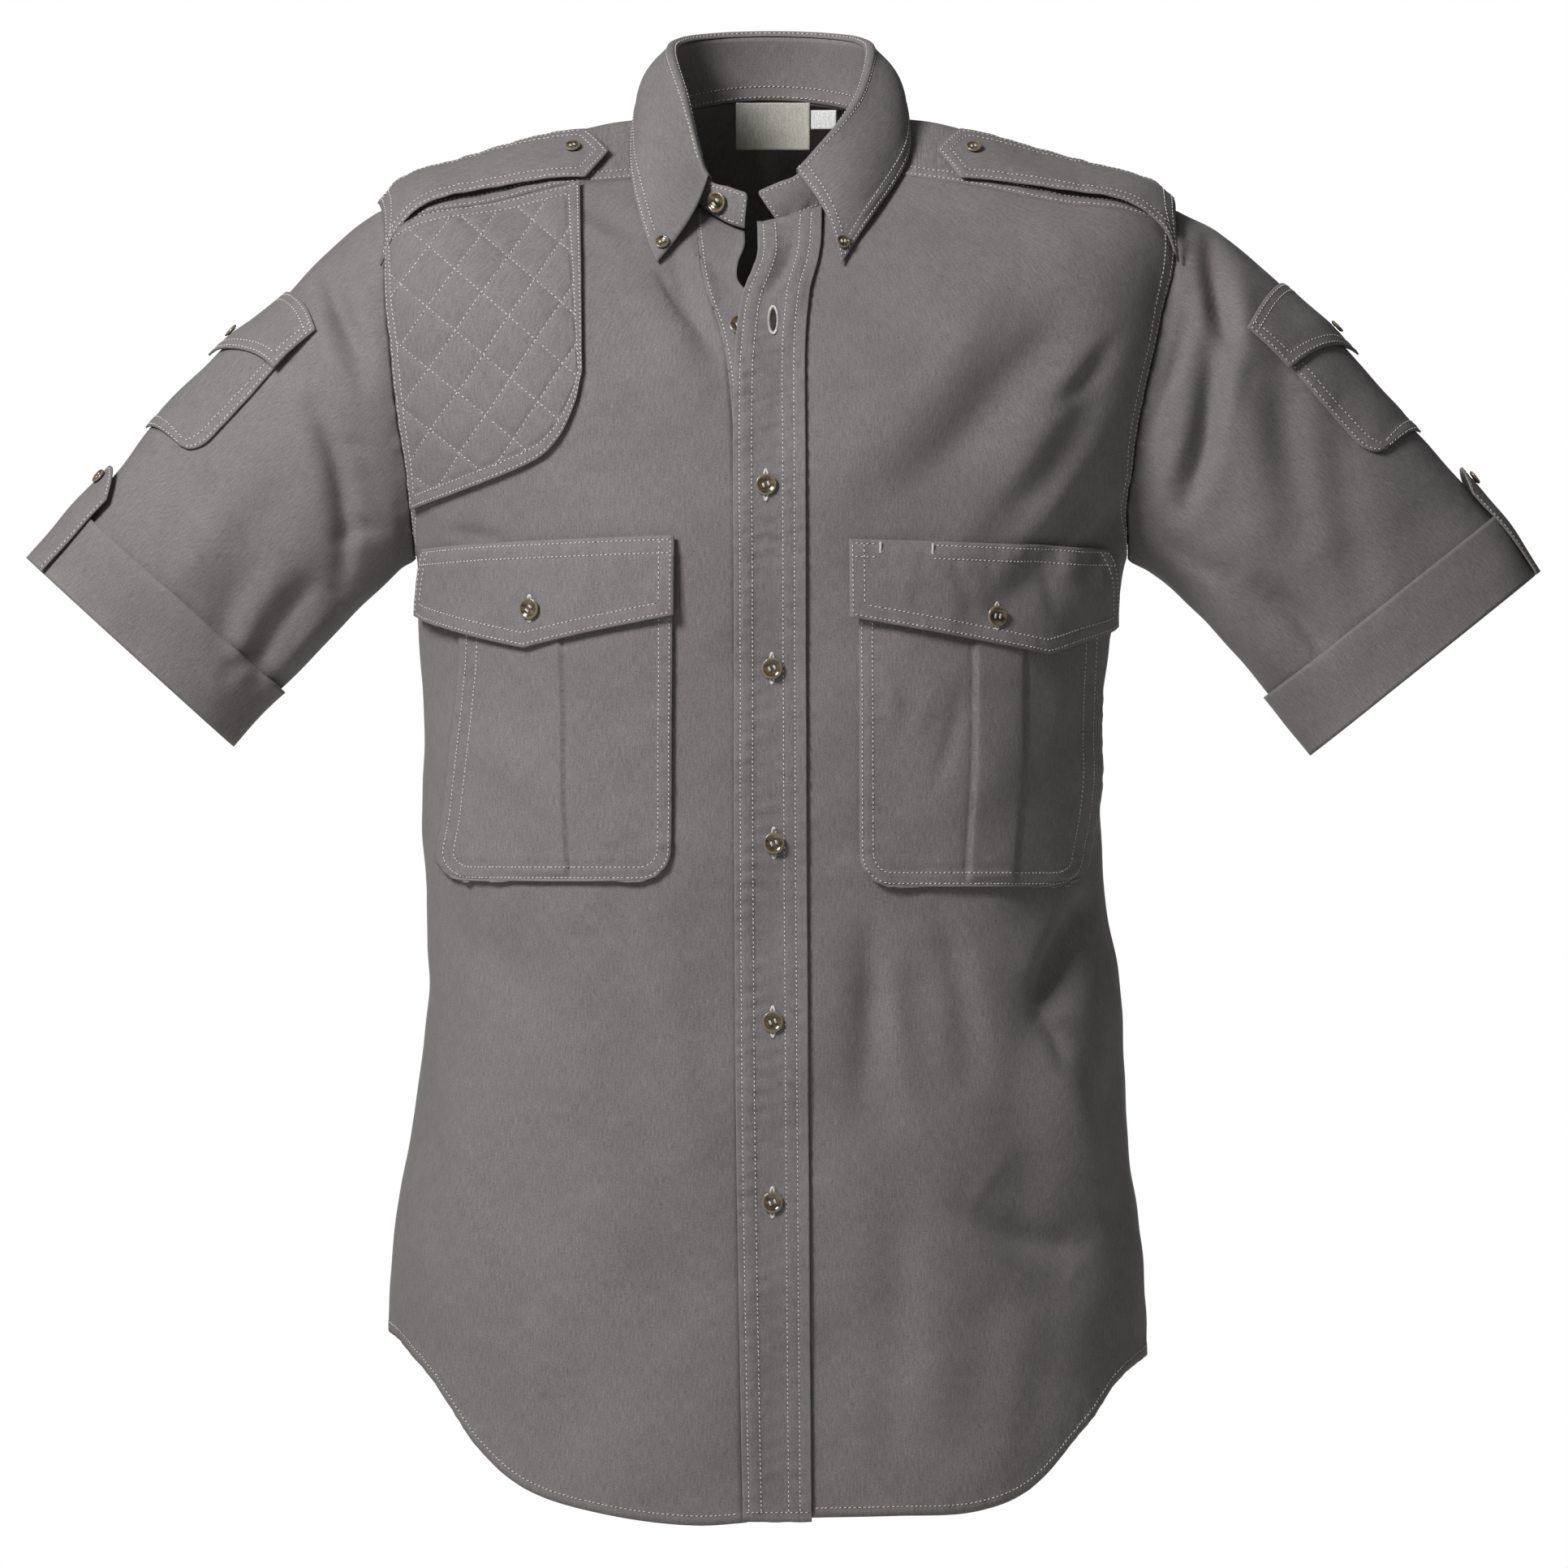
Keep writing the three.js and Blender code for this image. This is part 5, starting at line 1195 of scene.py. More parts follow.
def build_back():
    size = bpy.context.scene.shirt_cloth
    across, rise, fall = steps(size.back_columns), steps(size.rise_rows), steps(size.fall_rows)[:-1]
    end_angle, end_level = armhole_place(1, -ARMHOLE["back_seam"])
    top = (mix(end_angle, 360 - end_angle, across),
           mix(YOKE["back_level"], end_level, np.abs(2 * across - 1) ** YOKE["back_bend"]) - SEAM)
    angles = mix(90.0, 270.0, across)
    bottom = (angles, np.full_like(across, ARMPIT))
    left = armhole_place(1, -rise_turns(ARMHOLE["back_seam"], rise))
    left = tuple(np.append(r[:-1], t[0]) for r, t in zip(left, top))
    right = (360 - left[0], left[1])
    angle, level = fill_patch(bottom, top, left, right, across, rise)
    low_level = mix(hem_at(angles)[None, :], ARMPIT, fall[:, None])
    low_angle = np.broadcast_to(angles[None, :], low_level.shape)
    angle, level = np.concatenate([low_angle, angle]), np.concatenate([low_level, level])
    below = level <= ARMPIT + 1e-6
    angle = np.where(below & (angle == 90), angle + SEAM_ANGLE, angle)
    angle = np.where(below & (angle == 270), angle - SEAM_ANGLE, angle)
    sheet = Sheet(*torso(angle, level))
    gaps = sheet.edges()
    sheet.out += seam_waves(gaps["low"], gaps["first"], "hem", 13)
    cloth_object("cloth_back", sheet, ["back"], grain="upright")
    sew_rows("back", sheet, ROWS["hem"], [("low", 1, 1, 22)])


YOKE_STEPS = {"shoulder": 30, "back": 110}


def yoke_places():
    shoulder, back = steps(YOKE_STEPS["shoulder"]), steps(YOKE_STEPS["back"])[1:-1]
    ends = (ARMHOLE["front_seam"], -ARMHOLE["back_seam"])
    outer, inner = [], []
    place = armhole_place(-1, mix(ends[0], ends[1], shoulder))
    outer.append(np.stack(place, -1))
    inner.append(-mix(YOKE["neck_angle"], YOKE["shoulder_angle"], shoulder))
    angle, level = armhole_place(-1, ends[1])
    bend = np.abs(2 * back - 1) ** YOKE["back_bend"]
    outer.append(np.stack([mix(angle, -360 - angle, back), mix(YOKE["back_level"], level, bend)], -1))
    inner.append(mix(-YOKE["shoulder_angle"], YOKE["shoulder_angle"] - 360, back))
    place = armhole_place(1, mix(ends[0], ends[1], shoulder[::-1]))
    outer.append(np.stack([place[0] - 360, place[1]], -1))
    inner.append(mix(YOKE["neck_angle"], YOKE["shoulder_angle"], shoulder[::-1]) - 360)
    outer, inner = np.concatenate(outer), np.concatenate(inner)
    last = len(inner) - 1
    from_end = np.minimum(np.arange(last + 1), last - np.arange(last + 1)) / (len(shoulder) - 1)
    w = steps(46)[:, None]
    bent = w ** mix(YOKE["seam_bend"], 1, np.minimum(from_end, 1))[None, :]
    return mix(inner[None, :], outer[None, :, 0], bent), mix(NECK_LEVEL - SEAM, outer[None, :, 1], w)


def build_yoke():
    sheet = Sheet(*torso(*yoke_places()))
    gaps = sheet.edges()
    for edge in ("first", "last"):
        sheet.out += seam_relief(gaps[edge], "yoke")
        sheet.out += pucker(gaps[edge], gaps["low"], "yoke", 14)
    back_seam = np.where(np.arange(sheet.points.shape[1]) > 0, 1, 0)[None, :] * gaps["high"]
    wear = bell(np.minimum(sheet.near("first", "last"), back_seam), 6)
    cloth_object("cloth_yoke", sheet, ["yoke"], wear=wear, grain="top")
    for edge, seed in (("first", 31), ("last", 32)):
        sew_rows("yoke", sheet, ROWS["yoke"], [(edge, 1, 1, seed)])
    past = YOKE_STEPS["shoulder"] + 2
    sew_rows("yoke", sheet.part(columns=slice(past, -past)), ROWS["yoke"], [("high", 1, 1, 33)])


# The narrow strips down the front have more rows than the panels
STRIP_ROWS = 1.5


def strip_sheet(from_column, to_column, columns):
    size = bpy.context.scene.shirt_cloth
    s = steps(columns)[None, :]
    hem = hem_at(edge_angle(HEM_RIGHT["z"][:1], from_column))[0]
    levels = np.concatenate([mix(hem, ARMPIT, steps(int(size.fall_rows * STRIP_ROWS))[:-1]),
                             mix(ARMPIT, NECK_LEVEL - SEAM, steps(int(size.rise_rows * STRIP_ROWS)))])
    angle = mix(edge_angle(levels, from_column)[:, None], edge_angle(levels, to_column)[:, None], s)
    return Sheet(*torso(angle, np.broadcast_to(levels[:, None], angle.shape)))


# Lengths of the short puckers along the placket's seams
PLACKET_PUCKERS = (4.5, 11)
PLACKET_COLUMNS = 40


def build_plackets():
    stand = strip_sheet("stand_from", "stand_to", 20)
    gaps = stand.edges()
    upper = smoothstep(-200, -170, stand.points[..., 2])
    stand.out += upper * seam_waves(gaps["first"], gaps["low"], "stand_edge", 17)
    stand.out += upper * pucker(gaps["last"], gaps["low"], "stand_far_edge", 18)
    cloth_object("cloth_button_stand", stand, ["button_stand"], grain="upright")
    first = stand.line("first", 2.2, 0, 1)
    keep = first[0][:, 2] > -190
    sew("placket", (first[0][keep], first[1][keep]), seed=41)
    sheet = strip_sheet("placket_from", "placket_to", PLACKET_COLUMNS)
    gaps = sheet.edges()
    opened = row_at(OVERLAP, "z", sheet.points[:, 0, 2])["open"][:, None]
    sheet.out += LAYER + CLOTH + opened * (1 - steps(PLACKET_COLUMNS)[None, :])
    sheet.out += 0.3 * bell(gaps["first"] - 6, 4)
    sheet.out += (seam_relief(gaps["first"], "placket_left")
                  + seam_relief(gaps["last"], "placket_right"))
    sheet.out += pucker(gaps["first"], gaps["low"], "placket_left", 15, PLACKET_PUCKERS)
    sheet.out += pucker(gaps["last"], gaps["low"], "placket_right", 16, PLACKET_PUCKERS)
    x, z = sheet.points[..., 0], sheet.points[..., 2]
    sheet.out += crease_height(PLACKET_CREASES, x, z)
    sheet.out += 0.45 * np.sin(gaps["low"] / 7.3 + np.sin(gaps["low"] / 23) * 2) * bell(gaps["first"], 7)
    cloth_object("cloth_placket", sheet, ["placket"], grain="upright")
    for edge, rows, seed in (("first", "placket_left", 42), ("last", "placket_right", 44)):
        sew_rows("placket", sheet, ROWS[rows], [(edge, 3, 2, seed)], step=1)
    sew_rows("placket", sheet, ROWS["placket_low"], [("low", 1, 1, 47)])


PLACKET_CREASES = table(
    CREASE_COLUMNS,
    (12, -66, -5, -97, 2, 3, -1.6, 0.4),
    (4, -62, -2, -86, 1, 2.5, 1.1, 0),
    (16, -84, 4, -120, 1, 4, 1.0, 0.2),
    (-16, -112, -10, -150, 0, 3, -0.9, 0),
    (8, -128, 0, -164, 1, 5, -0.8, 0.2),
    (-6, -215, 10, -228, 0, 5, -0.6, 0),
    (10, -310, -8, -330, 0, 6, 0.6, 0),
    (-8, -430, 10, -442, 0, 6, -0.6, 0),
    (10, -520, -8, -535, 0, 6, 0.6, 0),
    (-6, -620, 12, -640, 0, 7, -0.6, 0),
)


# Sleeves


def sleeve_base(key, turn, t):
    sleeve = SLEEVES[key]
    sign = sleeve["sign"]
    outer, inner = np.array(sleeve["outer"], float), np.array(sleeve["inner"], float)
    turn, t = np.broadcast_arrays(np.asarray(turn, float), np.asarray(t, float))
    angle, level = armhole_place(sign, turn)
    start = torso(angle, level)[0] + np.array([sign * SLEEVE_START["out"], 0, -SLEEVE_START["down"]])
    centre = np.array([(outer[0] + inner[0]) / 2, sleeve["middle"], (outer[1] + inner[1]) / 2])
    tall = np.array([outer[0] - inner[0], 0, outer[1] - inner[1]]) / 2
    axis = unit(np.array([tall[2] * sign, 0, -tall[0] * sign]))
    axis = -axis if axis[2] > 0 else axis
    end = centre + tall * cosd(turn)[..., None]
    end[..., 1] -= sleeve["depth"] * sind(turn)
    reach = np.linalg.norm(end - start, axis=-1)[..., None]
    leaves = SLEEVE_LEAVES
    first = np.stack([sign * mix(leaves["armpit_turn"], sleeve["top_turn"], (1 + cosd(turn)) / 2),
                      leaves["front"] * sind(turn), np.full_like(turn, leaves["down"])], -1)
    first = unit(first) * reach * leaves["pull"]
    last = axis * reach * leaves["pull"]
    t = t[..., None]
    return (start * (2 * t**3 - 3 * t**2 + 1) + first * (t**3 - 2 * t**2 + t)
            + end * (3 * t**2 - 2 * t**3) + last * (t**3 - t**2))


def on_sleeve(key, turn, along):
    """Points of a sleeve with its folds, and outward directions without them."""
    turn, along = np.broadcast_arrays(np.asarray(turn, float), np.asarray(along, float))
    p = sleeve_base(key, turn, along)
    a = np.clip(along, 0.002, 0.998)
    around = sleeve_base(key, turn + 1, a) - sleeve_base(key, turn - 1, a)
    down = sleeve_base(key, turn, a + 0.002) - sleeve_base(key, turn, a - 0.002)
    n = unit(np.cross(around, down)) * SLEEVES[key]["sign"]
    fade = (smoothstep(0, 0.5, np.abs(sind(turn)))
            * smoothstep(0, 0.12, along) * smoothstep(0.1, 0.25, 1 - along))
    x, z = p[..., 0], p[..., 2]
    deep = bpy.context.scene.shirt_cloth.crease_depth
    height = crease_height(SLEEVE_FOLDS[key], x, z) + deep * crease_height(SLEEVE_CREASES[key], x, z)
    height = height * fade * np.where(sind(turn) > 0, 1, 0.7)
    moved = p.copy()
    moved[..., 1] -= np.sign(sind(turn)) * height
    calm = smoothstep(0, 0.1, along)
    return moved + n * (unevenness(p) * calm)[..., None], n


def sleeve_lengths(key, turn):
    t = steps(12)
    path = sleeve_base(key, np.asarray(turn, float)[None, :], t[:, None])
    return np.linalg.norm(np.diff(path, axis=0), axis=-1).sum(0)


def build_sleeve(key):
    size = bpy.context.scene.shirt_cloth
    turns = np.linspace(180, -180, size.sleeve_columns + 1)
    along = steps(size.sleeve_rows) * SLEEVE_END
    sheet = Sheet(*on_sleeve(key, turns[None, :], along[:, None]))
    gaps = sheet.edges()
    sheet.out += pucker(gaps["low"], gaps["first"], "sleeve_head", 51) - 0.5 * bell(gaps["low"], 1.6)
    cloth_object(f"cloth_sleeve_{key}", sheet, [f"sleeve_{key}"], wraps=True, wear=bell(gaps["low"], 4))
    start = 1 - CUFF["height"] / sleeve_lengths(key, turns)
    share = steps(18)[:, None]
    cuff_along = mix(start[None, :], SLEEVE_END, share)
    cuff = Sheet(*on_sleeve(key, turns[None, :], cuff_along))
    edge_wave = 0.5 * np.sin(np.radians(turns) * 3 + 1) + 0.35 * np.sin(np.radians(turns) * 7)
    cuff.out += LAYER + CLOTH + CUFF["flare"] * (1 - share) + edge_wave[None, :] * (1 - share) * 0.8
    cloth_object(f"cloth_cuff_{key}", cuff, [f"cuff_{key}"], wraps=True)
    build_sleeve_pocket(key)
    build_sleeve_flap(key)
    build_roll_tab(key)


def build_sleeve_pocket(key):
    form = SLEEVE_POCKET
    share = steps(44)
    along = mix(form["from"], form["to"], share)
    into = np.maximum(along - form["to"] + form["corner"], 0) / form["corner"]
    width = form["turn"] * (1 - 0.22 * (1 - np.sqrt(np.maximum(1 - into**2, 0))))
    turns = width[:, None] * np.linspace(1, -1, 57)[None, :]
    sheet = Sheet(*on_sleeve(key, turns, along[:, None] - form["slant"] * np.abs(turns) / form["turn"]))
    near = sheet.near("first", "last", "high")
    sheet.out += LAYER + CLOTH + seam_relief(near, "sleeve_pocket")
    sheet.out += form["belly"] * smoothstep(6, 22, near) + pucker(near, sheet.edges()["low"], "sleeve_pocket", 53)
    cloth_object(f"cloth_sleeve_pocket_{key}", sheet, [f"sleeve_pocket_{key}"])
    sew_rows(f"sleeve_{key}", sheet, ROWS["sleeve_pocket"],
             [("first", 1, None, 54), ("last", 1, None, 54), ("high", None, None, 55)])


def build_sleeve_flap(key):
    flap = SLEEVE_FLAP
    turn = flap["turn"] * np.linspace(1, -1, 49)[None, :]
    high = mix(flap["from"], flap["side_from"], np.abs(turn) / flap["turn"])
    low = mix(flap["point"], flap["side"], np.abs(turn) / flap["turn"])
    share = steps(20)[:, None]
    cover = Sheet(*on_sleeve(key, turn, mix(high, low, share)))
    near = cover.near("first", "last", "high")
    cover.out += mix(LAYER + CLOTH, 2 * (LAYER + CLOTH) + flap["stand_off"], np.minimum(share * 1.5, 1))
    cover.out += seam_relief(near, "tab") + flap["wave"] * np.sin(np.radians(turn) * 5 + 2) * share
    cloth_object(f"cloth_sleeve_flap_{key}", cover, [f"sleeve_flap_{key}"])
    sew_rows(f"sleeve_{key}", cover, ROWS["tab"],
             [("first", 1, None, 56), ("last", 1, None, 56), ("high", None, None, 57), ("low", 1, 1, 58)])


def build_roll_tab(key):
    form = ROLL_TAB
    q = np.linspace(-1, 1, 17)[None, :]
    begin = mix(form["point"], form["from"], q * q)
    share = steps(36)[:, None]
    sheet = Sheet(*on_sleeve(key, form["middle"][key] + q * form["turn"], mix(begin, SLEEVE_END, share)))
    near = sheet.near("first", "last", "low")
    sheet.out += 2 * (LAYER + CLOTH) + CUFF["flare"] + seam_relief(near, "roll_tab")
    cloth_object(f"cloth_roll_tab_{key}", sheet, [f"roll_tab_{key}"])
    sew_rows(f"sleeve_{key}", sheet, ROWS["roll_tab"],
             [("first", 2, 1, 59), ("last", 2, 1, 59), ("low", None, None, 60)])


# Collar


def curve_at(points, at):
    """Smooth curve through stations, by the station's number."""
    at = np.asarray(at, float)
    last = len(points) - 1
    i = np.minimum(at.astype(int), last - 1)
    t = (at - i)[..., None]
    p0, p1 = points[np.maximum(i - 1, 0)], points[i]
    p2, p3 = points[i + 1], points[np.minimum(i + 2, last)]
    return 0.5 * (2 * p1 + (p2 - p0) * t + (2 * p0 - 5 * p1 + 4 * p2 - p3) * t**2
                  + (3 * p1 - p0 - 3 * p2 + p3) * t**3)


def stand_point(at, up):
    stations = np.stack([STAND["x"], STAND["y"], STAND["z"]], -1)
    at, up = np.broadcast_arrays(np.asarray(at, float), np.asarray(up, float))
    top = curve_at(stations, at)
    neck_angle = np.interp(at, np.arange(len(stations)), STAND["neck_angle"])
    low = torso_base(neck_angle, np.zeros_like(neck_angle)) + np.array([0, 0, SEAM])
    p = low + (top - low) * up[..., None]
    away = p * np.array([1, 1, 0])
    return p + unit(away) * (STAND_BOW * np.sin(np.pi * up))[..., None]


def on_stand(at, up):
    at, up = np.broadcast_arrays(np.asarray(at, float), np.asarray(up, float))
    a = np.clip(at, 0.02, len(STAND["x"]) - 1.02)
    around = stand_point(a + 0.02, up) - stand_point(a - 0.02, up)
    rise = stand_point(a, np.minimum(up + 0.02, 1)) - stand_point(a, np.maximum(up - 0.02, 0))
    n = unit(np.cross(around, rise))
    p = stand_point(a, up)
    inward = (n[..., 0] * p[..., 0] + n[..., 1] * p[..., 1]) < 0
    return stand_point(at, up), np.where(inward[..., None], -n, n)


def leaf_sheet():
    """The collar's leaf, from its seam on the stand over the roll and down to its edge."""
    above = LEAF["above"] > 0
    on_neck, neck_way = on_top(LEAF["x"], LEAF["across"])
    on_chest, chest_way = on_front(LEAF["x"], LEAF["across"])
    edge_points = np.where(above[:, None], on_neck + neck_way * LEAF_LIFT, on_chest + chest_way * LEAF_LIFT)
    share = steps(180)
    at = mix(LEAF["at"][0], LEAF["at"][-1], share)
    number = np.interp(at, LEAF["at"], np.arange(len(LEAF["at"])))
    edge = curve_at(edge_points, number)
    bulge = np.interp(at, LEAF["at"], LEAF["bulge"])
    sway = np.interp(at, LEAF["at"], LEAF["sway"])
    under, way = on_stand(at, 1.0)
    top = under - way * CLOTH / 2 + np.array([0, 0, SEAM])
    away = unit(way * np.array([1, 1, 0]))
    out = unit((edge - top) * np.array([1, 1, 0]))
    up = np.array([0, 0, 1.0])
    roll = [top + away * ROLL * (1 - cosd(a)) + up * ROLL * sind(a) for a in np.linspace(0, 180, 11)]
    fall = []
    for w in steps(40)[1:]:
        bow = math.sin(math.pi * w)
        p = roll[-1] + (edge - roll[-1]) * w + out * (bulge * bow * LEAF_BULGE["out"])[:, None]
        p = p + up * (bulge * bow * LEAF_BULGE["up"])[:, None]
        p[:, 0] += sway * bow
        fall.append(p)
    points = np.stack(roll + fall, 1)
    du = np.gradient(points, axis=0)
    dv = np.gradient(points, axis=1)
    return Sheet(points, unit(np.cross(du, dv)))


def build_collar():
    stand = Sheet(*on_stand((steps(170) * (len(STAND["x"]) - 1))[None, :], steps(14)[:, None]))
    low, first = stand.edges()["low"], stand.edges()["first"]
    stand.out += pucker(low, first, "collar_seam", 61) + pucker(first, low, "collar_ends", 62)
    round_ends(stand)
    cloth_object("cloth_collar_stand", stand, ["collar_stand"])
    sew_rows("collar", stand, ROWS["stand"],
             [("low", 2, 2, 63), ("high", 2, 2, 63), ("first", 2, 2, 64), ("last", 2, 2, 64)])
    inner_side = Sheet(stand.points - stand.normals * STAND_WALL, -stand.normals)
    sew_rows("collar", inner_side, ROWS["stand_inside"], [("low", 60, 60, 65)])
    sheet = leaf_sheet()
    gaps = sheet.edges()
    on_fall = smoothstep(8, 16, gaps["low"])
    near = sheet.near("first", "last", "high")
    sheet.out += CLOTH / 2 + on_fall * seam_waves(near, gaps["first"], "leaf", 66)
    cloth_object("cloth_collar", sheet, ["collar"])
    sew_rows("collar", sheet, ROWS["leaf"],
             [("high", None, None, 67), ("first", 13, None, 69), ("last", 13, None, 69)], step=1)


def round_ends(stand):
    """Rounds the upper corners of the stand's two ends."""
    gaps = stand.edges()
    radius = STAND_CORNER
    top = stand.points[-1]
    for edge in ("first", "last"):
        gap = gaps[edge][-1]
        drop = radius - np.sqrt(np.maximum(radius**2 - np.maximum(radius - gap, 0) ** 2, 0))
        height = np.linalg.norm(top - stand.points[0], axis=-1)
        share = (drop / np.maximum(height, 1e-6))[None, :] * steps(stand.points.shape[0] - 1)[:, None]
        stand.points = stand.points + (stand.points[:1] - stand.points[-1:]) * share[..., None]


# Pockets, flaps and the quilted patch


def pocket_sheet(key):
    """Rows down a pocket with columns that follow its pleats; also each column's side of every pleat."""
    pocket = POCKETS[key]
    top, bottom, corner = pocket["top"], pocket["bottom"], pocket["corner"]
    straight = np.linspace(top, bottom + corner, 70)
    rounded = bottom + corner * (1 - sind(np.linspace(0, 90, 22)[1:]))
    z = np.concatenate([straight, rounded])
    t = (top - z) / (top - bottom)
    into = np.maximum(bottom + corner - z, 0) / corner
    inset = corner * (1 - np.sqrt(np.maximum(1 - into**2, 0)))
    start = mix(pocket["top_from"], pocket["low_from"], t) + inset
    stop = mix(pocket["top_to"], pocket["low_to"], t) - inset
    pleats = [mix(high, low, t) for high, low in pocket["pleats"]]
    stops = [start, *pleats, stop]
    counts = [32, 14, 26] if pocket["boxed"] else [44, 38]
    x = []
    for k, count in enumerate(counts):
        low, high = stops[k] + (0.5 if k else 0), stops[k + 1] - (0.5 if k < len(counts) - 1 else 0)
        x.append(mix(low[:, None], high[:, None], steps(count)[None, :]))
    x = np.concatenate(x, axis=1)
    return Sheet(*on_front(x, np.broadcast_to(z[:, None], x.shape))), t, pleats, x


RIM_STEP = 0.5


def near_path(sheet, path):
    """Distance of every point of a sheet from the nearest point of a dense path."""
    tree = tree_of(path)
    flat = sheet.points.reshape(-1, 3)
    return np.array([tree.find(point)[2] for point in flat]).reshape(sheet.points.shape[:2])


def rim_path(sheet):
    """Dense path down one side of a pocket, along its bottom and up the other side."""
    path = np.concatenate([sheet.points[:, 0], sheet.points[-1], sheet.points[::-1, -1]])
    return resampled(path, int(np.linalg.norm(np.diff(path, axis=0), axis=1).sum() / RIM_STEP))


def view_line(sheet, path):
    """A line over a sheet from places in the front view, with its directions."""
    points, ways = sheet.raised().reshape(-1, 3), sheet.normals.reshape(-1, 3)
    tree = tree_of(points * np.array([1, 0, 1]))
    line, line_ways = [], []
    for x, z in path:
        found = tree.find_n((x, 0, z), 3)
        weights = np.array([1 / (far + 0.05) for _, _, far in found])
        index = [k for _, k, _ in found]
        depth = (points[index, 1] * weights).sum() / weights.sum()
        line.append((x, depth, z))
        line_ways.append(ways[index[0]])
    return np.array(line), np.array(line_ways)


def inset_path(path, distance):
    """A path in the front view moved to its left-hand side."""
    along = unit(np.gradient(path, axis=0))
    inner = path + np.stack([-along[:, 1], along[:, 0]], -1) * distance
    return resampled(inner, len(inner))


def build_chest_pocket(key):
    pocket = POCKETS[key]
    sheet, t, pleats, x = pocket_sheet(key)
    near = near_path(sheet, rim_path(sheet))
    width = x[:, -1:] - x[:, :1]
    middle = 1 - np.abs(2 * (x - x[:, :1]) / width - 1)
    form = POCKET_FORM
    sheet.out += form["lift"] + CLOTH + form["belly"] * (np.sin(np.pi * t)[:, None] * np.sqrt(middle))
    inside = smoothstep(1, 6, near)
    past = [x - edge[:, None] for edge in pleats]
    if pocket["boxed"]:
        pleat = BOX_PLEAT
        height = (pleat["raised"] * ((past[0] > 0) & (past[1] < 0))
                  - pleat["grooves"][0] * bell(past[0] + pleat["aside"], pleat["width"])
                  - pleat["grooves"][1] * bell(past[1] - pleat["aside"], pleat["width"]))
    else:
        pleat = FOLD_PLEAT
        height = (pleat["raised"] * np.where(past[0] < 0, np.exp(past[0] / pleat["dies"]), 0)
                  - pleat["groove"] * bell(past[0] - pleat["aside"], pleat["width"]))
    sheet.out += inside * height
    sheet.out += seam_waves(near, sheet.edges()["low"], "pocket", 71)
    sheet.out += 1.4 * crease_height(POCKET_CREASES, sheet.points[..., 0], sheet.points[..., 2])
    cloth_object(f"cloth_chest_pocket_{key}", sheet, [f"chest_pocket_{key}"],
                 grain="upright", wear=bell(near, WEAR_WIDTH), even=False)
    rim = rim_path(sheet)[:, [0, 2]]
    for k, row in enumerate(ROWS["pocket"]):
        sew(f"pocket_{key}", view_line(sheet, inset_path(rim, row)), seed=73 + k)


POCKET_CREASES = table(
    CREASE_COLUMNS,
    (98, -300, 84, -352, 2, 5, -1.0, 0.3),
    (84, -300, 72, -330, 1, 6, 0.8, 0),
    (160, -300, 148, -340, 2, 6, -1.6, 0.4),
    (166, -330, 160, -372, 1, 6, 1.0, 0),
    (60, -292, 64, -320, 1, 5, 0.7, 0),
    (-160, -330, -120, -350, 3, 12, 0.8, 0),
    (-90, -300, -70, -340, 2, 8, -0.6, 0),
    (-66, -386, -54, -380, 0, 4, 0.7, 0),
)


def flap_sheet(key):
    flap = CHEST_FLAPS[key]
    shares = steps(92)
    point_at = flap["point_at"] if key == "left" else 1 - flap["point_at"]
    towards = np.where(shares < point_at, shares / point_at, (1 - shares) / (1 - point_at))
    top = mix(flap["z_from"], flap["z_to"], shares)
    low = mix(mix(flap["side_from"], flap["side_to"], shares), flap["point"], towards)
    down = steps(34)
    z = mix(top[None, :], low[None, :], down[:, None])
    a = front_place(np.full(z.shape, float(flap["from"])), z)[0]
    b = front_place(np.full(z.shape, float(flap["to"])), z)[0]
    angle = mix(a, b, shares[None, :])
    sheet = Sheet(*torso(angle, level_at(angle, z)))
    stand_off = np.interp(down, FLAP_FORM["down"], FLAP_FORM["out"])[:, None]
    near_ends = (mix(flap["ends"][0], 1, smoothstep(0, 0.14, shares))
                 * mix(flap["ends"][1], 1, smoothstep(0, 0.14, 1 - shares)))
    sheet.out += LAYER + CLOTH + stand_off * near_ends[None, :]
    return sheet


def build_chest_flap(key):
    sheet = flap_sheet(key)
    gaps = sheet.edges()
    near = sheet.near("first", "last", "high")
    top = gaps["low"]
    sheet.out += seam_relief(near, "flap") + seam_relief(top, "flap_top")
    sheet.out += (pucker(near, gaps["first"], "flap", 81)
                  + pucker(top, gaps["first"], "flap_top", 82))
    x, z = sheet.points[..., 0], sheet.points[..., 2]
    sheet.out += crease_height(FLAP_CREASES, x, z) * smoothstep(0, 8, top)
    cloth_object(f"cloth_chest_flap_{key}", sheet, [f"chest_flap_{key}"],
                 grain="upright")
    group = f"pocket_{key}"
    side = ROWS["flap_top"][0]
    sew_rows(group, sheet, ROWS["flap"],
             [("high", None, None, 83), ("first", side, None, 85), ("last", side, None, 85)], step=1)
    if key == "right":
        sew_rows(group, sheet, ROWS["flap_top"], [("low", 1, 1, 87)], step=1)
        return
    for k, row in enumerate(ROWS["flap_top"]):
        path, ways = sheet.line("low", row, 1, 1)
        x = path[:, 0] - CHEST_FLAPS[key]["from"]
        for part in (x < PEN_SLOT[0], x > PEN_SLOT[1]):
            sew(group, (path[part], ways[part]), seed=87 + k)
    path, ways = sheet.line("low", sum(ROWS["flap_top"]) / 2)
    for x in PEN_SLOT:
        k = int(np.argmin(np.abs(path[:, 0] - CHEST_FLAPS[key]["from"] - x)))
        along = unit(np.cross(ways[k], unit(path[k + 1] - path[k - 1])))
        bar_tack(group, path[k], along, ways[k])


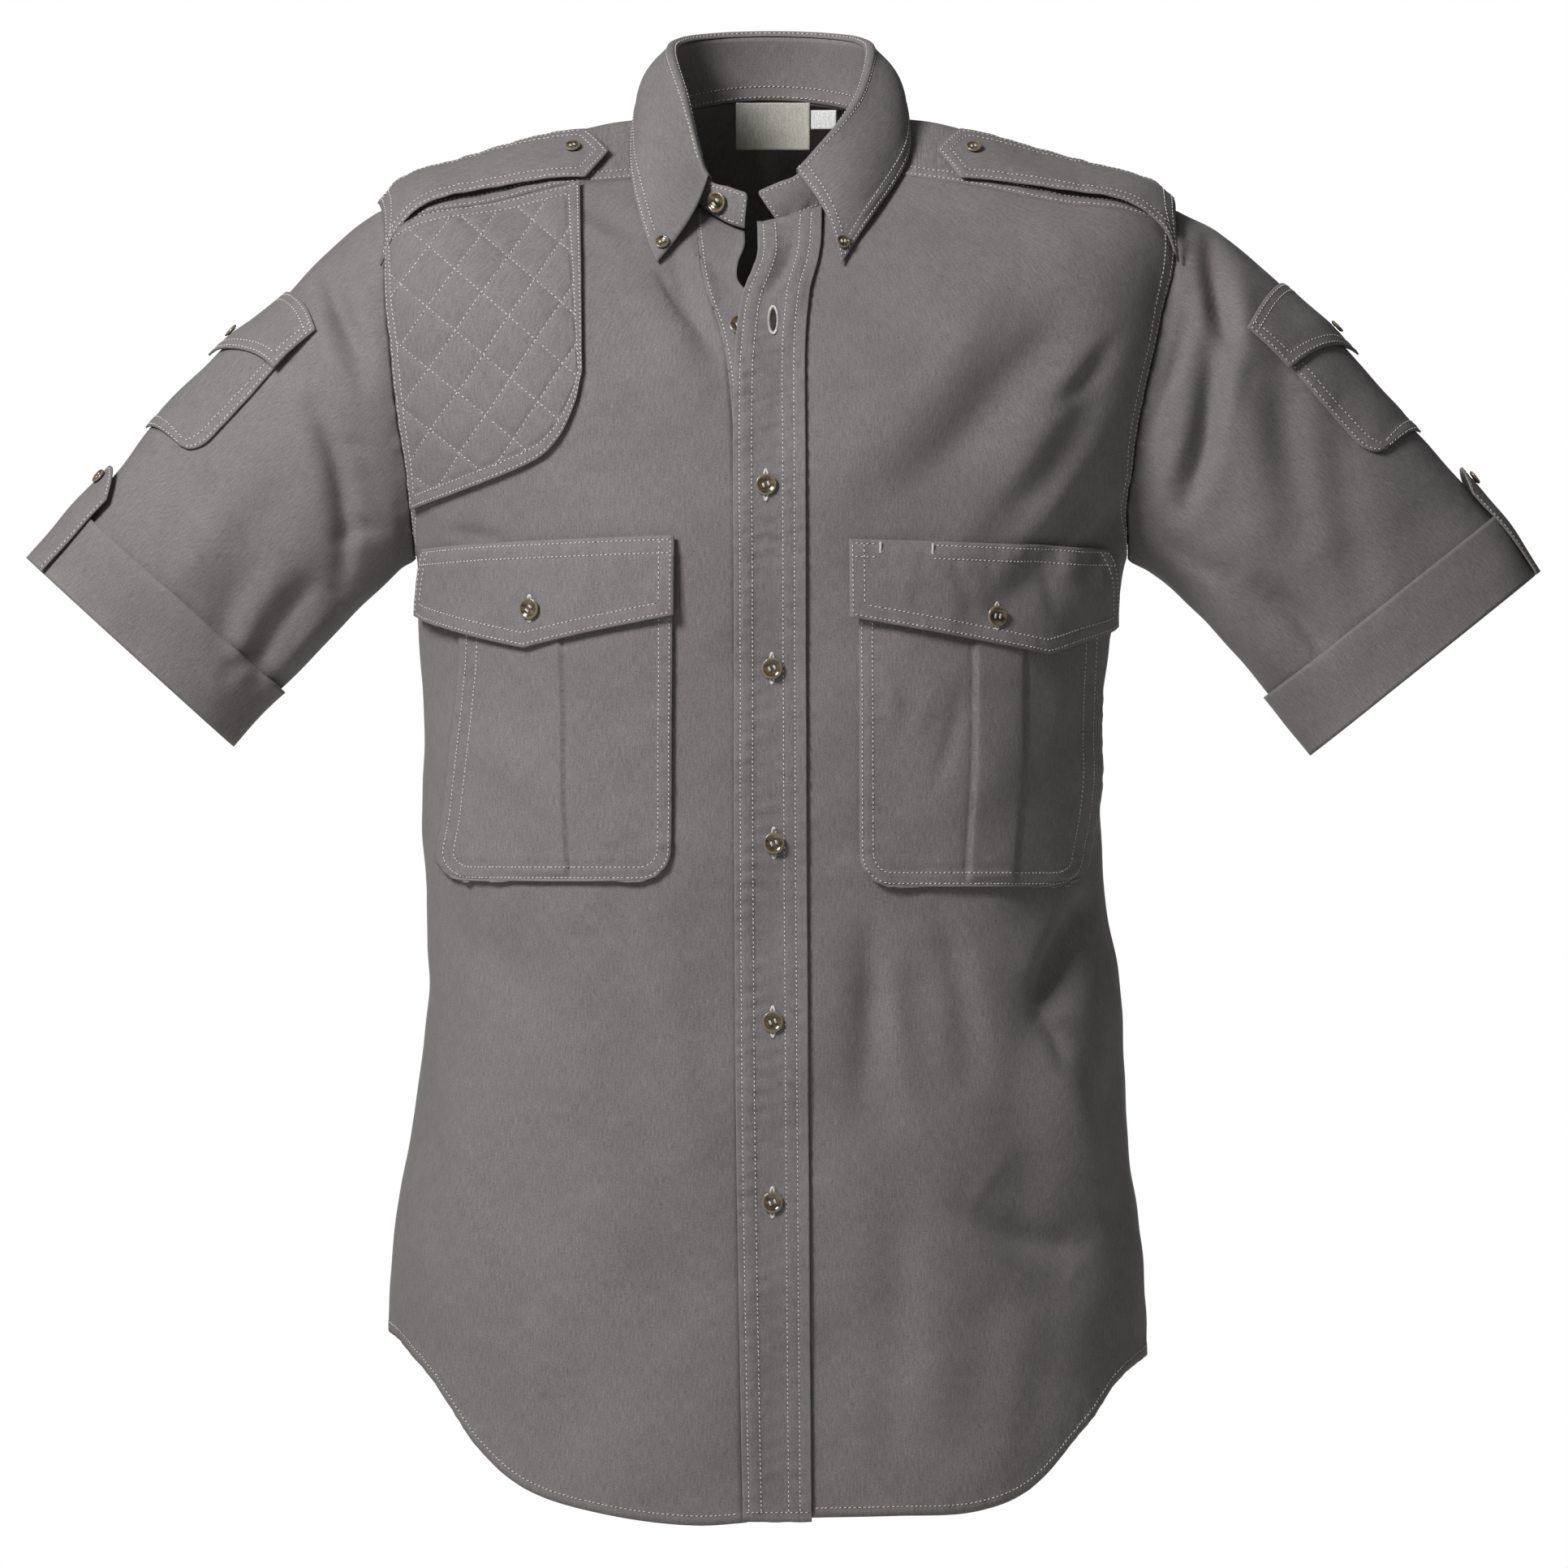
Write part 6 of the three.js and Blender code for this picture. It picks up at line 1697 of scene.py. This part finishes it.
FLAP_CREASES = table(
    CREASE_COLUMNS,
    (74, -236, 66, -256, 1, 5, 0.8, 0),
    (92, -232, 104, -262, 1, 5, -0.9, 0.3),
    (118, -228, 120, -250, 1, 6, 0.7, 0),
    (138, -232, 144, -262, 1, 5, -1.3, 0.4),
    (154, -232, 158, -262, 1, 5, 1.0, 0),
    (-96, -228, -98, -262, 1, 5, 0.6, 0),
    (-88, -226, -90, -250, 0, 3, -0.5, 0),
    (-150, -234, -160, -262, 2, 7, -0.6, 0),
    (-128, -262, -124, -276, 0, 5, 0.5, 0),
)


def patch_outline():
    """Outline of the patch in the front view, from its inner top corner round the armhole."""
    inset = PATCH["inset"]
    t = steps(24)
    seam = torso_base(*front_seam_place(-1, t))
    seam = seam[seam[:, 0] < PATCH["inner_top"]]
    along = np.stack([seam[:, 0], seam[:, 2] - inset * 1.4], -1)
    turns = mix(ARMHOLE["front_seam"] + 4, 150, steps(24))
    hole = torso_base(*armhole_place(-1, turns))
    hole = hole[hole[:, 2] > PATCH["outer_low"]]
    hole = np.stack([hole[:, 0] + inset, hole[:, 2]], -1)
    corner = [PATCH["inner_top"], seam[0, 2] + (seam[0, 0] - PATCH["inner_top"]) * -0.25 - inset]
    inner = [[PATCH["inner_low"], PATCH["straight_to"]]]
    low = [[hole[-1, 0] + 1, PATCH["outer_low"]]]
    return (np.array([corner, *along[:-1], [hole[0, 0], hole[0, 1] - inset]]), hole,
            np.array([*low, *PATCH["curve"][::-1]]), np.array([*inner, corner]))


def resampled(path, count):
    s = length_along(path)
    at = np.linspace(0, s[-1], count)
    return np.stack([np.interp(at, s, path[:, k]) for k in range(path.shape[1])], -1)


def rounded_path(points, count):
    """Smooth curve through a few points, evenly spaced."""
    return resampled(curve_at(points, np.linspace(0, len(points) - 1, count * 3)), count)


def patch_view_grid(columns, rows):
    """Grid of the front view over the patch: columns from its armhole side, rows up from its lower edge."""
    top, hole, low, inner = patch_outline()
    outer_side = resampled(hole[::-1], rows)
    inner_side = resampled(inner, rows)
    lower = rounded_path(np.concatenate([hole[-1:], low[1:], inner[:1]]), columns)
    upper = resampled(top[::-1], columns)
    outer_side[-1], inner_side[-1] = upper[0], upper[-1]
    outer_side[0], inner_side[0] = lower[0], lower[-1]
    s, t = np.linspace(0, 1, columns), np.linspace(0, 1, rows)
    grid = fill_patch(lower.T, upper.T, outer_side.T, inner_side.T, s, t)
    return grid[0], grid[1]


def quilt_lines(x, z):
    """Distances from the two families of quilting lines."""
    a, b = np.array(PATCH["step_a"]), np.array(PATCH["step_b"])
    origin = PATCH["origin"]
    det = a[0] * b[1] - a[1] * b[0]
    dx, dz = x - origin[0], z - origin[1]
    u = (dx * b[1] - dz * b[0]) / det
    v = (a[0] * dz - a[1] * dx) / det
    gap_u = np.abs(u - np.rint(u)) * abs(det) / np.hypot(*b)
    gap_v = np.abs(v - np.rint(v)) * abs(det) / np.hypot(*a)
    return gap_u, gap_v


def build_patch():
    x, z = patch_view_grid(114, 128)
    sheet = Sheet(*on_front(x, z))
    gaps = sheet.edges()
    near = sheet.near()
    gap_u, gap_v = quilt_lines(x, z)
    quilted = smoothstep(PATCH["border"], PATCH["border"] + 2.5, near)
    seat = np.minimum(gap_u, gap_v)
    puff = np.sqrt(np.clip(np.minimum(gap_u, 5) * np.minimum(gap_v, 5), 0, None)) / 5
    sheet.out += PATCH["lift"] + CLOTH + quilted * (PATCH["puff"] * 0.62 * puff - 0.4 * bell(seat, 0.8))
    sheet.out += seam_relief(near, "patch")
    sheet.out += pucker(near, gaps["low"] + gaps["first"], "patch", 91)
    wear = np.maximum(bell(near, WEAR_WIDTH), quilted * bell(seat, 1.5) * 0.8)
    cloth_object("cloth_quilted_patch", sheet, ["quilted_patch"],
                 wear=wear, even=False, grain="upright")
    sew_rows("patch", sheet, ROWS["patch"], [(edge, None, None, 93) for edge in gaps], step=1)
    quilt_stitches(sheet, x, z, near)


# How many quilting lines are tried to either side of the middle one
QUILT_REACH = 9


def quilt_stitches(sheet, x, z, near):
    """Lines of stitches over the quilting, clipped to the inside of the border."""
    a, b = np.array(PATCH["step_a"]), np.array(PATCH["step_b"])
    origin = np.array(PATCH["origin"])
    flat = np.stack([x.ravel(), z.ravel()], -1)
    tree = tree_of([(px, 0, pz) for px, pz in flat])
    points, ways, gaps = sheet.raised().reshape(-1, 3), sheet.normals.reshape(-1, 3), near.ravel()
    reach = QUILT_REACH
    for across, along in ((a, b), (b, a)):
        for line in range(-reach, reach + 1):
            spots = origin + across * line + along * np.arange(-reach, reach, 0.05)[:, None]
            chosen = []
            for px, pz in spots:
                _, k, far = tree.find((px, 0, pz))
                if far < 1.2 and gaps[k] > PATCH["border"] - 1.5:
                    moved = points[k] + np.array([px - flat[k, 0], 0, pz - flat[k, 1]])
                    chosen.append((moved, ways[k]))
            if len(chosen) > 6:
                sew("patch", (np.array([c[0] for c in chosen]), np.array([c[1] for c in chosen])), pitch=2.9,
                    seed=220 + line + (40 if across is a else 0))


# Shoulder tabs


def build_epaulette(key):
    place = EPAULETTES[key]
    side = math.copysign(1, place["outer"])
    form = EPAULETTE
    t = steps(64)[:, None]
    q = np.linspace(-1, 1, 33)[None, :]
    tip = side * form["point"] * (1 - np.abs(q))
    x = mix(place["outer"], place["inner"] + side * form["point"] - tip, t)
    y = mix(place["y_outer"], place["y_inner"], t) + q * mix(form["half_outer"], form["half_inner"], t)
    sheet = Sheet(*on_top(x, y))
    near = sheet.near("first", "last", "high")
    sheet.out += form["lift"] + form["thick"] + seam_relief(near, "epaulette")
    sheet.out += pucker(near, sheet.edges()["low"], "epaulette", 101)
    sheet.out += 1.6 * bell(t - 0.45, 0.2) * bell(q + 1, 0.5)
    cloth_object(f"cloth_epaulette_{key}", sheet, [f"epaulette_{key}"])
    for k, row in enumerate(ROWS["epaulette"]):
        for edge in ("first", "last"):
            sew("epaulettes", sheet.line(edge, row, 2, row), seed=103 + k)
        sew("epaulettes", sheet.line("high", row, row, row), seed=105 + k)
        sew("epaulettes", sheet.line("low", row + 1, row, row), seed=107 + k)


# Tags


TAG_WALL = 0.0006


def tag_sheet(form, rows, columns):
    ring = {name: column[0] for name, column in TORSO.items()}
    t, s = steps(rows)[:, None], steps(columns)[None, :]
    x = np.broadcast_to(mix(form["x1"], form["x2"], s), (rows + 1, columns + 1))
    neck = ring["back"] * np.sqrt(1 - (x / ring["right"]) ** 2)
    ways = unit(np.stack([-x / ring["right"], -neck / ring["back"], np.zeros_like(x)], -1))
    z = np.broadcast_to(mix(form["z1"], form["z2"], t), x.shape)
    return Sheet(np.stack([x, neck - form["stand_off"] + form["hang"] * t, z], -1), ways)


def build_tags():
    for name, form, rows, columns in (("neck_label", LABEL, 26, 40), ("size_tab", SIZE_TAB, 12, 14)):
        sheet = tag_sheet(form, rows, columns)
        gaps = sheet.edges()
        sheet.out += 0.25 * np.sin(gaps["first"] / 5) * smoothstep(0, 4, gaps["low"])
        label = name == "neck_label"
        border = bell(sheet.near() - 2.2, 0.5) if label else np.zeros(sheet.out.shape)
        material, slot = (("label_weave", "label_cloth") if label else ("tab_weave", "tab_cloth"))
        cloth_object(f"woven_{name}", sheet, [name], wear=border, material=material, thick=TAG_WALL)


# Buttons


SEAT_GAP = 0.35
BUTTON_SEATS = (("placket", "cloth_placket"), ("half_hidden", "cloth_button_stand"),
                ("stand_end", "cloth_collar_stand"), ("chest_flap", "cloth_chest_flap_"),
                ("epaulette", "cloth_epaulette_"), ("sleeve_flap", "cloth_sleeve_flap_"),
                ("roll_tab", "cloth_roll_tab_"), ("collar", "cloth_collar"))


def button_places():
    """Centre and outward direction of every button, from its solid's box and the cloth under it."""
    ways = {}
    for k in range(len(PLACKET_BUTTONS["x"])):
        ways[f"button_placket_{k + 1}"] = on_front(PLACKET_BUTTONS["x"][k], PLACKET_BUTTONS["z"][k])[1]
    ways["button_half_hidden"] = on_front(*HALF_HIDDEN_BUTTON)[1]
    ways["button_stand_end"] = on_stand(*STAND_BUTTON)[1]
    for key, place in FLAP_BUTTONS.items():
        ways[f"button_chest_flap_{key}"] = on_front(*place)[1]
    collar_sheet = made["cloth_collar"]
    points = collar_sheet.raised().reshape(-1, 3)
    for key in ("right", "left"):
        form = EPAULETTES[key]
        x = form["inner"] + math.copysign(EPAULETTE["button_in"], form["outer"])
        ways[f"button_epaulette_{key}"] = on_top(x, form["y_inner"])[1]
        ways[f"button_sleeve_flap_{key}"] = on_sleeve(key, 0.0, SLEEVE_BUTTONS["flap"])[1]
        ways[f"button_roll_tab_{key}"] = on_sleeve(key, ROLL_TAB["middle"][key], SLEEVE_BUTTONS["tab"])[1]
        low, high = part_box(f"button_collar_{key}")
        centre = np.array((low + high) / 2) / MM
        ways[f"button_collar_{key}"] = collar_sheet.normals.reshape(-1, 3)[
            int(np.argmin(np.linalg.norm(points - centre, axis=1)))]
    places = {}
    for name, way in ways.items():
        low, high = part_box(name)
        centre, way = np.array((low + high) / 2) / MM, unit(np.asarray(way, float))
        places[name] = (centre + way * seat_height(name, centre, way), way)
    return places


def seat_height(name, centre, way):
    """How far a button moves along its axis to lie on the cloth that carries it."""
    piece = next(piece for word, piece in BUTTON_SEATS if word in name)
    if piece.endswith("_"):
        piece += "right" if name.endswith("right") else "left"
    offsets = made[piece].raised().reshape(-1, 3) - centre
    heights = offsets @ way
    aside = np.linalg.norm(offsets - heights[:, None] * way, axis=1) + 0.3 * np.abs(heights)
    return heights[int(np.argmin(aside))] + button_size(name)[1] / 2 + SEAT_GAP


def button_size(name):
    if "collar" in name:
        return BUTTON_SIZES["collar"]
    small = any(word in name for word in ("epaulette", "sleeve", "roll"))
    return BUTTON_SIZES["small" if small else "large"]


def axes_matrix(centre, way, turn=0.0):
    rotation = Vector((0, 0, 1)).rotation_difference(Vector(way)).to_matrix().to_4x4()
    return Matrix.Translation(Vector(centre) * MM) @ rotation @ Matrix.Rotation(turn, 4, "Z")


# Half section of a button, as shares of its radius and of its thickness, and its dished middle
BUTTON_PROFILE = ((0.0, 0.0), (0.62, 0.0), (0.86, 0.22), (0.98, 0.5), (1.0, 0.7), (0.96, 0.92), (0.88, 1.0),
                  (0.78, 0.97), (0.68, 0.84), (0.58, 0.7), (0.3, 0.64), (0.0, 0.63))
BUTTON_DISH = 0.64 - 0.5


def build_button(name, centre, way):
    """A horn button turned on its axis, with near-black discs painted as the shade in its four holes, and two
    bars of thread.
    """
    radius, thick = button_size(name)
    bm = bmesh.new()
    verts = [bm.verts.new((r * radius, 0, (h - 0.5) * thick)) for r, h in BUTTON_PROFILE]
    edges = [bm.edges.new(pair) for pair in zip(verts[:-1], verts[1:])]
    bmesh.ops.spin(bm, geom=verts + edges, cent=(0, 0, 0), axis=(0, 0, 1), angle=2 * math.pi, steps=32,
                   use_merge=True, use_duplicate=False)
    bmesh.ops.remove_doubles(bm, verts=bm.verts, dist=0.001)
    bmesh.ops.recalc_face_normals(bm, faces=bm.faces)
    rim = [smoothstep(0.74, 0.9, v.co.xy.length / radius) * smoothstep(0.2, 0.5, v.co.z / thick + 0.5)
           for v in bm.verts]
    bm.transform(axes_matrix(centre, way) @ Matrix.Scale(MM, 4))
    mesh = mesh_of(bm, f"horn_{name}")
    mesh.attributes.new("wear", "FLOAT", "POINT").data.foreach_set("value", [float(v) * 0.75 for v in rim])
    mesh.shade_smooth()
    new_object(f"horn_{name}", mesh, "glossy_horn", [name])
    dish = BUTTON_DISH * thick
    side, turn = 0.24 * radius, 0.35
    matrix = axes_matrix(centre, way, turn)
    # Near-black discs painted as the shade in the four holes, just above the dish
    holes = bmesh.new()
    for sx in (-1, 1):
        for sy in (-1, 1):
            spot = Matrix.Translation((sx * side, sy * side, dish + 0.03))
            bmesh.ops.create_cone(holes, cap_ends=True, segments=12, radius1=0.15 * radius,
                                  radius2=0.13 * radius, depth=0.08, matrix=spot)
    holes.transform(matrix @ Matrix.Scale(MM, 4))
    new_object(f"eyes_{name}", mesh_of(holes, f"eyes_{name}"), "needle_hole")
    centre, way = np.asarray(centre), np.asarray(way)
    basis = np.array(matrix.to_3x3())
    middle, along, ups = [], [], []
    for offset in (-1, 1):
        for lane in (-0.28, 0.28):
            place = np.array([offset * side + lane, 0, dish + 0.35])
            middle.append(centre + basis @ place)
            along.append(basis @ np.array([0, 1, 0]))
            ups.append(way)
    middle = np.array(middle)
    add_threads("buttons", middle, np.array(along), np.array(ups), middle - way * 0.5, bead_reach(side * 1.25))


def build_buttons():
    for name, (centre, way) in button_places().items():
        build_button(name, centre, way)
    placket = made["cloth_placket"]
    for x, z in zip(PLACKET_BUTTONS["x"], PLACKET_BUTTONS["z"]):
        buttonhole("placket", placket, x, z, BUTTONHOLES["placket"])
    hole = OPEN_BUTTONHOLE
    half = buttonhole("placket", placket, hole["x"], hole["z"], hole["length"], hole["gape"])
    # The open slit's darkness is painted shade: a near-black disc on the placket
    slit_object("open_buttonhole", placket, hole["x"], hole["z"], half * 0.8, hole["gape"] / 2)
    for key, (x, z) in FLAP_BUTTONS.items():
        buttonhole(f"pocket_{key}", made[f"cloth_chest_flap_{key}"], x, z, BUTTONHOLES["flap"])


def slit_object(name, sheet, x, z, half, wide):
    """A near-black disc painted as the shade in the opening of a buttonhole that no button fills."""
    bm = bmesh.new()
    bmesh.ops.create_circle(bm, cap_ends=True, segments=24, radius=1)
    flat = np.array([v.co for v in bm.verts])
    points, ways = view_line(sheet, np.stack([x + flat[:, 1] * wide, z + flat[:, 0] * half], -1))
    for v, p, way in zip(bm.verts, points, ways):
        v.co = Vector(p + way * 0.35) * MM
    bmesh.ops.solidify(bm, geom=bm.faces[:], thickness=0.0001)
    bmesh.ops.recalc_face_normals(bm, faces=bm.faces)
    new_object(name, mesh_of(bm, name), "needle_hole")


# Settings


class ShirtClothSettings(bpy.types.PropertyGroup):
    """Sizes and colours of the cloth."""

    wall: FloatProperty(name="Wall", description="Thickness of a made-up layer of cloth", default=0.0011,
                        min=0.0003, max=0.003, unit="LENGTH")
    front_columns: IntProperty(name="Front columns", description="Faces across a front", default=84, min=12)
    back_columns: IntProperty(name="Back columns", description="Faces across the back", default=116, min=12)
    rise_rows: IntProperty(name="Rise rows", description="Faces from the armpit up", default=72, min=8)
    fall_rows: IntProperty(name="Fall rows", description="Faces from the hem to the armpit", default=140, min=8)
    sleeve_columns: IntProperty(name="Sleeve columns", description="Faces round a sleeve", default=156,
                                min=12)
    sleeve_rows: IntProperty(name="Sleeve rows", description="Faces along a sleeve", default=84, min=8)
    crease_depth: FloatProperty(name="Crease depth", default=1.5, min=0, max=3,
                                description="Depth of the small creases, as a share of their tables'")
    colour: FloatVectorProperty(name="Cloth colour", description="Warm mid grey of the dyed cotton",
                                subtype="COLOR", default=(0.190, 0.178, 0.175), size=3, min=0, max=1)
    label_colour: FloatVectorProperty(name="Label colour", description="Cream of the neck label",
                                      subtype="COLOR", default=(0.50, 0.49, 0.43), size=3, min=0, max=1)
    tab_colour: FloatVectorProperty(name="Tab colour", description="White of the size tab", subtype="COLOR",
                                    default=(0.75, 0.75, 0.74), size=3, min=0, max=1)


class ShirtThreadSettings(bpy.types.PropertyGroup):
    """Sizes and colour of the stitching."""

    stitch: FloatProperty(name="Stitch", description="Length of one stitch", default=0.0019, unit="LENGTH")
    gap: FloatProperty(name="Gap", description="Gap between two stitches", default=0.0006, unit="LENGTH")
    radius: FloatProperty(name="Radius", description="Half the thickness of the thread", default=0.00031,
                          unit="LENGTH")
    colour: FloatVectorProperty(name="Thread colour", description="Light grey of the thread", subtype="COLOR",
                                default=(0.74, 0.71, 0.67), size=3, min=0, max=1)


class ShirtButtonSettings(bpy.types.PropertyGroup):
    """Colours of the horn buttons."""

    dark: FloatVectorProperty(name="Dark horn", description="Dark clouds of the horn", subtype="COLOR",
                              default=(0.022, 0.015, 0.009), size=3, min=0, max=1)
    light: FloatVectorProperty(name="Light horn", description="Light clouds of the horn", subtype="COLOR",
                               default=(0.17, 0.125, 0.07), size=3, min=0, max=1)
    rim: FloatVectorProperty(name="Rim", description="Worn rim of the horn", subtype="COLOR",
                             default=(0.26, 0.22, 0.155), size=3, min=0, max=1)


class ShirtStageSettings(bpy.types.PropertyGroup):
    """Camera and light."""

    distance: FloatProperty(name="Distance", description="Camera's distance", default=18.0, unit="LENGTH")
    frame_width: FloatProperty(name="Frame width", description="Width that the picture shows", default=0.8308,
                               unit="LENGTH")
    centre: FloatVectorProperty(name="Centre", description="Point that the camera looks at", size=3,
                                default=(0.0069, 0.0, -0.3509), subtype="TRANSLATION")
    key: FloatProperty(name="Key light", description="Power of the key light at the front left", default=49.0,
                       min=0)
    back: FloatProperty(name="Back light", description="Power of the light behind", default=70.0, min=0)
    fill: FloatProperty(name="Fill light", description="Power of the fill light", default=2.5, min=0)
    surround: FloatProperty(name="Surround", description="Light from all round", default=0.13, min=0)


# Operators


class SHIRT_OT_body(bpy.types.Operator):
    """Builds the two fronts, the back and the yoke"""

    bl_idname = "shirt.body"
    bl_label = "Body"

    def execute(self, context):
        build_fronts()
        build_back()
        build_yoke()
        for group in ("front_right", "front_left", "back", "yoke"):
            make_stitches(group)
        return {"FINISHED"}


class SHIRT_OT_collar(bpy.types.Operator):
    """Builds the collar's stand and leaf"""

    bl_idname = "shirt.collar"
    bl_label = "Collar"

    def execute(self, context):
        build_collar()
        make_stitches("collar")
        return {"FINISHED"}


class SHIRT_OT_sleeves(bpy.types.Operator):
    """Builds the sleeves with their cuffs, pockets, flaps and roll-up tabs"""

    bl_idname = "shirt.sleeves"
    bl_label = "Sleeves"

    def execute(self, context):
        for key in ("right", "left"):
            build_sleeve(key)
            make_stitches(f"sleeve_{key}")
        return {"FINISHED"}


class SHIRT_OT_placket(bpy.types.Operator):
    """Builds the placket and the button stand"""

    bl_idname = "shirt.placket"
    bl_label = "Placket"

    def execute(self, context):
        build_plackets()
        return {"FINISHED"}


class SHIRT_OT_pockets(bpy.types.Operator):
    """Builds the chest pockets and their flaps"""

    bl_idname = "shirt.pockets"
    bl_label = "Chest pockets"

    def execute(self, context):
        for key in ("right", "left"):
            build_chest_pocket(key)
            build_chest_flap(key)
        return {"FINISHED"}


class SHIRT_OT_patch(bpy.types.Operator):
    """Builds the quilted shoulder patch"""

    bl_idname = "shirt.patch"
    bl_label = "Quilted patch"

    def execute(self, context):
        build_patch()
        make_stitches("patch")
        return {"FINISHED"}


class SHIRT_OT_epaulettes(bpy.types.Operator):
    """Builds the two shoulder tabs"""

    bl_idname = "shirt.epaulettes"
    bl_label = "Shoulder tabs"

    def execute(self, context):
        for key in ("right", "left"):
            build_epaulette(key)
        make_stitches("epaulettes")
        return {"FINISHED"}


class SHIRT_OT_buttons(bpy.types.Operator):
    """Builds the buttons, their buttonholes and the stitching that goes with them"""

    bl_idname = "shirt.buttons"
    bl_label = "Buttons"

    def execute(self, context):
        build_buttons()
        for group in ("placket", "pocket_right", "pocket_left", "buttons"):
            make_stitches(group)
        return {"FINISHED"}


class SHIRT_OT_tags(bpy.types.Operator):
    """Builds the bare neck label and size tab"""

    bl_idname = "shirt.tags"
    bl_label = "Tags"

    def execute(self, context):
        build_tags()
        return {"FINISHED"}


class SHIRT_OT_stage(bpy.types.Operator):
    """Makes the floor, the lights and the camera"""

    bl_idname = "shirt.stage"
    bl_label = "Stage"

    def execute(self, context):
        build_stage(context.scene)
        return {"FINISHED"}


# Each light's place, target and size in metres, and the setting that gives its power
LIGHTS = {
    "key": ((-1.15, -1.45, 0.95), (0, 0, -0.3), 0.65, "key"),
    "fill": ((-0.8, -3.2, -0.6), (0, 0, -0.35), 2.0, "fill"),
    "top": ((-0.6, 0.5, 2.2), (0, 0, -0.2), 1.2, "fill"),
    "back": ((0, 3.4, 0.1), (0, 0, -0.35), 1.6, "back"),
}
FLOOR = {"half": 3, "level": -1.3}


def area_light(name, place, target, size, power):
    data = bpy.data.lights.new(name, "AREA")
    data.shape = "SQUARE"
    data.size = size
    data.energy = power
    obj = bpy.data.objects.new(name, data)
    obj.location = place
    obj.visible_camera = False
    obj.rotation_mode = "QUATERNION"
    obj.rotation_quaternion = (Vector(target) - Vector(place)).to_track_quat("-Z", "Y")
    bpy.context.scene.collection.objects.link(obj)


def build_floor(scene):
    bm = bmesh.new()
    bmesh.ops.create_grid(bm, x_segments=1, y_segments=1, size=FLOOR["half"])
    bm.transform(Matrix.Translation((0, 0, FLOOR["level"])))
    floor = bpy.data.objects.new("floor", mesh_of(bm, "floor"))
    scene.collection.objects.link(floor)
    floor.data.materials.append(material_named("pale_floor"))


def build_world(scene):
    """White to the camera, and a dimmer white that lights the shirt from all round."""
    world = bpy.data.worlds.new("studio")
    scene.world = world
    world.use_nodes = True
    tree = world.node_tree
    background, seen = tree.nodes["Background"], tree.nodes.new("ShaderNodeBackground")
    set_inputs(background, Color=(1, 1, 1, 1), Strength=scene.shirt_stage.surround)
    set_inputs(seen, Color=(1, 1, 1, 1), Strength=1.0)
    path = tree.nodes.new("ShaderNodeLightPath")
    both = tree.nodes.new("ShaderNodeMixShader")
    link(tree, path.outputs["Is Camera Ray"], both.inputs[0])
    link(tree, background.outputs[0], both.inputs[1])
    link(tree, seen.outputs[0], both.inputs[2])
    link(tree, both.outputs[0], tree.nodes["World Output"].inputs["Surface"])
    scene.view_settings.view_transform = "Standard"


def build_camera(scene):
    settings = scene.shirt_stage
    camera = bpy.data.cameras.new("camera")
    camera.sensor_width = 36
    camera.lens = camera.sensor_width * settings.distance / settings.frame_width
    camera.dof.use_dof = False
    camera.clip_end = 100
    obj = bpy.data.objects.new("camera", camera)
    obj.location = Vector(settings.centre) + Vector((0, -settings.distance, 0))
    obj.rotation_euler = (math.pi / 2, 0, 0)
    scene.collection.objects.link(obj)
    scene.camera = obj


def build_stage(scene):
    build_floor(scene)
    build_world(scene)
    for name, (place, target, size, setting) in LIGHTS.items():
        area_light(name, place, target, size, getattr(scene.shirt_stage, setting))
    build_camera(scene)


OPERATORS = (SHIRT_OT_body, SHIRT_OT_placket, SHIRT_OT_collar, SHIRT_OT_sleeves, SHIRT_OT_pockets,
             SHIRT_OT_patch, SHIRT_OT_epaulettes, SHIRT_OT_buttons, SHIRT_OT_tags, SHIRT_OT_stage)


class SHIRT_PT_panel(bpy.types.Panel):
    """Lists the shirt's settings and the steps that build it"""

    bl_idname = "SHIRT_PT_panel"
    bl_label = "Safari Shirt"
    bl_space_type = "VIEW_3D"
    bl_region_type = "UI"
    bl_category = "Shirt"

    def draw(self, context):
        for key, cls in GROUPS.items():
            for name in cls.__annotations__:
                self.layout.prop(getattr(context.scene, key), name)
        for operator in OPERATORS:
            self.layout.operator(operator.bl_idname)


GROUPS = {"shirt_cloth": ShirtClothSettings, "shirt_thread": ShirtThreadSettings,
          "shirt_buttons": ShirtButtonSettings, "shirt_stage": ShirtStageSettings}


def register():
    for cls in (*GROUPS.values(), *OPERATORS, SHIRT_PT_panel):
        bpy.utils.register_class(cls)
    for name, cls in GROUPS.items():
        setattr(bpy.types.Scene, name, PointerProperty(type=cls))


def unregister():
    for name in GROUPS:
        delattr(bpy.types.Scene, name)
    for cls in reversed((*GROUPS.values(), *OPERATORS, SHIRT_PT_panel)):
        bpy.utils.unregister_class(cls)


def main():
    """Builds every piece in order."""
    register()
    for operator in OPERATORS:
        group, name = operator.bl_idname.split(".")
        getattr(getattr(bpy.ops, group), name)()


if __name__ == "__main__":
    main()
